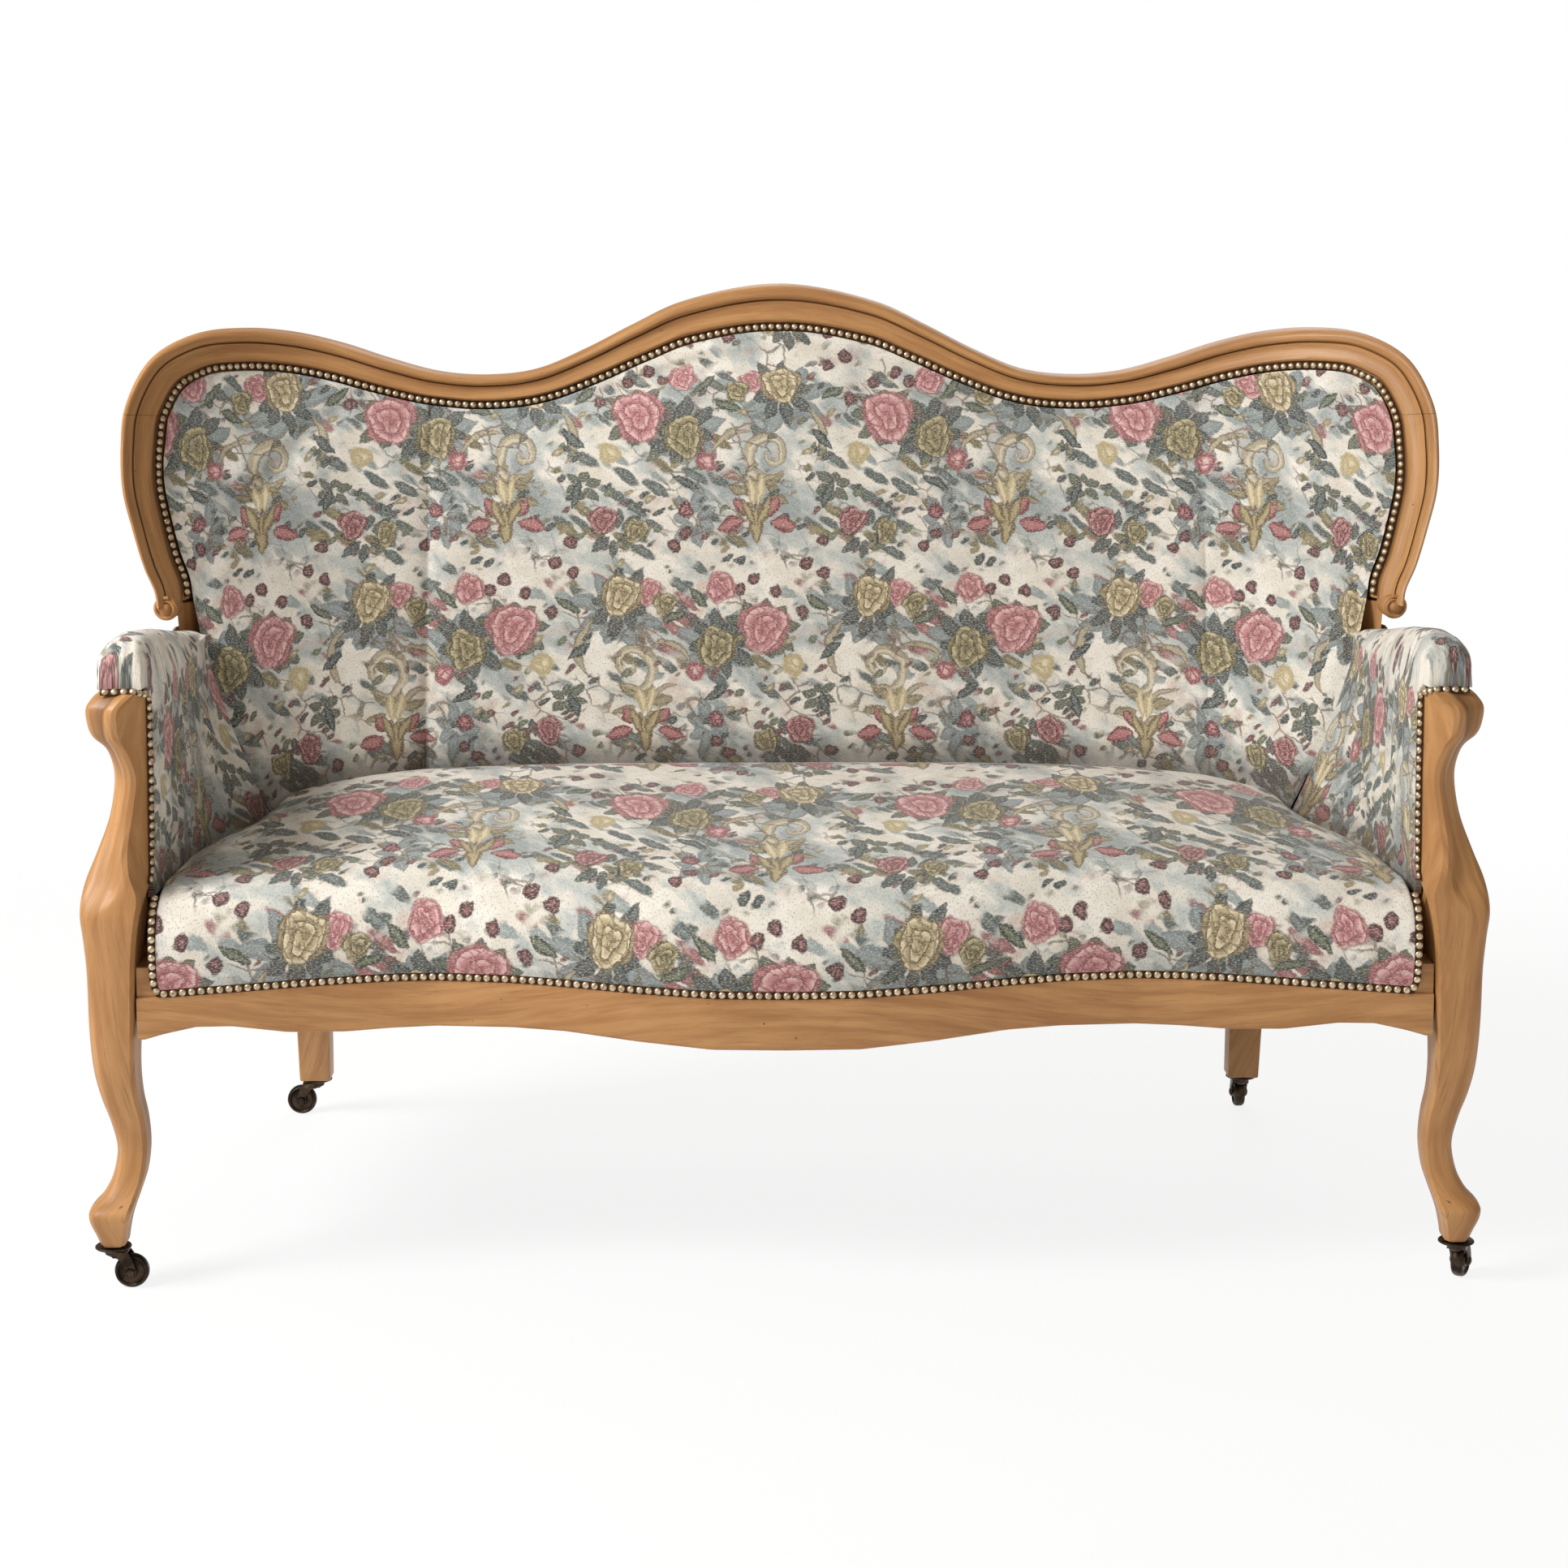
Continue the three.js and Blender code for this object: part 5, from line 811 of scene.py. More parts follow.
def oak(name, place, tones=OAK_TONES):
    """Pale, waxed show-wood. Its grain runs along its first place, and its third place darkens it: painted
    shade in the grooves of the moulding and the posts, and a slightly darker tone on the volute's ridge and
    the rail's rear.
    """
    wood = Finish(name)
    light, middle, dark, deep = tones
    length, across, shade = place(wood)
    grain = wood.noise(wood.vector(length * 5, across * 55, shade * 0 + 2), 1.6, 5, 0.6)
    rings = wood.noise(wood.vector(length * 14, across * 260, 1), 1.5, 3, 0.6)
    patches = wood.noise(wood.vector(length, across, 0), 7, 3, 0.5)
    pores = wood.noise(wood.vector(length * 60, across * 900, 3), 1, 2, 0.6)
    colour = wood.wash(light, grain, 0.32, 0.68, middle)
    colour = wood.wash(colour, rings, 0.5, 0.78, dark, 0.45)
    colour = wood.wash(colour, patches, 0.45, 0.75, middle, 0.35)
    colour = wood.wash(colour, pores, 0.62, 0.75, dark, 0.4)
    flat = wood.vector(length, across, 0)
    holes = wood.value("ShaderNodeTexVoronoi", {}, {"Vector": flat, "Scale": 34})
    worm = wood.ramp(holes, 0.05, 0.03)
    colour = wood.blend(worm * 0.8, colour, deep)
    # Painted shade: the third place darkens the wood in its grooves and recesses.
    colour = wood.wash(colour, shade, 0.05, 1, deep, 0.75)
    height = rings * 0.35 + pores * 0.5 - worm
    roughness = wood.ramp(patches, 0.3, 0.8) * 0.14 + 0.42
    normal = wood.bump(height, 0.25, 0.0006)
    return wood.surface(colour, roughness, Normal=normal, Specular_IOR_Level=0.4)


def lay_place(finish):
    return finish.lay()


def grain_along(axis):
    """Object coordinates with the grain along one axis."""
    def place(finish):
        x, y, z = finish.object_place()
        order = {"x": (x, y + z * 0.7), "y": (y, x + z * 0.7), "z": (z, x + y * 0.7)}[axis]
        return (*order, x * 0)
    return place


class Sprig:
    """Motifs of the cloth, each painted over the ones before. Every other row is turned over and set half a
    repeat aside."""

    def __init__(self, cloth, across, up):
        self.cloth = cloth
        self.across, self.up = across, up
        self.bands = [self.band(across, up, middle) for middle in (0, ROW / 2)]
        folds = cloth.value("ShaderNodeTexVoronoi", {"feature": "DISTANCE_TO_EDGE"}, {
            "Vector": self.ring(0.3), "Scale": 88,
        })
        self.folds = cloth.ramp(folds, 0.13, 0.02)
        self.paint = self.ground()

    def band(self, across, up, middle):
        row = ((up - middle) / ROW + 0.5).do("FLOOR")
        odd = (row / 2).do("FRACT") * 2
        turned = across * (1 - odd * 2) + odd * (REPEAT / 2)
        return turned, up - row * ROW

    def ring(self, shear=0.0, stretch=1.0):
        """Places that come round again after each repeat across, sheared and stretched up the cloth."""
        turn = (self.across + self.up * shear) * (math.tau / REPEAT)
        girth = REPEAT / math.tau
        return self.cloth.vector(turn.do("COSINE") * girth, turn.do("SINE") * girth, self.up * stretch)

    def ground(self):
        """Cream under clouds of grey and blue, with a faint blush."""
        cloth = self.cloth
        shade = cloth.noise(self.ring(), 30, 2)
        paint = cloth.wash(srgb(224, 216, 202), shade, 0.3, 0.7, srgb(240, 235, 225))
        cloud = cloth.noise(self.ring(0.4), 15, 3, 0.62)
        paint = cloth.wash(paint, cloud, 0.45, 0.58, srgb(186, 193, 190), 0.9)
        paint = cloth.wash(paint, cloud, 0.55, 0.68, srgb(146, 156, 157), 0.85)
        blush = cloth.noise(self.ring(-0.5), 24, 2, 0.6)
        return cloth.wash(paint, blush, 0.56, 0.7, srgb(196, 170, 158), 0.55)

    def local(self, x, y):
        """Places from a motif's middle, the nearest repeat of it."""
        centre = (y + ROW / 4) % ROW - ROW / 4
        across, up = self.bands[0 if centre < ROW / 4 else 1]
        return (across - x).do("WRAP", REPEAT / 2, -REPEAT / 2), up - centre

    def polar(self, x, y):
        return (x * x + y * y).do("SQRT"), y.do("ARCTAN2", x)

    def lay_on(self, value, low, high, colour, *amounts):
        self.paint = self.cloth.wash(self.paint, value, low, high, colour, *amounts)

    def scatter(self, shear, stretch, scale, size, kinds):
        """Small leaves and blossoms strewn in clusters, each kind by its share of chance."""
        cloth = self.cloth
        place = {"Vector": self.ring(shear, stretch), "Scale": scale}
        cells = cloth.node("ShaderNodeTexVoronoi", {}, place)
        distance, colour = [Value(cloth, cells.outputs[output]) for output in (0, 1)]
        chance = cloth.value("ShaderNodeSeparateXYZ", {}, {0: colour}, 0)
        clusters = cloth.ramp(cloth.noise(self.ring(-shear), 16, 1), 0.4, 0.5)
        heart = cloth.ramp(distance, size * 0.55, 0)
        low = 0
        for share, dark, pale in kinds:
            kind = chance.do("GREATER_THAN", low) * chance.do("LESS_THAN", low + share)
            self.lay_on(distance, size, size - 0.14, cloth.blend(heart, dark, pale), clusters, kind)
            low += share

    def twigs(self, shear, scale, colour):
        """Fine thread lines that wander between the motifs."""
        edge = self.cloth.value("ShaderNodeTexVoronoi", {"feature": "DISTANCE_TO_EDGE"}, {
            "Vector": self.ring(shear), "Scale": scale,
        })
        where = self.cloth.ramp(self.cloth.noise(self.ring(), scale / 2, 1), 0.5, 0.6)
        self.lay_on(edge, 0.055, 0.02, colour, where, 0.75)

    def rose(self, place, radius, tones, turn):
        """A full-blown rose: soft folded petals round a tight heart."""
        deep, middle, pale = tones
        reach, angle = self.polar(*self.local(*place))
        edge = reach / radius - (angle * 5 + turn).do("SINE") * 0.05
        edge = edge - (angle * 3 - turn).do("SINE") * 0.06
        whorl = edge * 2.3 + (angle * 2 + turn).do("SINE") * 0.3 + (angle * 5).do("SINE") * 0.08
        whorl = whorl.do("FRACT")
        petal = self.cloth.wash(deep, whorl, 0.05, 0.45, middle)
        petal = self.cloth.wash(petal, whorl, 0.45, 0.85, pale, self.cloth.ramp(edge, 0.1, 0.6))
        petal = self.cloth.blend(self.folds * 0.75, petal, deep)
        self.lay_on(edge, 1.12, 0.98, deep, 0.7)
        self.lay_on(edge, 1.0, 0.9, petal)

    def bud(self, place, radius, tones):
        deep, pale = tones
        reach, angle = self.polar(*self.local(*place))
        edge = reach / radius - (angle * 3 + radius * 900).do("SINE") * 0.07
        self.lay_on(edge, 1.1, 0.85, deep)
        self.lay_on(edge, 0.7, 0.2, pale, 1 - self.folds)

    def leaves(self, place, inner, outer, count, turn, tones, full=1.0):
        """A ring of pointed leaves, each a little longer or shorter, with their veins."""
        dark, pale = tones
        reach, angle = self.polar(*self.local(*place))
        sector = (angle * (count / math.tau) + turn).do("FRACT") - 0.5
        across = abs(sector * reach * (math.tau / count))
        tip = (angle * 2 + turn * 9).do("SINE") * 0.22 + 0.85
        share = (reach - inner) / (tip * (outer - inner))
        half = share * (1 - share) * (full * math.tau * outer / count)
        self.lay_on(across - half, 0.0012, -0.0012, dark, 0.92)
        self.lay_on(across - half * 0.5, 0.0006, -0.0016, pale, 0.5)
        self.lay_on(across, 0.0007, 0.0002, dark, self.cloth.ramp(half, 0.001, 0.002), 0.5)

    def petal(self, place, angle, length, width, tones, apart=0.0):
        """One long petal, leaf or bell, pale along its middle, or a mirrored pair that stands apart."""
        dark, pale = tones
        x, y = self.local(*place)
        if apart:
            x = abs(x) - apart
        cosine, sine = math.cos(angle), math.sin(angle)
        share = (x * cosine + y * sine) / length + 0.5
        across = abs(y * cosine - x * sine)
        half = share * (1 - share) * (2 * width)
        self.lay_on(across - half, 0.0012, -0.0008, dark)
        self.lay_on(across - half * 0.6, 0.0005, -0.0025, pale, 0.85)

    def scroll(self, place, radius, tones, turn):
        """A leafy scroll: a band that winds inwards and grows thinner, with a dark outline."""
        dark, middle, pale = tones
        reach, angle = self.polar(*self.local(*place))
        growth = (reach / radius).do("LOGARITHM", math.e) * 0.62
        wind = (growth - angle / math.tau + turn).do("FRACT") - 0.5
        inside = self.cloth.ramp(reach, radius, radius * 0.9)
        inside = inside * self.cloth.ramp(reach, radius * 0.1, radius * 0.2)
        self.lay_on(abs(wind), 0.24, 0.19, dark, inside, 0.8)
        self.lay_on(abs(wind), 0.19, 0.12, middle, inside)
        self.lay_on(abs(wind + 0.04), 0.09, 0.01, pale, inside)

    def horn(self, place, radius, span, width, tones):
        """A curved spray of the scroll, thick at one end."""
        dark, pale = tones
        reach, angle = self.polar(*self.local(*place))
        low, high = span
        share = (angle - low) / (high - low)
        half = share * (1 - share) * (4 * width)
        away = abs(reach - radius)
        self.lay_on(away - half, 0.0008, -0.0006, dark, 0.85)
        self.lay_on(away - half * 0.6, 0.0004, -0.0012, pale)


PINKS = palette((150, 88, 92), (196, 134, 138), (224, 184, 182))
ROSE_REDS = palette((108, 62, 66), (154, 96, 98), (196, 148, 144))
CREAMS = palette((116, 100, 70), (184, 168, 126), (226, 212, 180))
OLIVES = palette((92, 84, 58), (146, 134, 96), (192, 180, 142))
SLATE_LEAF = palette((60, 68, 68), (104, 114, 112))
GREEN_LEAF = palette((68, 76, 66), (118, 126, 106))
GREY_LEAF = palette((116, 128, 130), (160, 170, 170))
BELL = palette((122, 66, 70), (184, 124, 124))
OLIVE_LEAF = palette((112, 102, 72), (190, 178, 142))
SCROLL_TONES = palette((116, 104, 84), (178, 166, 138), (214, 204, 182))
PLUM = palette((88, 58, 60), (146, 100, 100))
STREWN = (
    ((0.3, srgb(92, 102, 100), srgb(132, 142, 138)), (0.16, srgb(122, 114, 84), srgb(170, 160, 126)),
     (0.12, srgb(150, 100, 102), srgb(206, 160, 158)), (0.2, srgb(150, 160, 158), srgb(186, 194, 190))),
    ((0.22, srgb(72, 80, 80), srgb(104, 112, 108)), (0.12, srgb(110, 78, 78), srgb(160, 118, 116)),
     (0.14, srgb(150, 138, 108), srgb(210, 200, 172)), (0.14, srgb(104, 110, 92), srgb(140, 146, 122))),
)

# Motifs of the cloth in the order they are painted: place of each, then its sizes, turns and tones
LEAVES = (
    ((0.055, -0.02), 0.008, 0.06, 7, 0.2, GREY_LEAF), ((0.19, 0.02), 0.01, 0.062, 8, 0.1, GREY_LEAF),
    ((0.09, -0.13), 0.006, 0.04, 7, 0.5, GREY_LEAF), ((0.055, -0.02), 0.012, 0.05, 8, 0.7, SLATE_LEAF),
    ((0.0, 0.0), 0.018, 0.048, 9, 0.1, GREEN_LEAF), ((0.183, 0.033), 0.012, 0.05, 9, 0.4, SLATE_LEAF),
    ((0.19, -0.15), 0.008, 0.038, 8, 0.3, SLATE_LEAF),
    ((0.006, -0.1), 0.01, 0.044, 6, 0.25, OLIVE_LEAF, 0.6),
    ((-0.09, -0.09), 0.004, 0.026, 6, 0.8, GREEN_LEAF),
)
HORNS = (
    ((0.19, -0.03), 0.048, (-0.7, 0.95), 0.007), ((0.13, -0.06), 0.04, (1.2, 2.9), 0.005),
    ((0.045, -0.105), 0.03, (1.3, 3.0), 0.004), ((-0.02, -0.105), 0.03, (0.2, 1.8), 0.004),
)
PETALS = (
    ((0.009, -0.138), -0.25, 0.036, 0.02, BELL, 0.034), ((0.009, -0.116), 0.9, 0.03, 0.017, BELL, 0.02),
    ((0.009, -0.14), 1.57, 0.05, 0.02, CREAMS[:2]),
    ((0.009, -0.122), 1.1, 0.04, 0.014, CREAMS[:2], 0.011),
    ((0.009, -0.095), 1.4, 0.036, 0.012, CREAMS[1:], 0.006),
)
SMALL_LEAF = (0.037, 0.013)
SMALL_LEAVES = (
    ((0.1, -0.085), 0.5, SLATE_LEAF), ((0.115, 0.012), -0.4, GREEN_LEAF),
    ((-0.07, 0.03), 0.6, GREEN_LEAF), ((-0.085, -0.03), -0.7, SLATE_LEAF),
    ((0.085, 0.04), 0.8, GREEN_LEAF), ((0.24, -0.1), 1.9, SLATE_LEAF),
)
PLUM_RADIUS = 0.0085
PLUMS = (
    (-0.016, 0.047), (0.012, 0.062), (0.03, 0.05), (-0.075, -0.16), (-0.055, -0.188), (0.245, 0.07),
    (-0.05, 0.02), (0.1, -0.15), (0.115, -0.165),
)
BUDS = (
    ((0.088, -0.056), 0.013, (PINKS[0], PINKS[2])), ((0.1, -0.12), 0.011, (ROSE_REDS[0], PINKS[1])),
    ((-0.038, -0.048), 0.015, (CREAMS[1], CREAMS[2])),
)
ROSES = (
    ((0.164, -0.146), 0.016, OLIVES, 1.0), ((0.207, -0.133), 0.018, ROSE_REDS, 0.4),
    ((0.056, 0.052), 0.019, PINKS, 2.0), ((0.147, 0.046), 0.017, PINKS, 0.7),
    ((0.127, 0.03), 0.015, OLIVES, 0.2), ((0.06, -0.026), 0.026, OLIVES, 1.6),
    ((0.183, 0.042), 0.026, CREAMS, 0.9), ((0.0, 0.0), 0.032, PINKS, 0.3),
)


def figured_cloth(name):
    """Figured weave: roses, bells, leaves and scrolls on a clouded cream ground."""
    cloth = Finish(name)
    across, up, shade = cloth.lay()
    warps = []
    for layer, scale in enumerate((34, 150, 420)):
        wobble = cloth.noise(cloth.vector(across, up, layer), scale, 1, 0.6, 1)
        warps.append([cloth.value("ShaderNodeSeparateXYZ", {}, {0: wobble}, axis) - 0.5 for axis in range(2)])
    drifts = (0.011, 0.0045, 0.0022)
    woven_across, woven_up = across, up
    for (aside, above), drift in zip(warps, drifts):
        across = across + aside * drift
        up = up + above * drift
    sprig = Sprig(cloth, across, up)
    sprig.scatter(1.1, 0.9, 40, 0.52, STREWN[0])
    for leaves in LEAVES:
        sprig.leaves(*leaves)
    sprig.scroll((0.172, -0.05), 0.038, SCROLL_TONES, 0.15)
    for horn in HORNS:
        sprig.horn(*horn, SCROLL_TONES[:2])
    sprig.scatter(-0.7, 1.1, 62, 0.46, STREWN[1])
    sprig.twigs(0.6, 34, srgb(104, 90, 76))
    for petal in PETALS:
        sprig.petal(*petal)
    for place, angle, tones in SMALL_LEAVES:
        sprig.petal(place, angle, *SMALL_LEAF, tones)
    for place in PLUMS:
        sprig.bud(place, PLUM_RADIUS, PLUM)
    for bud in BUDS:
        sprig.bud(*bud)
    for rose in ROSES:
        sprig.rose(*rose)
    thread = cloth.noise(cloth.vector(woven_across * 330, woven_up * 760, 4), 1, 1, 0.5)
    fleck = cloth.noise(cloth.vector(woven_across * 640, woven_up * 380, 7), 1, 1, 0.5)
    colour = cloth.wash(sprig.paint, thread, 0.45, 0.75, srgb(226, 219, 206), 0.5)
    colour = cloth.wash(colour, fleck, 0.52, 0.74, srgb(96, 90, 82), 0.42)
    rib = (woven_up * (math.tau / 0.0018)).do("SINE") * (woven_across * (math.tau / 0.0022)).do("SINE")
    normal = cloth.bump(rib * 0.6 + thread, 0.35, 0.0007)
    # Painted shade in the creases beside the seat, and darker stitching along the back's seams.
    colour = cloth.wash(colour, shade, 0.02, 1, srgb(70, 58, 48), 0.7)
    return cloth.surface(colour, 0.88, Normal=normal, Specular_IOR_Level=0.25, Sheen_Weight=0.15)


def woven(name, tones, pitch, place):
    """Plain or twilled webbing, braid and lining."""
    dark, middle, pale = tones
    weave = Finish(name)
    along_it, across, _ = place(weave)
    warp = (along_it * (math.tau / pitch)).do("SINE")
    weft = (across * (math.tau / pitch)).do("SINE")
    mottle = weave.noise(weave.vector(along_it, across, 0), 60, 3, 0.6)
    check = warp * weft * 0.5 + 0.5
    colour = weave.blend(check, dark, middle)
    colour = weave.wash(colour, mottle, 0.5, 0.8, pale, 0.5)
    normal = weave.bump(check, 0.5, pitch / 3)
    return weave.surface(colour, 0.9, Normal=normal, Specular_IOR_Level=0.2)


def metal(name, tones, roughness, spots=60):
    """Old metal: tarnish in patches, bright where it is rubbed."""
    dark, middle, bright = tones
    old = Finish(name)
    x, y, z = old.object_place()
    tarnish = old.noise(old.vector(x, y, z), spots, 3, 0.6)
    grit = old.noise(old.vector(x, y, z), spots * 9, 2, 0.6)
    colour = old.wash(dark, tarnish, 0.35, 0.6, middle)
    colour = old.wash(colour, tarnish, 0.6, 0.75, bright, 0.7)
    rough = old.ramp(tarnish, 0.7, 0.3) * 0.2 + roughness
    normal = old.bump(grit, 0.3, 0.0002)
    return old.surface(colour, rough, Metallic=0.9, Normal=normal)


SHOW_OAK = oak("show_oak", lay_place)
OAK_TALL = oak("oak_grain_up", grain_along("z"))
OAK_DEEP = oak("oak_grain_back", grain_along("y"))
OAK_WIDE = oak("oak_grain_across", grain_along("x"))
BEECH_WIDE = oak("beech_grain_across", grain_along("x"), BEECH_TONES)
BEECH_DEEP = oak("beech_grain_back", grain_along("y"), BEECH_TONES)
FLORAL = figured_cloth("figured_cloth")
BRAID = woven("braid", palette((48, 28, 16), (78, 48, 28), (104, 70, 44)), 0.0024, lay_place)
JUTE = woven("jute_webbing", palette((120, 92, 58), (168, 138, 96), (196, 172, 130)), 0.003, grain_along("x"))
LINING = woven("black_lining", palette((28, 27, 27), (46, 45, 44), (64, 62, 60)), 0.0016, grain_along("x"))
SPRING_STEEL = metal("spring_steel", palette((70, 68, 66), (120, 120, 122), (160, 160, 164)), 0.35)
CASTOR_BRONZE = metal("castor_bronze", palette((44, 36, 30), (74, 60, 48), (128, 108, 84)), 0.34)
NAIL_BRASS = metal("nail_brass", palette((168, 144, 112), (220, 204, 176), (244, 234, 214)), 0.34, 300)


# Moulded rail of the back
def moulding_section():
    # The third column is painted shade, darkest in the groove and at the inner edge.
    face = [(across, -rise * MOULDING_RISE, dark) for across, rise, dark in MOULDING_SHARES]
    rear = [(across, depth * FRAME_DEPTH, 0.1) for across, depth in MOULDING_REAR_SHARES]
    section = np.array(face + rear)
    return np.vstack([section, section[:1]])


def moulding(name, start, end):
    section = moulding_section()
    count = len(section) - 1
    girth = lengths(section[:, :2] * np.array([FACE_WIDTH, 1]))

    def place(across, up):
        column = step_at(across, count)
        position = mix(start, end, up)
        points = rail_point(position, section[column, 0], section[column, 1])
        return points, stacked(position * CREST_LENGTH, girth[column], section[column, 2])

    rings = max(2, round((end - start) * RAIL_RINGS))
    return smooth(tube(name, rings, count, place), 40)


def lathe(name, outline, segments=32):
    """A turned piece about the vertical through the origin: radius and height along its outline."""
    run = np.array(outline, float)
    rows = len(run) - 1

    def place(across, up):
        row = step_at(up, rows)
        angle = across * math.tau
        points = stacked(
            run[row, 0] * np.cos(angle), run[row, 0] * np.sin(angle) + MIDDLE_DEPTH, run[row, 1],
        )
        return points, stacked(angle * 0.01, run[row, 1], 0)

    piece = laid_grid(name, rows, segments, place)
    edit(piece, SELECT_ALL, MERGE, SELECT_ALL, FACE_OUTWARD)
    return smooth(piece, 40)


def placed(piece, matrix):
    piece.data.transform(matrix)
    piece.data.update()
    return piece


def volute(side):
    """The little scroll that ends the moulding: a drum, a ridge that winds in, and its eye."""
    end = rail_point(1, VOLUTE_ACROSS_SHARE, 0)
    front = -MOULDING_RISE * VOLUTE_RISE_SHARE
    centre = Vector((side * end[0], end[1] - MIDDLE_DEPTH, end[2] - VOLUTE_RADIUS / 4))
    facing = Matrix.Translation(centre) @ Matrix.Rotation(math.pi / 2, 4, "X")
    radius = VOLUTE_RADIUS
    drum_front, eye_line = [
        [(radius * out, front * rise) for out, rise in shares] for shares in (DRUM_SHARES, EYE_SHARES)
    ]
    drum = lathe("drum", drum_front + [(radius, VOLUTE_DEPTH), (0, VOLUTE_DEPTH)])
    eye = lathe("eye", eye_line)

    def ridge_place(across, up):
        angle = RIDGE_START - up * RIDGE_TURNS * math.tau
        thick = radius * mix(*RIDGE_THICK_SHARES, up)
        around = across * math.tau
        out = radius * mix(*RIDGE_COIL_SHARES, up) + thick * np.cos(around)
        rise = front + thick * RIDGE_PROUD_SHARE * np.sin(around)
        points = stacked(side * out * np.cos(angle), out * np.sin(angle) + MIDDLE_DEPTH, rise)
        return points, stacked(up * RIDGE_LENGTH, across * RIDGE_GIRTH, RIDGE_DARK)

    ridge = smooth(tube("ridge", 64, 10, ridge_place))
    pieces = [drum, eye, ridge]
    for piece in pieces:
        put_places(piece.data, places_of(piece.data) * np.array([1, 1, -1]))
        placed(piece, facing)
        edit(piece, SELECT_ALL, FACE_OUTWARD)
    return pieces


FRAME_PLAN = spline([(x * SIDE_HALF, y * BACK_RAIL_DEPTH) for x, y in FRAME_PLAN_SHARES])
REAR_FACE = FRAME_DEPTH + SHEET_GAP + COVER_THICKNESS
UPPER_PLAN_HALVES = [share * UPPER_PLAN_HALF for share in UPPER_PLAN_SHARES]
UPPER_PLAN = spline(
    [(x * ARM_HALF, y * BACK_RAIL_DEPTH) for x, y in ARM_PLAN_SHARES]
    + [(x, plane_y(x, VOLUTE_HEIGHT) + REAR_FACE) for x in UPPER_PLAN_HALVES]
)


def outside_point(position, z):
    """A place on the outside. position runs from the front post round to the middle of the back."""
    position, z = np.broadcast_arrays(np.asarray(position, float), np.asarray(z, float))
    low = by_knots(FRAME_PLAN, position)
    high = by_knots(UPPER_PLAN, position)
    rise = within(NAIL_LINE, VOLUTE_HEIGHT, z)[..., None]
    below = mix(low, high, rise)
    x = high[..., 0] * half_width_at(z) / half_width_at(VOLUTE_HEIGHT)
    above = stacked(x, plane_y(x, z) + REAR_FACE)
    plan = np.where((z <= VOLUTE_HEIGHT)[..., None], below, above)
    return np.concatenate([plan, z[..., None]], -1)


def upright(side):
    corners = ((UPRIGHT_SHARE, UPRIGHT_DEPTH), (UPRIGHT_SHARE, 0), (UPRIGHT_SHARE + UPRIGHT_SPAN_SHARE, 0),
               (UPRIGHT_SHARE + UPRIGHT_SPAN_SHARE, UPRIGHT_DEPTH))

    def place(across, up):
        column = step_at(across, 4) % 4
        z = mix(RAIL_TOP + CLEARANCE, VOLUTE_HEIGHT, up)
        share = np.array([corner[0] for corner in corners])[column]
        depth = np.array([corner[1] for corner in corners])[column]
        points = outside_point(share, z)
        points = points - stacked(UPRIGHT_INSET, UPRIGHT_INSET + depth, 0)
        points[:, 0] *= side
        return points, stacked(z, column * 0.03, 0)

    return tube("upright", 12, 4, place)


def build_back_frame():
    joint = CREST_JOINT_FROM_VOLUTE / CREST_LENGTH
    gap = JOINT_GAP / CREST_LENGTH
    stand(moulding("crest_moulding", joint, 1 - joint), SHOW_OAK, ["crest_rail"])
    for name, side in SIDES:
        span = (0, joint - gap) if side < 0 else (1 - joint + gap, 1)
        piece = join(f"side_moulding_{name}", moulding("side", *span), *volute(side), upright(side))
        stand(piece, SHOW_OAK, [f"back_side_{name}"])


# Front legs, each in one piece with its arm post
def leg_ring(shares):
    """Points round the leg at one height, as x and y."""
    height, out_share, inner_share, front_share, rear_share, arris_share = shares
    out, inner, arris = [LEG_INNER + LEG_BLANK * share for share in (out_share, inner_share, arris_share)]
    front, rear = [LEG_REAR - LEG_BLANK * share for share in (front_share, rear_share)]
    post = float(ease(*FLAT_FACE_SHARES, height))
    arris = mix(inner + EDGE_ROUND / 2, arris, post)
    leg = [
        (inner, rear), (inner, mix(front, rear, 0.3)), (inner, front + EDGE_ROUND),
        (inner + EDGE_ROUND / 2, front + EDGE_ROUND / 8), (mix(inner, out, 0.35), front),
        (mix(inner, out, 0.6), front), (mix(inner, out, 0.75), front + EDGE_ROUND / 8),
        (out - EDGE_ROUND, front + EDGE_ROUND / 4), (out, front + 1.5 * EDGE_ROUND), (out, rear - EDGE_ROUND),
        (out - EDGE_ROUND, rear),
    ]
    outer_side = min(arris + 1.4 * ARRIS_WIDTH, out - EDGE_ROUND)
    head = [
        (inner + POST_REBATE, rear), (inner + POST_REBATE, NAIL_EDGE + 2 * CLEARANCE), (inner, NAIL_EDGE),
        (arris, front - EDGE_ROUND / 8), (arris + ARRIS_WIDTH / 2, front - EDGE_ROUND / 4),
        (arris + ARRIS_WIDTH, front), (outer_side, front + GROOVE_DEPTH),
        (out - EDGE_ROUND / 2, front + 1.5 * EDGE_ROUND), (out, front + 2.5 * EDGE_ROUND),
        (out, rear - EDGE_ROUND), (out - EDGE_ROUND, rear),
    ]
    return mix(np.array(leg), np.array(head), post)


LEG_ROWS = spline(LEG_SHARES, LEG_RINGS_BETWEEN)
LEG_RINGS = np.array([leg_ring(shares) for shares in LEG_ROWS])
LEG_HEIGHTS = mix(CASTOR_HEIGHT + CLEARANCE, POST_HEIGHT, LEG_ROWS[:, 0])


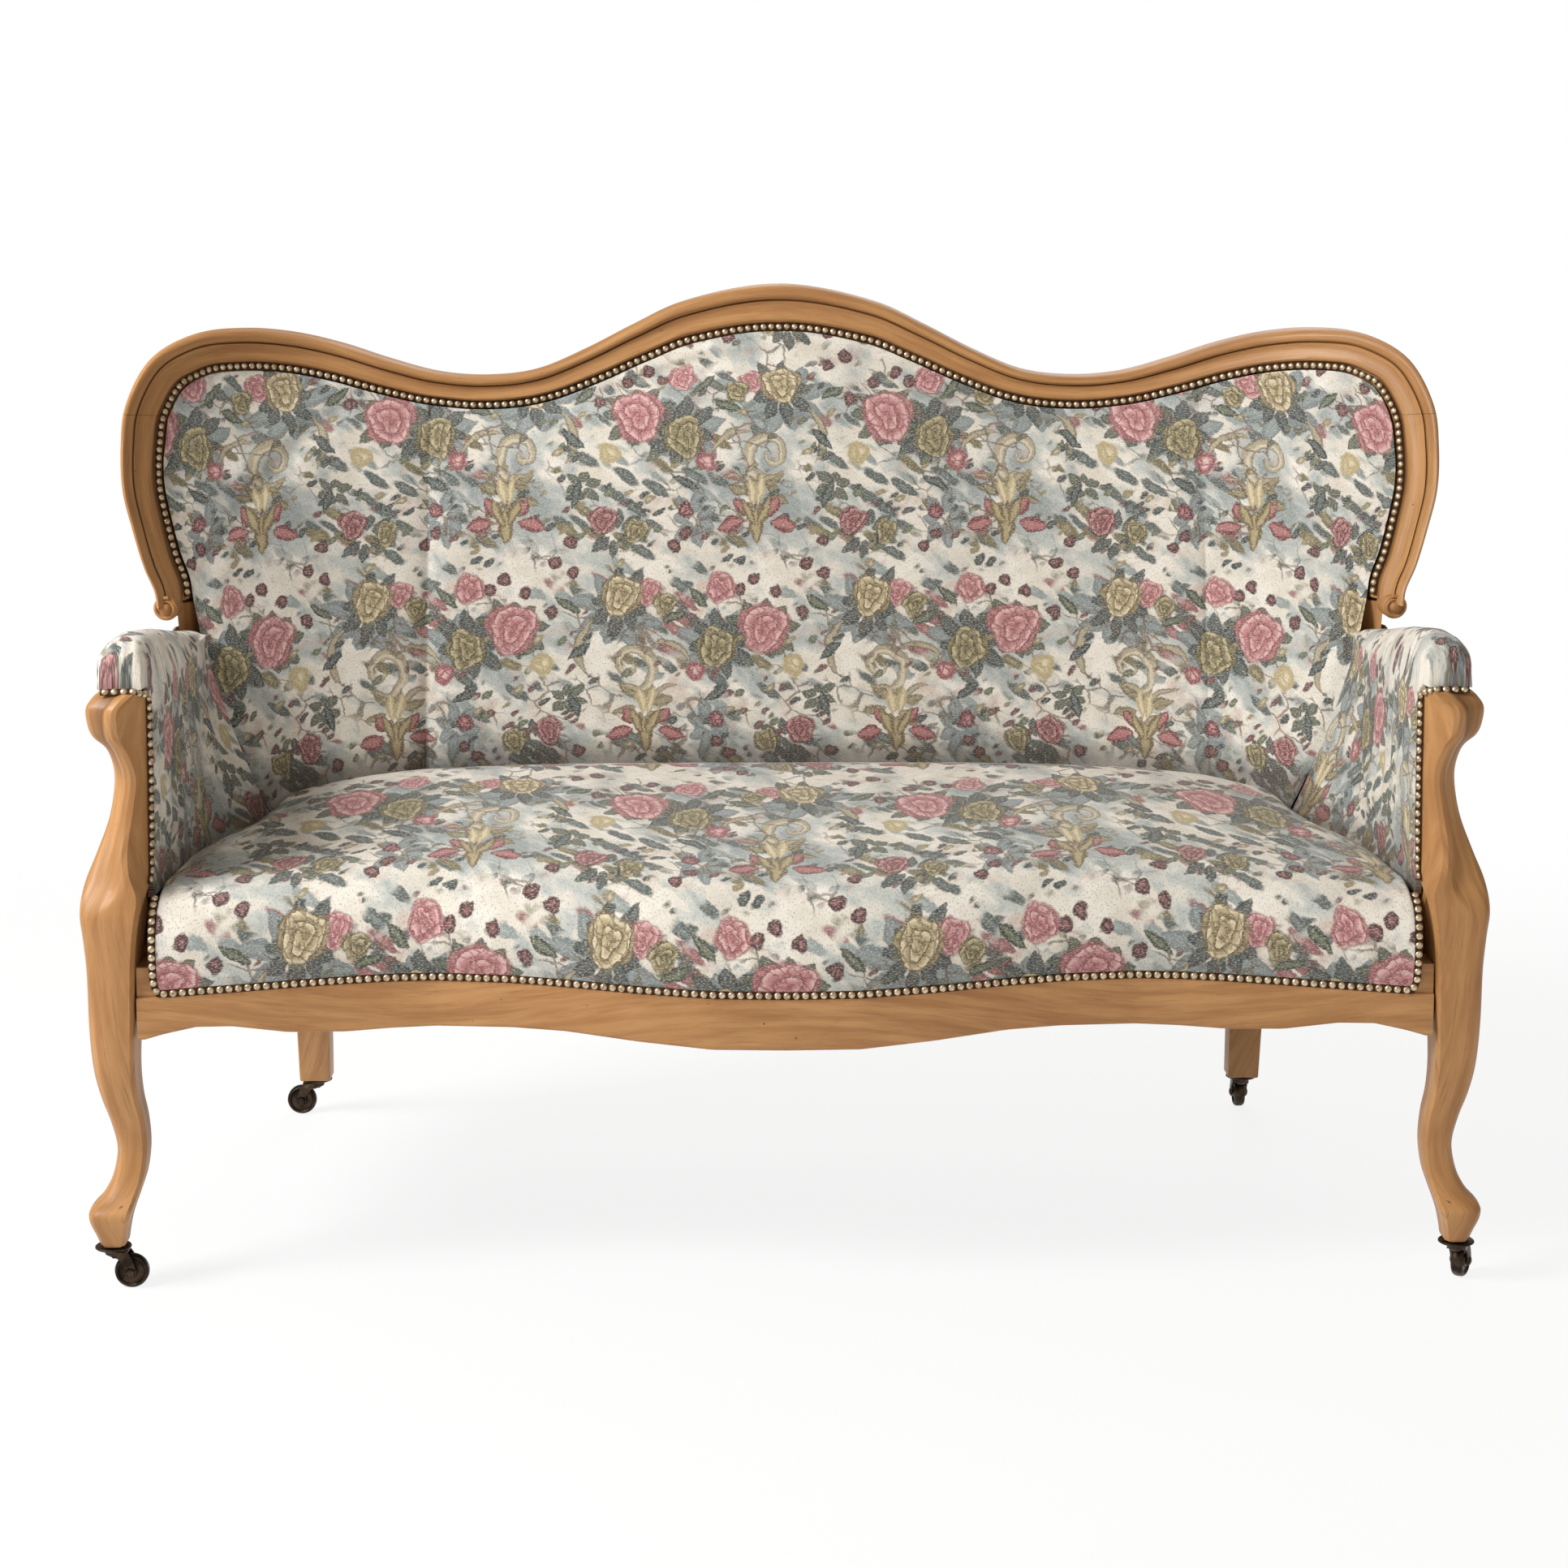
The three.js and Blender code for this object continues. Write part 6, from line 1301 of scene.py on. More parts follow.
def crease(piece, amounts):
    """Keep edges sharp that run up a leg at the numbered points of its rings."""
    mesh = piece.data
    ring_point = np.empty(len(mesh.vertices))
    mesh.attributes["ring_point"].data.foreach_get("value", ring_point)
    ring_point = np.rint(ring_point).astype(int)
    ends = np.empty(len(mesh.edges) * 2, int)
    mesh.edges.foreach_get("vertices", ends)
    first, second = ring_point[ends.reshape(-1, 2)].T
    amount = np.array([amounts.get(point, 0) for point in range(LEG_POINTS + 1)])
    creases = mesh.attributes.new("crease_edge", "FLOAT", "EDGE")
    creases.data.foreach_set("value", np.where(first == second, amount[first], 0).astype(np.float32))


def front_leg(name, side):
    rows = len(LEG_RINGS) - 1

    def place(across, up):
        column = step_at(across, LEG_POINTS) % LEG_POINTS
        row = step_at(up, rows)
        plan = LEG_RINGS[row, column]
        points = stacked(side * plan[:, 0], plan[:, 1], LEG_HEIGHTS[row])
        # Painted shade in the groove of the post head, coming in towards the top of the leg
        dark = np.array([LEG_GROOVE_SHADE.get(point, 0) for point in range(LEG_POINTS)])
        shade = dark[column] * ease(*LEG_GROOVE_SHADE_FROM, LEG_ROWS[row, 0])
        return points, stacked(LEG_HEIGHTS[row], plan[:, 0] + plan[:, 1], shade)

    piece = laid_grid(name, rows, LEG_POINTS, place)
    flat = piece.data.attributes.new("ring_point", "FLOAT", "POINT")
    columns = np.tile(np.arange(LEG_POINTS + 1), rows + 1) % LEG_POINTS
    flat.data.foreach_set("value", columns.astype(np.float32))
    edit(piece, SELECT_ALL, MERGE, SELECT_ALL, FILL_HOLES, SELECT_ALL, FACE_OUTWARD)
    crease(piece, LEG_CREASES)
    return smooth(subdivide(piece, 2), LEG_SMOOTH_ANGLE)


def build_front_legs():
    for name, side in SIDES:
        stand(front_leg(f"leg_and_post_{name}", side), SHOW_OAK, [f"front_leg_{name}"])


def build_front_rail():
    half = LEG_INNER + LEG_BLANK * LEG_RAIL_SHARE - CLEARANCE
    rear = -FRONT_RAIL_FACE + FRONT_RAIL_BOW + RAIL_THICKNESS / 2
    radius = EDGE_ROUND / 2
    turns = np.linspace(0, math.pi / 2, 5)
    arc = [(radius * (1 - math.sin(turn)), radius * (1 - math.cos(turn))) for turn in turns]

    def place(across, up):
        x = mix(-half, half, up)
        face, bottom, nails = rail_face(x), rail_bottom(x), rail_nails(x) - GIMP_WIDTH
        middle = face + RAIL_THICKNESS / 2
        rounds = [(face + y, bottom + z) for y, z in arc]
        section = rounds + [
            (face, nails - radius / 4), (face + radius / 4, nails), (face + COVER_REBATE, nails),
            (face + COVER_REBATE, RAIL_TOP + 0 * x), (rear + 0 * x, RAIL_TOP + 0 * x),
            (rear + 0 * x, RAIL_UNDERSIDE + 0 * x), (middle, RAIL_UNDERSIDE + 0 * x), (middle, bottom),
        ]
        column = step_at(across, len(section)) % len(section)
        pairs = np.array(section)
        rows = np.arange(len(x))
        y, z = pairs[column, 0, rows], pairs[column, 1, rows]
        return stacked(x, y, z), stacked(x + 3, z + y, 0)

    piece = tube("front_rail_shaped", 180, len(arc) + 8, place)
    stand(smooth(piece, 35), SHOW_OAK, ["front_seat_rail"])


def softened(node, name):
    """A copy of a plain wooden node with its edges eased, as a worn edge is."""
    piece = copy_of(frame["nodes"][node], name)
    piece.parent = None
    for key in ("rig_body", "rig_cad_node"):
        del piece[key]
    weld = (bpy.ops.mesh.remove_doubles, {"threshold": 1e-5})
    flatten = (bpy.ops.mesh.dissolve_limited, {"angle_limit": math.radians(1)})
    edit(piece, SELECT_ALL, weld, SELECT_ALL, flatten, SELECT_ALL, FACE_OUTWARD)
    bevel = {"segments": 3, "limit_method": "ANGLE", "angle_limit": math.radians(EDGE_ANGLE)}
    apply_modifier(piece, "BEVEL", width=SOFT_EDGE, **bevel)
    return smooth(piece, EDGE_ANGLE)


def build_plain_wood():
    """Back legs and the side seat rails behind the cloth."""
    wooden = [
        ("back_leg_{}", "stump_leg_{}", OAK_TALL, "show_wood"),
        ("side_seat_rail_{}", "side_rail_eased_{}", OAK_DEEP, "show_wood"),
    ]
    for node, name, finish, slot in wooden:
        for side, _ in SIDES:
            piece = softened(node.format(side), name.format(side))
            stand(piece, finish, [node.format(side)])


# Upholstery
def crease_shade(above):
    """How dark the cloth is where it goes down beside the seat."""
    return CREASE_SHADE * ease(CREASE_REACH, 0, above)


def back_columns(share):
    """Where a column of the back's cloth stands and how high it reaches, for shares across the back."""
    first, second = SEAM_COLUMN_SHARES

    def x_at(z):
        half = edge_half_width(z)
        left = mix(-half, -SEAM_LEFT, share / first)
        middle = mix(-SEAM_LEFT, SEAM_RIGHT, (share - first) / (second - first))
        right = mix(SEAM_RIGHT, half, (share - second) / (1 - second))
        return np.where(share < first, left, np.where(share > second, right, middle))

    top = np.full_like(share, BACK_HEIGHT)
    for _ in range(40):
        top = mix(top, edge_height(x_at(top)), 0.6)
    return x_at, top


def back_place(depth_at):
    def place(across, up):
        x_at, top = back_columns(across)
        z = mix(PAD_BOTTOM, top, 1 - (1 - up) ** PAD_ROW_POWER)
        x = x_at(z)
        lay_x = plane_length(x, z) - BACK_PATTERN_ORIGIN[0]
        lay_z = z * math.hypot(1, RAKE_SHARE) - BACK_PATTERN_ORIGIN[1]
        dark = crease_shade(z - SEAT_BACK_HEIGHT)
        return stacked(x, depth_at(x, z), z), stacked(lay_x, lay_z, dark)
    return place


def cut_away(piece, x, keep):
    """Cut a body at x and close the cut, keeping one side of it."""
    settings = {
        "plane_co": (x, 0, 0), "plane_no": (1, 0, 0), "use_fill": True,
        "clear_outer": keep < 0, "clear_inner": keep > 0,
    }
    return edit(piece, SELECT_ALL, (bpy.ops.mesh.bisect, settings), SELECT_ALL, FACE_OUTWARD)


def draw_seams(piece):
    """Pull the cloth in along its two seams, and darken the stitching there."""
    places = places_of(piece.data)
    attribute = piece.data.attributes["lay"]
    lay = np.empty(len(places) * 3)
    attribute.data.foreach_get("vector", lay)
    lay = lay.reshape(-1, 3)
    for seam in (-SEAM_LEFT, SEAM_RIGHT):
        near = np.exp(-(((places[:, 0] - seam) / SEAM_GROOVE_SPREAD) ** 2))
        front = places[:, 1] + MIDDLE_DEPTH < plane_y(places[:, 0], places[:, 2]) + PAD_REAR / 2
        places[:, 1] += SEAM_GROOVE * near * front
        lay[:, 2] += SEAM_DARK * np.exp(-(((places[:, 0] - seam) / (SEAM_GROOVE_SPREAD / 3)) ** 2))
    put_places(piece.data, places)
    attribute.data.foreach_set("vector", lay.ravel())


def build_back_upholstery():
    swell = BACK_SWELL
    front = back_place(lambda x, z: pad_front(x, z, PUFF - swell / 2))
    rear = back_place(lambda x, z: plane_y(x, z) + PAD_REAR)
    whole = body_between("back_pad", *BACK_GRID, front, rear)
    places = places_of(whole.data)
    depth = plane_y(places[:, 0], places[:, 2]) - places[:, 1] - MIDDLE_DEPTH
    stuff(whole, depth < PUFF / 8, swell)
    draw_seams(subdivide(hold_rims(whole)))
    cuts = (
        ("back_pad_left_wing", [(-SEAM_LEFT, -1)], ["wing_cover_left"]),
        ("back_pad_right_wing", [(SEAM_RIGHT, 1)], ["wing_cover_right"]),
        ("back_pad_middle", [(-SEAM_LEFT, 1), (SEAM_RIGHT, -1)], ["back_cover", "back_stuffing"]),
    )
    for name, planes, nodes in cuts:
        piece = copy_of(whole, name)
        for x, keep in planes:
            cut_away(piece, x, keep)
        stand(smooth(piece, 60), FLORAL, nodes)
    bpy.data.objects.remove(whole)


WING_HEIGHTS = np.linspace(RAIL_UNDERSIDE, BACK_HEIGHT, 400)
WING_DEPTHS = pad_front(edge_half_width(WING_HEIGHTS), WING_HEIGHTS)


def wing_edge_depth(z):
    return np.interp(z, WING_HEIGHTS, WING_DEPTHS)


def arm_x(y, z):
    """Inside of an arm at a depth and height: the wing's sweep, then straight on to the post."""
    rear_x, rear_y = edge_half_width(z), wing_edge_depth(z)
    rise = within(SEAT_HEIGHT, ARM_TOP, z)
    front = mix(ARM_SEAT_HALF, ARM_FRONT_HALF, rise)
    turn = within(ROLL_LOW, PAD_BOTTOM, z)
    t = within(rear_y, NAIL_EDGE, y)
    pull = WING_SWEEP_SHARE * (rear_y - NAIL_EDGE) * turn
    return (2 * t**3 - 3 * t**2 + 1) * rear_x + (t**3 - 2 * t**2 + t) * pull + (3 * t**2 - 2 * t**3) * front


def seat_edge_height(y):
    depths, rises = np.array(SEAT_RISE_SHARES).T
    return mix(SEAT_ARM_HEIGHT - SEAT_CROWN, SEAT_BACK_HEIGHT, np.interp(y, depths * BACK_DEPTH, rises))


def seat_rear_at(x):
    """How far back the seat reaches: to the back, or to the arm beside it."""
    half = np.abs(x)
    base = np.array(ARM_PAD_BOTTOM)
    corner_x, corner_y = edge_half_width(base), wing_edge_depth(base)
    low = np.full_like(half, NAIL_EDGE)
    high = np.full_like(half, corner_y)
    for _ in range(40):
        middle = (low + high) / 2
        inside = arm_x(middle, base + 0 * half) > half
        low = np.where(inside, middle, low)
        high = np.where(inside, high, middle)
    return np.where(half <= corner_x - SEAT_CREASE, pad_front(x, PAD_BOTTOM + 0 * x), low) - SEAT_CREASE


SEAT_FRONT = spline(SEAT_FRONT_RISE_SHARES, 20)
SEAT_REAR_X = np.linspace(-SEAT_HALF, SEAT_HALF, 800)
SEAT_REAR_Y = seat_rear_at(SEAT_REAR_X)


def seat_rear(x):
    return np.interp(x, SEAT_REAR_X, SEAT_REAR_Y)


def seat_top(across, up):
    spread = mix(2 * across - 1, np.sin((across - 0.5) * math.pi), SEAT_SPREAD_SHARE)
    x = SEAT_HALF * spread
    back, rise = along(SEAT_FRONT, within(0, SEAT_FRONT_ROWS_SHARE, up)).T
    start_y = rail_face(x) + back * SEAT_EDGE_RISE
    start_z = rail_nails(x) + rise * SEAT_EDGE_RISE
    share = within(SEAT_FRONT_ROWS_SHARE, 1, up)
    rear = np.maximum(seat_rear(x), start_y + EDGE_ROUND)
    crown = SEAT_CROWN * np.sin(math.pi * share) * (1 - spread**4)
    y = mix(start_y, rear, share)
    z = mix(start_z, seat_edge_height(rear), share**SEAT_ROW_POWER) + crown
    return stacked(x, y, z)


def seat_lay(points, across, up):
    """The cloth of the seat, measured from the nails up over the front edge and back."""
    reached = np.zeros(len(points))
    shares = np.linspace(0, 1, 60)
    before = seat_top(across, 0 * across)
    for share in shares[1:]:
        after = seat_top(across, np.minimum(up, share))
        reached += np.linalg.norm(after - before, axis=1)
        before = after
    v = np.interp(reached, SEAT_LAY_UP, SEAT_LAY_V)
    u = (points[:, 0] - SEAT_PATTERN_X) / SEAT_PATTERN_STRETCH + REPEAT / 2
    return stacked(u, v + SEAT_PATTERN_V, 0)


def seat_place(across, up):
    points = seat_top(across, up)
    return points, seat_lay(points, across, up)


def seat_floor(across, up):
    """Underside of the seat's upholstery: on the rails, and over the springs."""
    top = seat_top(across, up)
    x, y, z = top.T
    base = RAIL_TOP + CLEARANCE
    sunk = np.clip((z - base) / (2 * SEAT_FILL_DEPTH), 0, 1)
    over = ease(CAVITY_HALF_WIDTH + CAVITY_EDGE, CAVITY_HALF_WIDTH, np.abs(x))
    over = over * ease(CAVITY_FRONT - CAVITY_EDGE, CAVITY_FRONT, y)
    over = over * ease(CAVITY_BACK + CAVITY_EDGE, CAVITY_BACK, y)
    floor = mix(base, SPRING_CAVITY_TOP, over)
    depth = y + mix(COVER_THICKNESS, SEAT_FILL_DEPTH, sunk) * (up < 0.999)
    return stacked(x, depth, mix(z, floor, sunk)), seat_lay(top, across, up)


def finish_pad(pad, free_at, swell, nodes):
    """Swell a pad where its skin, the first half of its points, is free, and let it stand for its nodes."""
    places = places_of(pad.data)
    x, y, z = places[: len(places) // 2].T
    held = np.ones(len(places), bool)
    held[: len(x)] = ~free_at(x, y + MIDDLE_DEPTH, z)
    stuff(pad, held, swell)
    stand(smooth(subdivide(hold_rims(pad)), 60), FLORAL, nodes)


def build_seat():
    def free_at(x, y, z):
        raised = z > rail_nails(x) + SEAT_HELD_ABOVE_NAILS
        before = y < seat_rear(x) - SEAT_HELD_AT_REAR
        return raised & before & (np.abs(x) < SEAT_HALF - SEAT_HELD_AT_SIDE)

    seat = body_between("seat_pad", *SEAT_GRID, seat_place, seat_floor)
    finish_pad(seat, free_at, SEAT_SWELL, ["seat_cover", "seat_stuffing"])


# Arms
def arm_top(y):
    return ARM_TOP * np.interp(y, [share * BACK_DEPTH for share in ARM_TOP_DEPTH_SHARES], ARM_TOP_SHARES)


ROLL_RUN = spline(ROLL_SHARES, 12)


def arm_skin(across, up, lining=0.0):
    """Skin of an arm's upholstery. across runs from the post to the wing, up from the seat over the roll."""
    edge = wing_edge_depth(np.array(ROLL_LOW))
    back = within(ARM_FRONT_SHARE, 1, across)
    fore = np.clip(1 - across / ARM_FRONT_SHARE, 0, 1)
    start = mix(ROLL_FRONT, ROLL_REAR, ease(0, ARM_FRONT_SHARE, back))
    y_roll = mix(start, edge - 3 * CLEARANCE, back)
    y_roll = y_roll - (ROLL_FRONT - ARM_COVER_FRONT) * np.sin(fore * math.pi / 2)
    low = mix(ROLL_LOW, POST_COVER_LOW, ease(*POST_COVER_DEPTHS, y_roll))
    outer = mix(ARM_HALF, POST_OUTER, ease(*ARM_WIDENS_DEPTHS, y_roll))
    wall_top = POST_HEIGHT + 2 * CLEARANCE
    wall_share = within(0, ARM_WALL_ROWS_SHARE, up)
    wall_z = mix(ARM_PAD_BOTTOM, wall_top, wall_share)
    wing = wing_edge_depth(np.minimum(wall_z, ROLL_LOW))
    reach = within(0, ARM_TUCK_SHARE, across)
    tuck = within(ARM_TUCK_SHARE, 1, across)
    y_wall = mix(NAIL_EDGE + 4 * CLEARANCE, wing - 3 * CLEARANCE, reach) + ARM_TUCK * tuck
    wall_x = arm_x(y_wall, np.minimum(wall_z, ROLL_LOW)) + lining + 2 * CLEARANCE * ease(0.9, 1, reach)
    pulls = np.sin(y_wall / PULL_PITCH * math.tau + wall_z * PULL_LEAN) * np.sin(wall_share * math.pi)
    wall_x = wall_x + PULL_DEPTH * pulls * ease(0, 0.12, reach) * ease(1, 0.8, reach) * (lining == 0)
    roll = within(ARM_WALL_ROWS_SHARE, 1, up)
    roll_across, roll_rise = along(ROLL_RUN, roll).T
    inner = arm_x(y_roll, ROLL_LOW + 0 * y_roll)
    drop = np.cos(fore * math.pi / 2)
    crest = arm_top(y_roll)
    pleat = PLEAT_DEPTH * np.cos(roll_across * PLEATS) * ease(0.05, -0.005, y_roll)
    roll_x = mix(inner + lining, outer - lining, roll_across)
    roll_z = mix(low, crest - lining, roll_rise * drop) + pleat * drop
    roll_z = np.maximum(roll_z, np.where(roll_across < 0.3, wall_top + 0.001, 0))
    roll_y = np.maximum(y_roll, np.where(roll_across < 0.1, NAIL_EDGE, -1))
    on_wall = up <= ARM_WALL_ROWS_SHARE
    x = np.where(on_wall, wall_x, roll_x)
    y = np.where(on_wall, y_wall, roll_y)
    z = np.where(on_wall, wall_z, roll_z)
    return stacked(x, y, z)


def arm_place(side, lining):
    def place(across, up):
        points = arm_skin(across, up, lining)
        on_wall = up <= ARM_WALL_ROWS_SHARE
        over_roll = POST_HEIGHT + within(ARM_WALL_ROWS_SHARE, 1, up) * ARM_ROLL_CLOTH
        reached = np.where(on_wall, points[:, 2], over_roll)
        dark = crease_shade(points[:, 2] - seat_edge_height(points[:, 1])) * on_wall
        lay = stacked(points[:, 1] + side * ARM_PATTERN_ORIGIN[0], reached - ARM_PATTERN_ORIGIN[1], dark)
        points[:, 0] *= side
        return points, lay
    return place


def build_arms():
    rear = wing_edge_depth(np.array(ROLL_LOW)) - ARM_HELD_AT_WING

    def free_at(x, y, z):
        on_roll = z > ROLL_LOW + ARM_HELD_ABOVE_ROLL
        inside = np.abs(x) < ARM_FREE_WITHIN
        return (y > LEG_REAR) & (y < rear) & (z > SEAT_HEIGHT) & (on_roll | inside)

    for name, side in SIDES:
        arm = body_between(f"arm_pad_{name}", *ARM_GRID, arm_place(side, 0.0), arm_place(side, ARM_LINING))
        finish_pad(arm, free_at, ARM_SWELL, [f"arm_cover_{name}", f"arm_stuffing_{name}"])


# Cloth on the outside, and under the seat
def outward_at(position, z):
    step = 1 / 400
    ahead = outside_point(np.minimum(1, position + step), z)
    run = unit(ahead - outside_point(np.maximum(0, position - step), z))
    return stacked(run[..., 1], -run[..., 0], 0)


OUTSIDE_LINE = rail_point(np.linspace(0.5, 1, 401), OUTSIDE_ACROSS_SHARE, 0)
OUTSIDE_RUN = OUTSIDE_LINE[: int(np.argmax(OUTSIDE_LINE[:, 0])) + 1]


def outside_top(position):
    z = np.full_like(position, BACK_HEIGHT)
    for _ in range(40):
        reach = np.minimum(outside_point(position, z)[..., 0], OUTSIDE_RUN[-1, 0])
        z = mix(z, np.interp(reach, OUTSIDE_RUN[:, 0], OUTSIDE_RUN[:, 2]), 0.5)
    return z


def outside_cloth(name, rows, columns, position_of, height_of):
    """A stretched sheet on the outside. position_of gives its side and place along the plan."""
    def skin(inset):
        def place(across, up):
            side, position = position_of(across)
            z = height_of(position, up)
            points = outside_point(position, z) - inset * outward_at(position, z)
            waist = ease(*WAIST_HEIGHTS, z) * ease(WAIST_TO_SHARE, SIDE_RAIL_FROM, position)
            points[:, 0] -= ARM_WAIST * waist
            reach = np.interp(position, np.linspace(0, 1, len(FRAME_PLAN)), lengths(FRAME_PLAN))
            points[:, 0] *= side
            lay = stacked(side * (lengths(FRAME_PLAN)[-1] - reach), z, 0)
            return points, lay
        return place
    return body_between(name, rows, columns, skin(0.0), skin(COVER_THICKNESS))


def front_area(piece):
    """Area of one face of a thin sheet."""
    return sum(face.area for face in piece.data.polygons) / 2


def stretched(piece, nodes):
    stand(smooth(piece, 60), FLORAL, nodes)
    low, high = piece_box(piece)
    area = front_area(piece)
    height = high[2] - low[2]
    area / height / CUT_SHARE


def piece_box(piece):
    places = places_of(piece.data)
    return places.min(0), places.max(0)


def build_outside_covers():
    gap = CLEARANCE / lengths(FRAME_PLAN)[-1]

    def round_the_back(across):
        side = np.where(across < 0.5, -1.0, 1.0)
        return side, mix(1, UPRIGHT_SHARE + gap, np.abs(2 * across - 1))

    def back_height(position, up):
        low = mix(BACK_COVER_BASE, VOLUTE_HEIGHT, 2 * up)
        return np.where(up < 0.5, low, mix(VOLUTE_HEIGHT, outside_top(position), 2 * up - 1))

    back = outside_cloth("outside_back_cloth", *OUTSIDE_BACK_GRID, round_the_back, back_height)
    stretched(back, ["outside_back_cover"])

    def arm_height(position, up):
        rise = ease(*ARM_COVER_TOP_SHARES, position)
        return mix(BACK_COVER_BASE, mix(ROLL_LOW - ROLL_GAP, VOLUTE_HEIGHT - 2 * VOLUTE_RADIUS, rise), up)

    for name, side in SIDES:
        arm = outside_cloth(
            f"outside_arm_cloth_{name}", *OUTSIDE_ARM_GRID,
            lambda across: (side, mix(SIDE_RAIL_FROM, UPRIGHT_SHARE - gap, across)), arm_height,
        )
        stretched(arm, [f"outside_arm_cover_{name}"])


def plan_half(y):
    order = FRAME_PLAN[:, 1]
    return np.interp(y, order, FRAME_PLAN[:, 0])


def build_bottom_cloth():
    """Black cloth tacked under the rails, hanging slack in the middle."""
    low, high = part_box("bottom_cloth")
    front, rear = low.y + MIDDLE_DEPTH, high.y + MIDDLE_DEPTH
    leg_side, leg_front = [middle - BACK_LEG_HALF - 2 * CLEARANCE for middle in BACK_LEG_TOP]

    def skin(z):
        def place(across, up):
            y = mix(front, rear, up)
            reach = plan_half(y) - RAIL_THICKNESS + BOTTOM_ON_RAIL
            reach = np.where(y > leg_front, np.minimum(reach, leg_side), reach)
            x = mix(-reach, reach, across)
            sag = BOTTOM_SAG * np.sin(math.pi * across) * np.sin(math.pi * up)
            return stacked(x, y, z - sag), stacked(x, y, 0)
        return place

    piece = body_between("bottom_lining", *BOTTOM_GRID, skin(high.z), skin(low.z))
    stand(smooth(piece, 60), LINING, ["bottom_cloth"])


# Braid and dress nails
def braid_along(name, centres, across, out, steps):
    """A braid along a line of places, with the directions across it and out from it at each."""
    section = np.array(BRAID_SHARES)
    reached = lengths(centres)

    def place(share, up):
        column = step_at(share, len(section)) % len(section)
        row = up * (len(centres) - 1)
        low = np.minimum(row.astype(int), len(centres) - 2)
        part = (row - low)[:, None]
        centre = mix(centres[low], centres[low + 1], part)
        side = mix(across[low], across[low + 1], part)
        lift = mix(out[low], out[low + 1], part)
        offset, rise = section[column].T
        points = centre + side * ((offset - 0.5) * GIMP_WIDTH)[:, None]
        points = points + lift * (rise * GIMP_THICKNESS)[:, None]
        length = np.interp(row, np.arange(len(centres)), reached)
        return points, stacked(length, offset * GIMP_WIDTH, 0)

    return smooth(tube(name, steps, len(section), place), 60)


def dome():
    """One dress nail: a low dome, its axis along Z."""
    bpy.ops.object.select_all(action="DESELECT")
    bpy.ops.mesh.primitive_uv_sphere_add(segments=10, ring_count=8, radius=NAIL_RADIUS)
    nail = bpy.context.object
    upper_half = {"plane_co": (0, 0, 0), "plane_no": (0, 0, 1), "clear_inner": True, "use_fill": True}
    edit(nail, SELECT_ALL, (bpy.ops.mesh.bisect, upper_half), SELECT_ALL, FACE_OUTWARD)
    put_places(nail.data, places_of(nail.data) * np.array([1, 1, NAIL_HEIGHT_SHARE]))
    return smooth(nail, 70)


def nails_along(name, nail, centres, out):
    """Nails at an even pitch along a line, each with its own mesh, joined into one row."""
    count = round(lengths(centres)[-1] / NAIL_PITCH)
    shares = (np.arange(count) + 0.5) / count
    places = along(centres, shares)
    ways = unit(read_run(shares, lengths(centres) / lengths(centres)[-1], out))
    row = []
    for place, way in zip(places, ways):
        turn = Vector(way).to_track_quat("Z", "Y").to_matrix().to_4x4()
        centre = Vector(place) - Vector((0, MIDDLE_DEPTH, 0))
        row.append(placed(copy_of(nail, name), Matrix.Translation(centre) @ turn))
    return join(name, *row)


def finish_edge(name, nail, centres, across, out, node, steps):
    """Braid and nails for one edge of the cloth."""
    stand(braid_along(f"{name}_braid", centres, across, out, steps), BRAID, [node])
    row = nails_along(f"{name}_nails", nail, centres + out * GIMP_THICKNESS * 0.8, out)
    stand(row, NAIL_BRASS, [])


def back_edge():
    positions = np.linspace(0.002, 0.998, 500)
    inner = rail_point(positions, 0, 0, GIMP_GAP)
    outer = rail_point(positions, 0, 0, GIMP_GAP + GIMP_WIDTH)
    across = unit(outer - inner)
    run = unit(np.gradient(inner, axis=0))
    out = unit(np.cross(across, run))
    out *= np.where(out[:, 1:2] > 0, -1, 1)
    return (inner + outer) / 2, across, out


def seat_edge():
    """Line of the seat's braid: down beside the cloth, along the rail, and up again."""
    x = np.linspace(-SEAT_HALF, SEAT_HALF, 300)
    flat = stacked(x, rail_face(x) + GIMP_THICKNESS / 2, rail_nails(x) - CLEARANCE - GIMP_WIDTH / 2)
    back, rise = SEAT_FRONT[::4].T
    side_x = SEAT_HALF + CLEARANCE + GIMP_WIDTH / 2
    rail_y = rail_face(side_x) + GIMP_THICKNESS / 2
    wall_z = rail_nails(side_x) + rise * SEAT_EDGE_RISE
    wall = stacked(side_x, rail_y + back * SEAT_EDGE_RISE, wall_z)
    wall = wall[(rise > 0) & (rise < 0.97)]
    mirror = np.array([-1, 1, 1])
    line = np.vstack([wall[::-1] * mirror, flat, wall])
    run = unit(np.gradient(line, axis=0))
    out = np.tile([0.0, -1.0, 0.0], (len(line), 1))
    out = unit(out - run * (out * run).sum(-1, keepdims=True))
    return line, np.cross(run, out), out


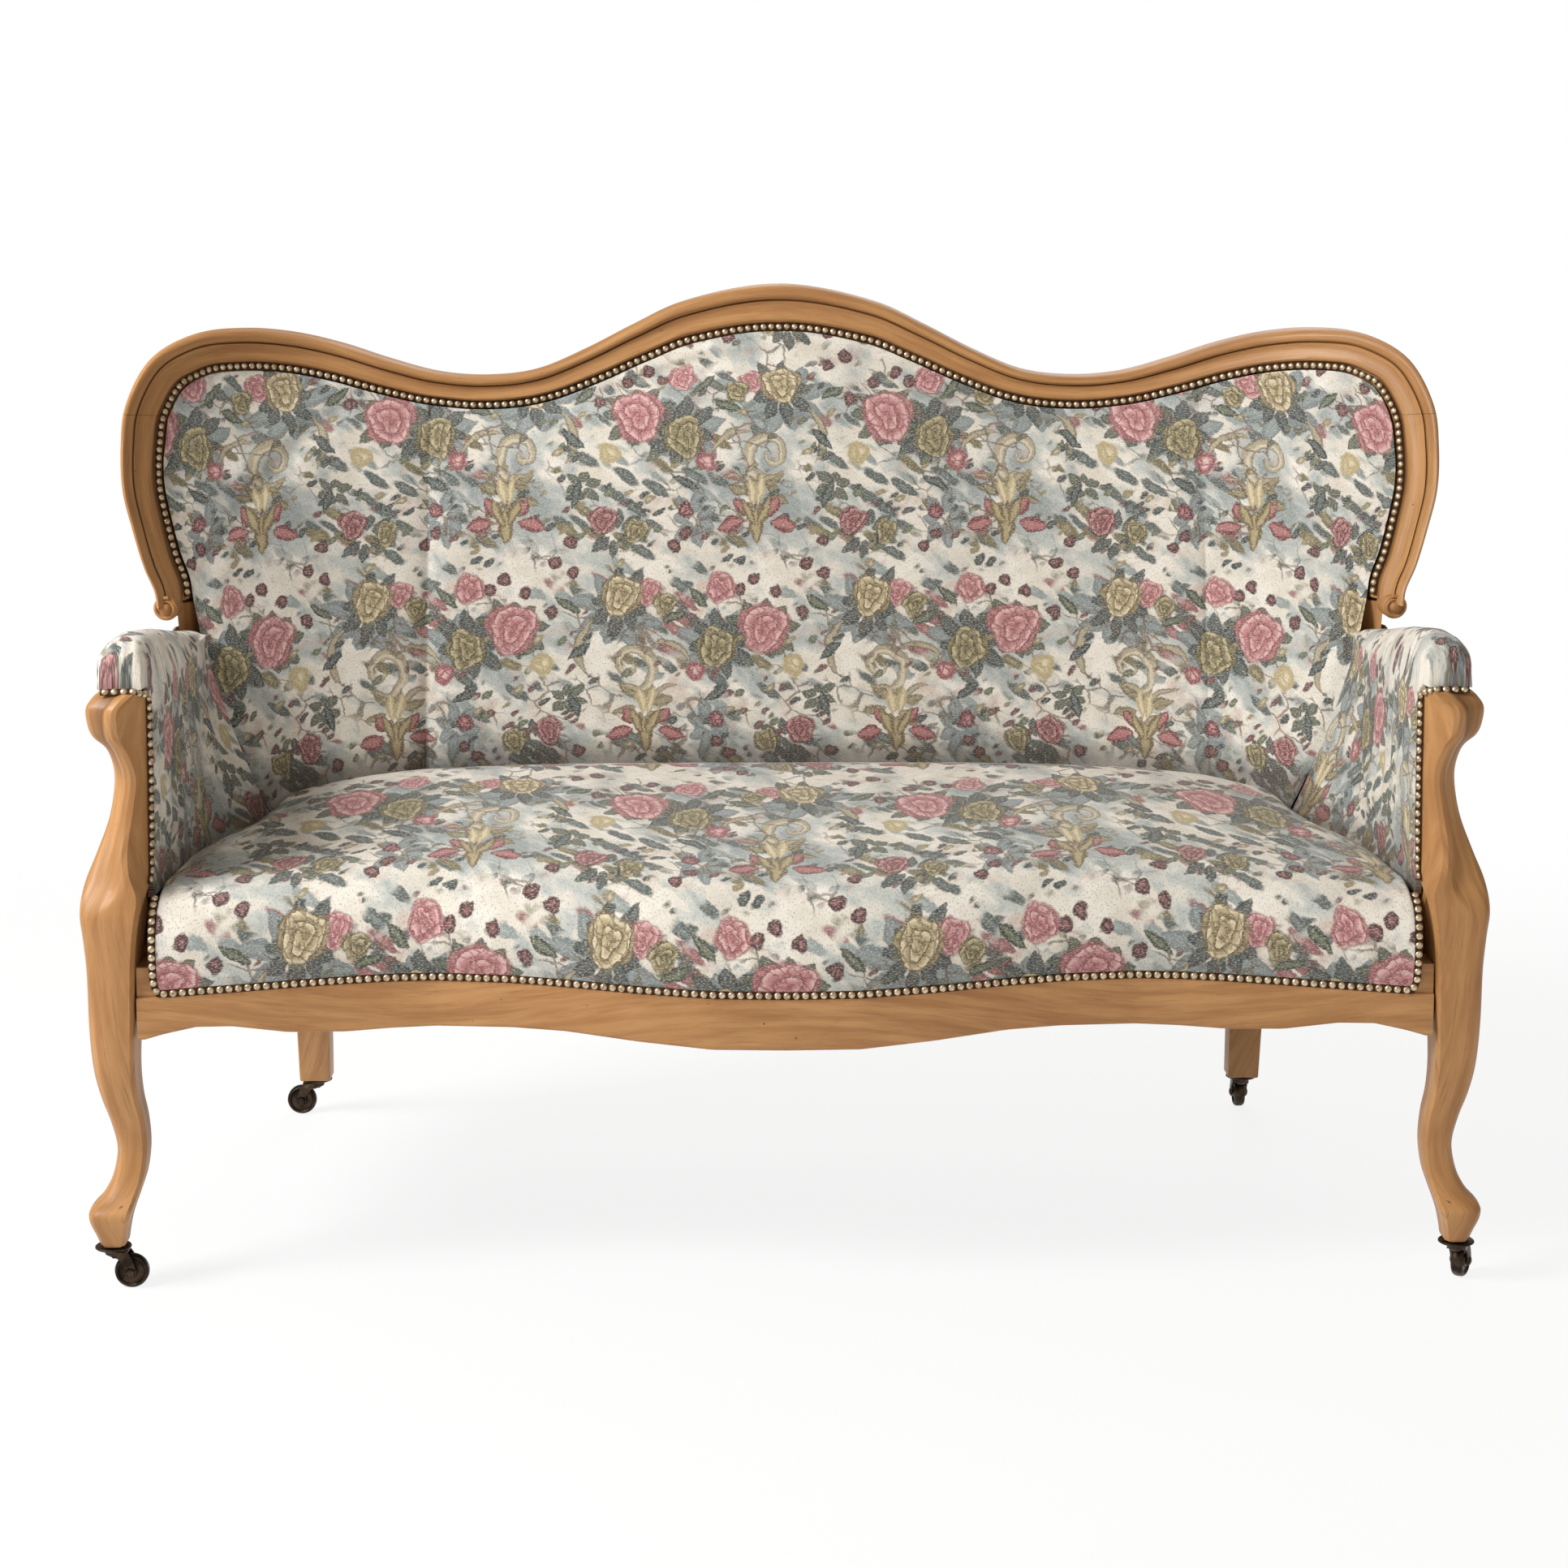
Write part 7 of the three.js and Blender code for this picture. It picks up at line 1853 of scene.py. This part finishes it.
def arm_edge(side):
    """Line of an arm's braid: up the edge of the post, then over its top under the cloth."""
    rows = LEG_ROWS[:, 0] >= POST_BRAID_FROM
    edge, ahead = [np.column_stack([LEG_RINGS[rows, point], LEG_HEIGHTS[rows]]) for point in (2, 3)]
    across = unit(ahead - edge)
    out = stacked(across[:, 1], -across[:, 0], 0)
    out *= np.where(out[:, 1:2] > 0, -1, 1)
    line = edge + across * GIMP_WIDTH / 2 + out * GIMP_THICKNESS
    start = np.array([line[-1, 0], 0, POST_HEIGHT]) + POST_BRAID_TOP_FROM
    last = np.array([POST_OUTER, 0, POST_HEIGHT]) + POST_BRAID_TOP_TO
    over = mix(start, last, np.linspace(0.15, 1, 16)[:, None])
    level, facing = [
        np.tile(unit(np.array(way)), (len(over), 1)) for way in (POST_BRAID_LEVEL, POST_BRAID_FACING)
    ]
    line, across, out = [
        np.vstack([run[:-3], end]) for run, end in ((line, over), (across, level), (out, facing))
    ]
    mirror = np.array([side, 1, 1])
    return line * mirror, across * mirror, out * mirror


def build_edges():
    nail = dome()
    finish_edge("back_edge", nail, *back_edge(), "back_gimp", 700)
    finish_edge("seat_edge", nail, *seat_edge(), "seat_gimp", 420)
    for name, side in SIDES:
        finish_edge(f"arm_edge_{name}", nail, *arm_edge(side), f"arm_gimp_{name}", 120)
    bpy.data.objects.remove(nail)


# Castors
def turned_cross(piece, x, z):
    """Turn a lathe's axis across the castor, at its axle."""
    return placed(piece, Matrix.Translation((x, 0, z)) @ Matrix.Rotation(math.pi / 2, 4, "X"))


def mirrored(outline):
    return [(radius, -height) for radius, height in reversed(outline)]


def washer(name, bore, radius, low, high, edge, segments):
    """A turned ring with its rims eased."""
    return lathe(name, [
        (bore, low), (radius - edge, low), (radius, low + edge), (radius, high - edge),
        (radius - edge, high), (bore, high), (bore, low),
    ], segments)


def castor_cheek(y):
    """One side of the horn: a flat arm that sweeps back from the hub down to the axle."""
    run = spline(CHEEK_LINE, 8)
    corners = np.array([(1, -1), (1, 1), (-1, 1), (-1, -1)])

    def place(across, up):
        column = step_at(across, 4) % 4
        centre = along(run, up)
        way = unit(along(run, np.minimum(up + 0.02, 1)) - along(run, np.maximum(up - 0.02, 0)))
        half = mix(*CHEEK_HALF_WIDTHS, up)
        wide, thick = corners[column].T
        x = centre[:, 0] - way[:, 1] * half * wide
        z = centre[:, 1] + way[:, 0] * half * wide
        points = stacked(x, y + thick * CHEEK_THICKNESS / 2 + MIDDLE_DEPTH, z)
        return points, stacked(up * 0.04, across * 0.03, 0)

    arm = tube("cheek", 24, 4, place)
    return apply_modifier(arm, "BEVEL", width=CHEEK_EDGE, segments=2, limit_method="ANGLE")


def castor_parts():
    """Socket, horn, axle and wheel of one castor, with its pin on the origin and its trail along X."""
    plate_low = CASTOR_HEIGHT - PLATE_THICKNESS
    hub_top = plate_low - CLEARANCE
    hub_low = hub_top - HUB_HEIGHT
    socket = lathe("socket", [
        (0, hub_low - 0.0027), (0.0045, hub_low - 0.0026), (0.0054, hub_low - 0.0014),
        (0.0054, hub_low - 0.0004), (PIN_RADIUS, hub_low - 0.0003),
        (PIN_RADIUS, plate_low), (PLATE_RADIUS * 0.6, plate_low),
        (PLATE_RADIUS * 0.94, plate_low + 0.0002), (PLATE_RADIUS, plate_low + 0.001),
        (PLATE_RADIUS, CASTOR_HEIGHT - 0.0008), (PLATE_RADIUS * 0.96, CASTOR_HEIGHT), (0, CASTOR_HEIGHT),
    ], 40)
    hub = washer("hub", PIN_RADIUS + HUB_PLAY, HUB_RADIUS, hub_low, hub_top, HUB_EDGE, 32)
    inside = WHEEL_WIDTH / 2 + CHEEK_GAP + CHEEK_THICKNESS / 2
    bosses = []
    for y in (-inside, inside):
        low, high = y - CHEEK_THICKNESS / 2, y + CHEEK_THICKNESS / 2
        boss = washer("boss", AXLE_RADIUS + CLEARANCE, CHEEK_WIDTH / 2, low, high, CHEEK_EDGE, 28)
        bosses.append(turned_cross(boss, TRAIL, WHEEL_RADIUS))
    bpy.ops.object.select_all(action="DESELECT")
    bpy.ops.mesh.primitive_cube_add(size=1)
    bridge = bpy.context.object
    size = np.array([BRIDGE_LENGTH, 2 * (inside + CHEEK_THICKNESS / 2), BRIDGE_THICKNESS])
    middle = np.array([BRIDGE_MIDDLE, 0, hub_top - BRIDGE_THICKNESS / 2])
    put_places(bridge.data, places_of(bridge.data) * size + middle)
    put_lay(bridge.data, places_of(bridge.data))
    apply_modifier(bridge, "BEVEL", width=BRIDGE_EDGE, segments=3, limit_method="ANGLE")
    horn = join("horn", hub, *bosses, castor_cheek(-inside), castor_cheek(inside), bridge)
    end = inside + CHEEK_THICKNESS / 2 + CLEARANCE + AXLE_HEAD
    head = [
        (0, -end), (AXLE_HEAD_RADIUS * 0.6, -end + 0.0002), (AXLE_HEAD_RADIUS, -end + 0.0009),
        (AXLE_HEAD_RADIUS, -end + AXLE_HEAD), (AXLE_RADIUS, -end + AXLE_HEAD),
    ]
    axle = turned_cross(lathe("axle", head + mirrored(head), 24), TRAIL, WHEEL_RADIUS)
    half = WHEEL_WIDTH / 2
    face = [
        (AXLE_RADIUS + 0.0001, half), (0.0066, half), (0.0072, half - 0.0006), (0.0078, half - 0.0022),
        (0.0136, half - 0.0024), (0.0146, half - 0.0008), (0.0158, half - 0.0002), (0.0172, half - 0.0008),
        (0.0185, half - 0.0026), (WHEEL_RADIUS, half - 0.0044),
    ]
    wheel = turned_cross(lathe("wheel", face + mirrored(face) + face[:1], 48), TRAIL, WHEEL_RADIUS)
    return {"socket": socket, "horn": horn, "axle": axle, "wheel": wheel}


def build_castors():
    parts = castor_parts()
    for name, side, (x, y), heading in CASTORS:
        under_leg = Matrix.Translation((side * x, y - MIDDLE_DEPTH, 0))
        turn = Matrix.Rotation(math.radians(heading), 4, "Z")
        for kind, part in parts.items():
            piece = placed(copy_of(part, f"{name}_castor_{kind}"), under_leg @ turn)
            body = CASTOR_BODIES[kind].format(name)
            stand(smooth(piece, EDGE_ANGLE), CASTOR_BRONZE, [f"castor_{name}_{kind}"], body)
    for part in parts.values():
        bpy.data.objects.remove(part)


def finish_hidden_nodes():
    """Finishes for the frame's nodes that keep their own shape."""
    finishes = {
        "back_seat_rail": OAK_WIDE, "back_lower_rail": BEECH_WIDE, "seat_webbing": JUTE, "back_webbing": JUTE,
        "arm_rail": BEECH_DEEP, "corner_block": BEECH_WIDE, "seat_spring": SPRING_STEEL,
    }
    for node, piece in frame["nodes"].items():
        for start, finish in finishes.items():
            if node.startswith(start):
                piece.data.materials.clear()
                piece.data.materials.append(finish)


# Stage, light and camera

def build_stage():
    bpy.ops.object.select_all(action="DESELECT")
    bpy.ops.mesh.primitive_plane_add(size=FLOOR_SIZE)
    floor = bpy.context.object
    floor.name = "studio_floor"
    pale = Finish("studio_floor")
    seen = pale.value("ShaderNodeLightPath", {}, {}, 0)
    mirrored = pale.value("ShaderNodeLightPath", {}, {}, 3)
    x, y, _ = pale.object_place()
    far = pale.ramp((x * x + y * y).do("SQRT"), *FLOOR_FADE)
    lit = pale.value("ShaderNodeBsdfDiffuse", {}, {"Color": FLOOR_COLOUR})
    white = pale.value("ShaderNodeEmission", {}, {"Color": (1, 1, 1, 1), "Strength": 1.0})
    shader = pale.value("ShaderNodeMixShader", {}, {
        0: seen.do("MAXIMUM", mirrored) * (far * (1 - FLOOR_WHITE) + FLOOR_WHITE), 1: lit, 2: white,
    })
    pale.node("ShaderNodeOutputMaterial", {}, {0: shader})
    floor.data.materials.append(pale.material)


def build_light():
    world = bpy.data.worlds.new("studio")
    bpy.context.scene.world = world
    sky = Finish("studio", world)
    seen = sky.value("ShaderNodeLightPath", {}, {}, 0)
    strength = sky.value("ShaderNodeMapRange", {}, {"Value": seen, "To Min": ROOM_LIGHT, "To Max": 1.0})
    tint = sky.blend(seen, ROOM_TINT, (1, 1, 1, 1))
    light = sky.value("ShaderNodeBackground", {}, {"Color": tint, "Strength": strength})
    sky.node("ShaderNodeOutputWorld", {}, {0: light})
    for name, place, size, power in LAMPS:
        lamp = bpy.data.lights.new(name, "AREA")
        lamp.size = size
        lamp.energy = power
        holder = bpy.data.objects.new(name, lamp)
        bpy.context.scene.collection.objects.link(holder)
        holder.location = place
        holder.rotation_euler = (Vector(LIT_PLACE) - Vector(place)).to_track_quat("-Z", "Y").to_euler()


def build_camera():
    camera = bpy.data.cameras.new("camera")
    holder = bpy.data.objects.new("camera", camera)
    bpy.context.scene.collection.objects.link(holder)
    camera.sensor_width = 36
    camera.lens = CAMERA_LENS
    camera.shift_y = CAMERA_SHIFT
    holder.location = CAMERA_PLACE
    holder.rotation_euler = (math.radians(90 - CAMERA_DOWN), 0, math.radians(-CAMERA_RIGHT))
    bpy.context.scene.camera = holder


bpy.context.scene.view_settings.view_transform = "Standard"
build_camera()
build_light()
build_stage()
build_back_frame()
build_front_legs()
build_front_rail()
build_plain_wood()
build_back_upholstery()
build_seat()
build_arms()
build_outside_covers()
build_bottom_cloth()
build_edges()
build_castors()
finish_hidden_nodes()
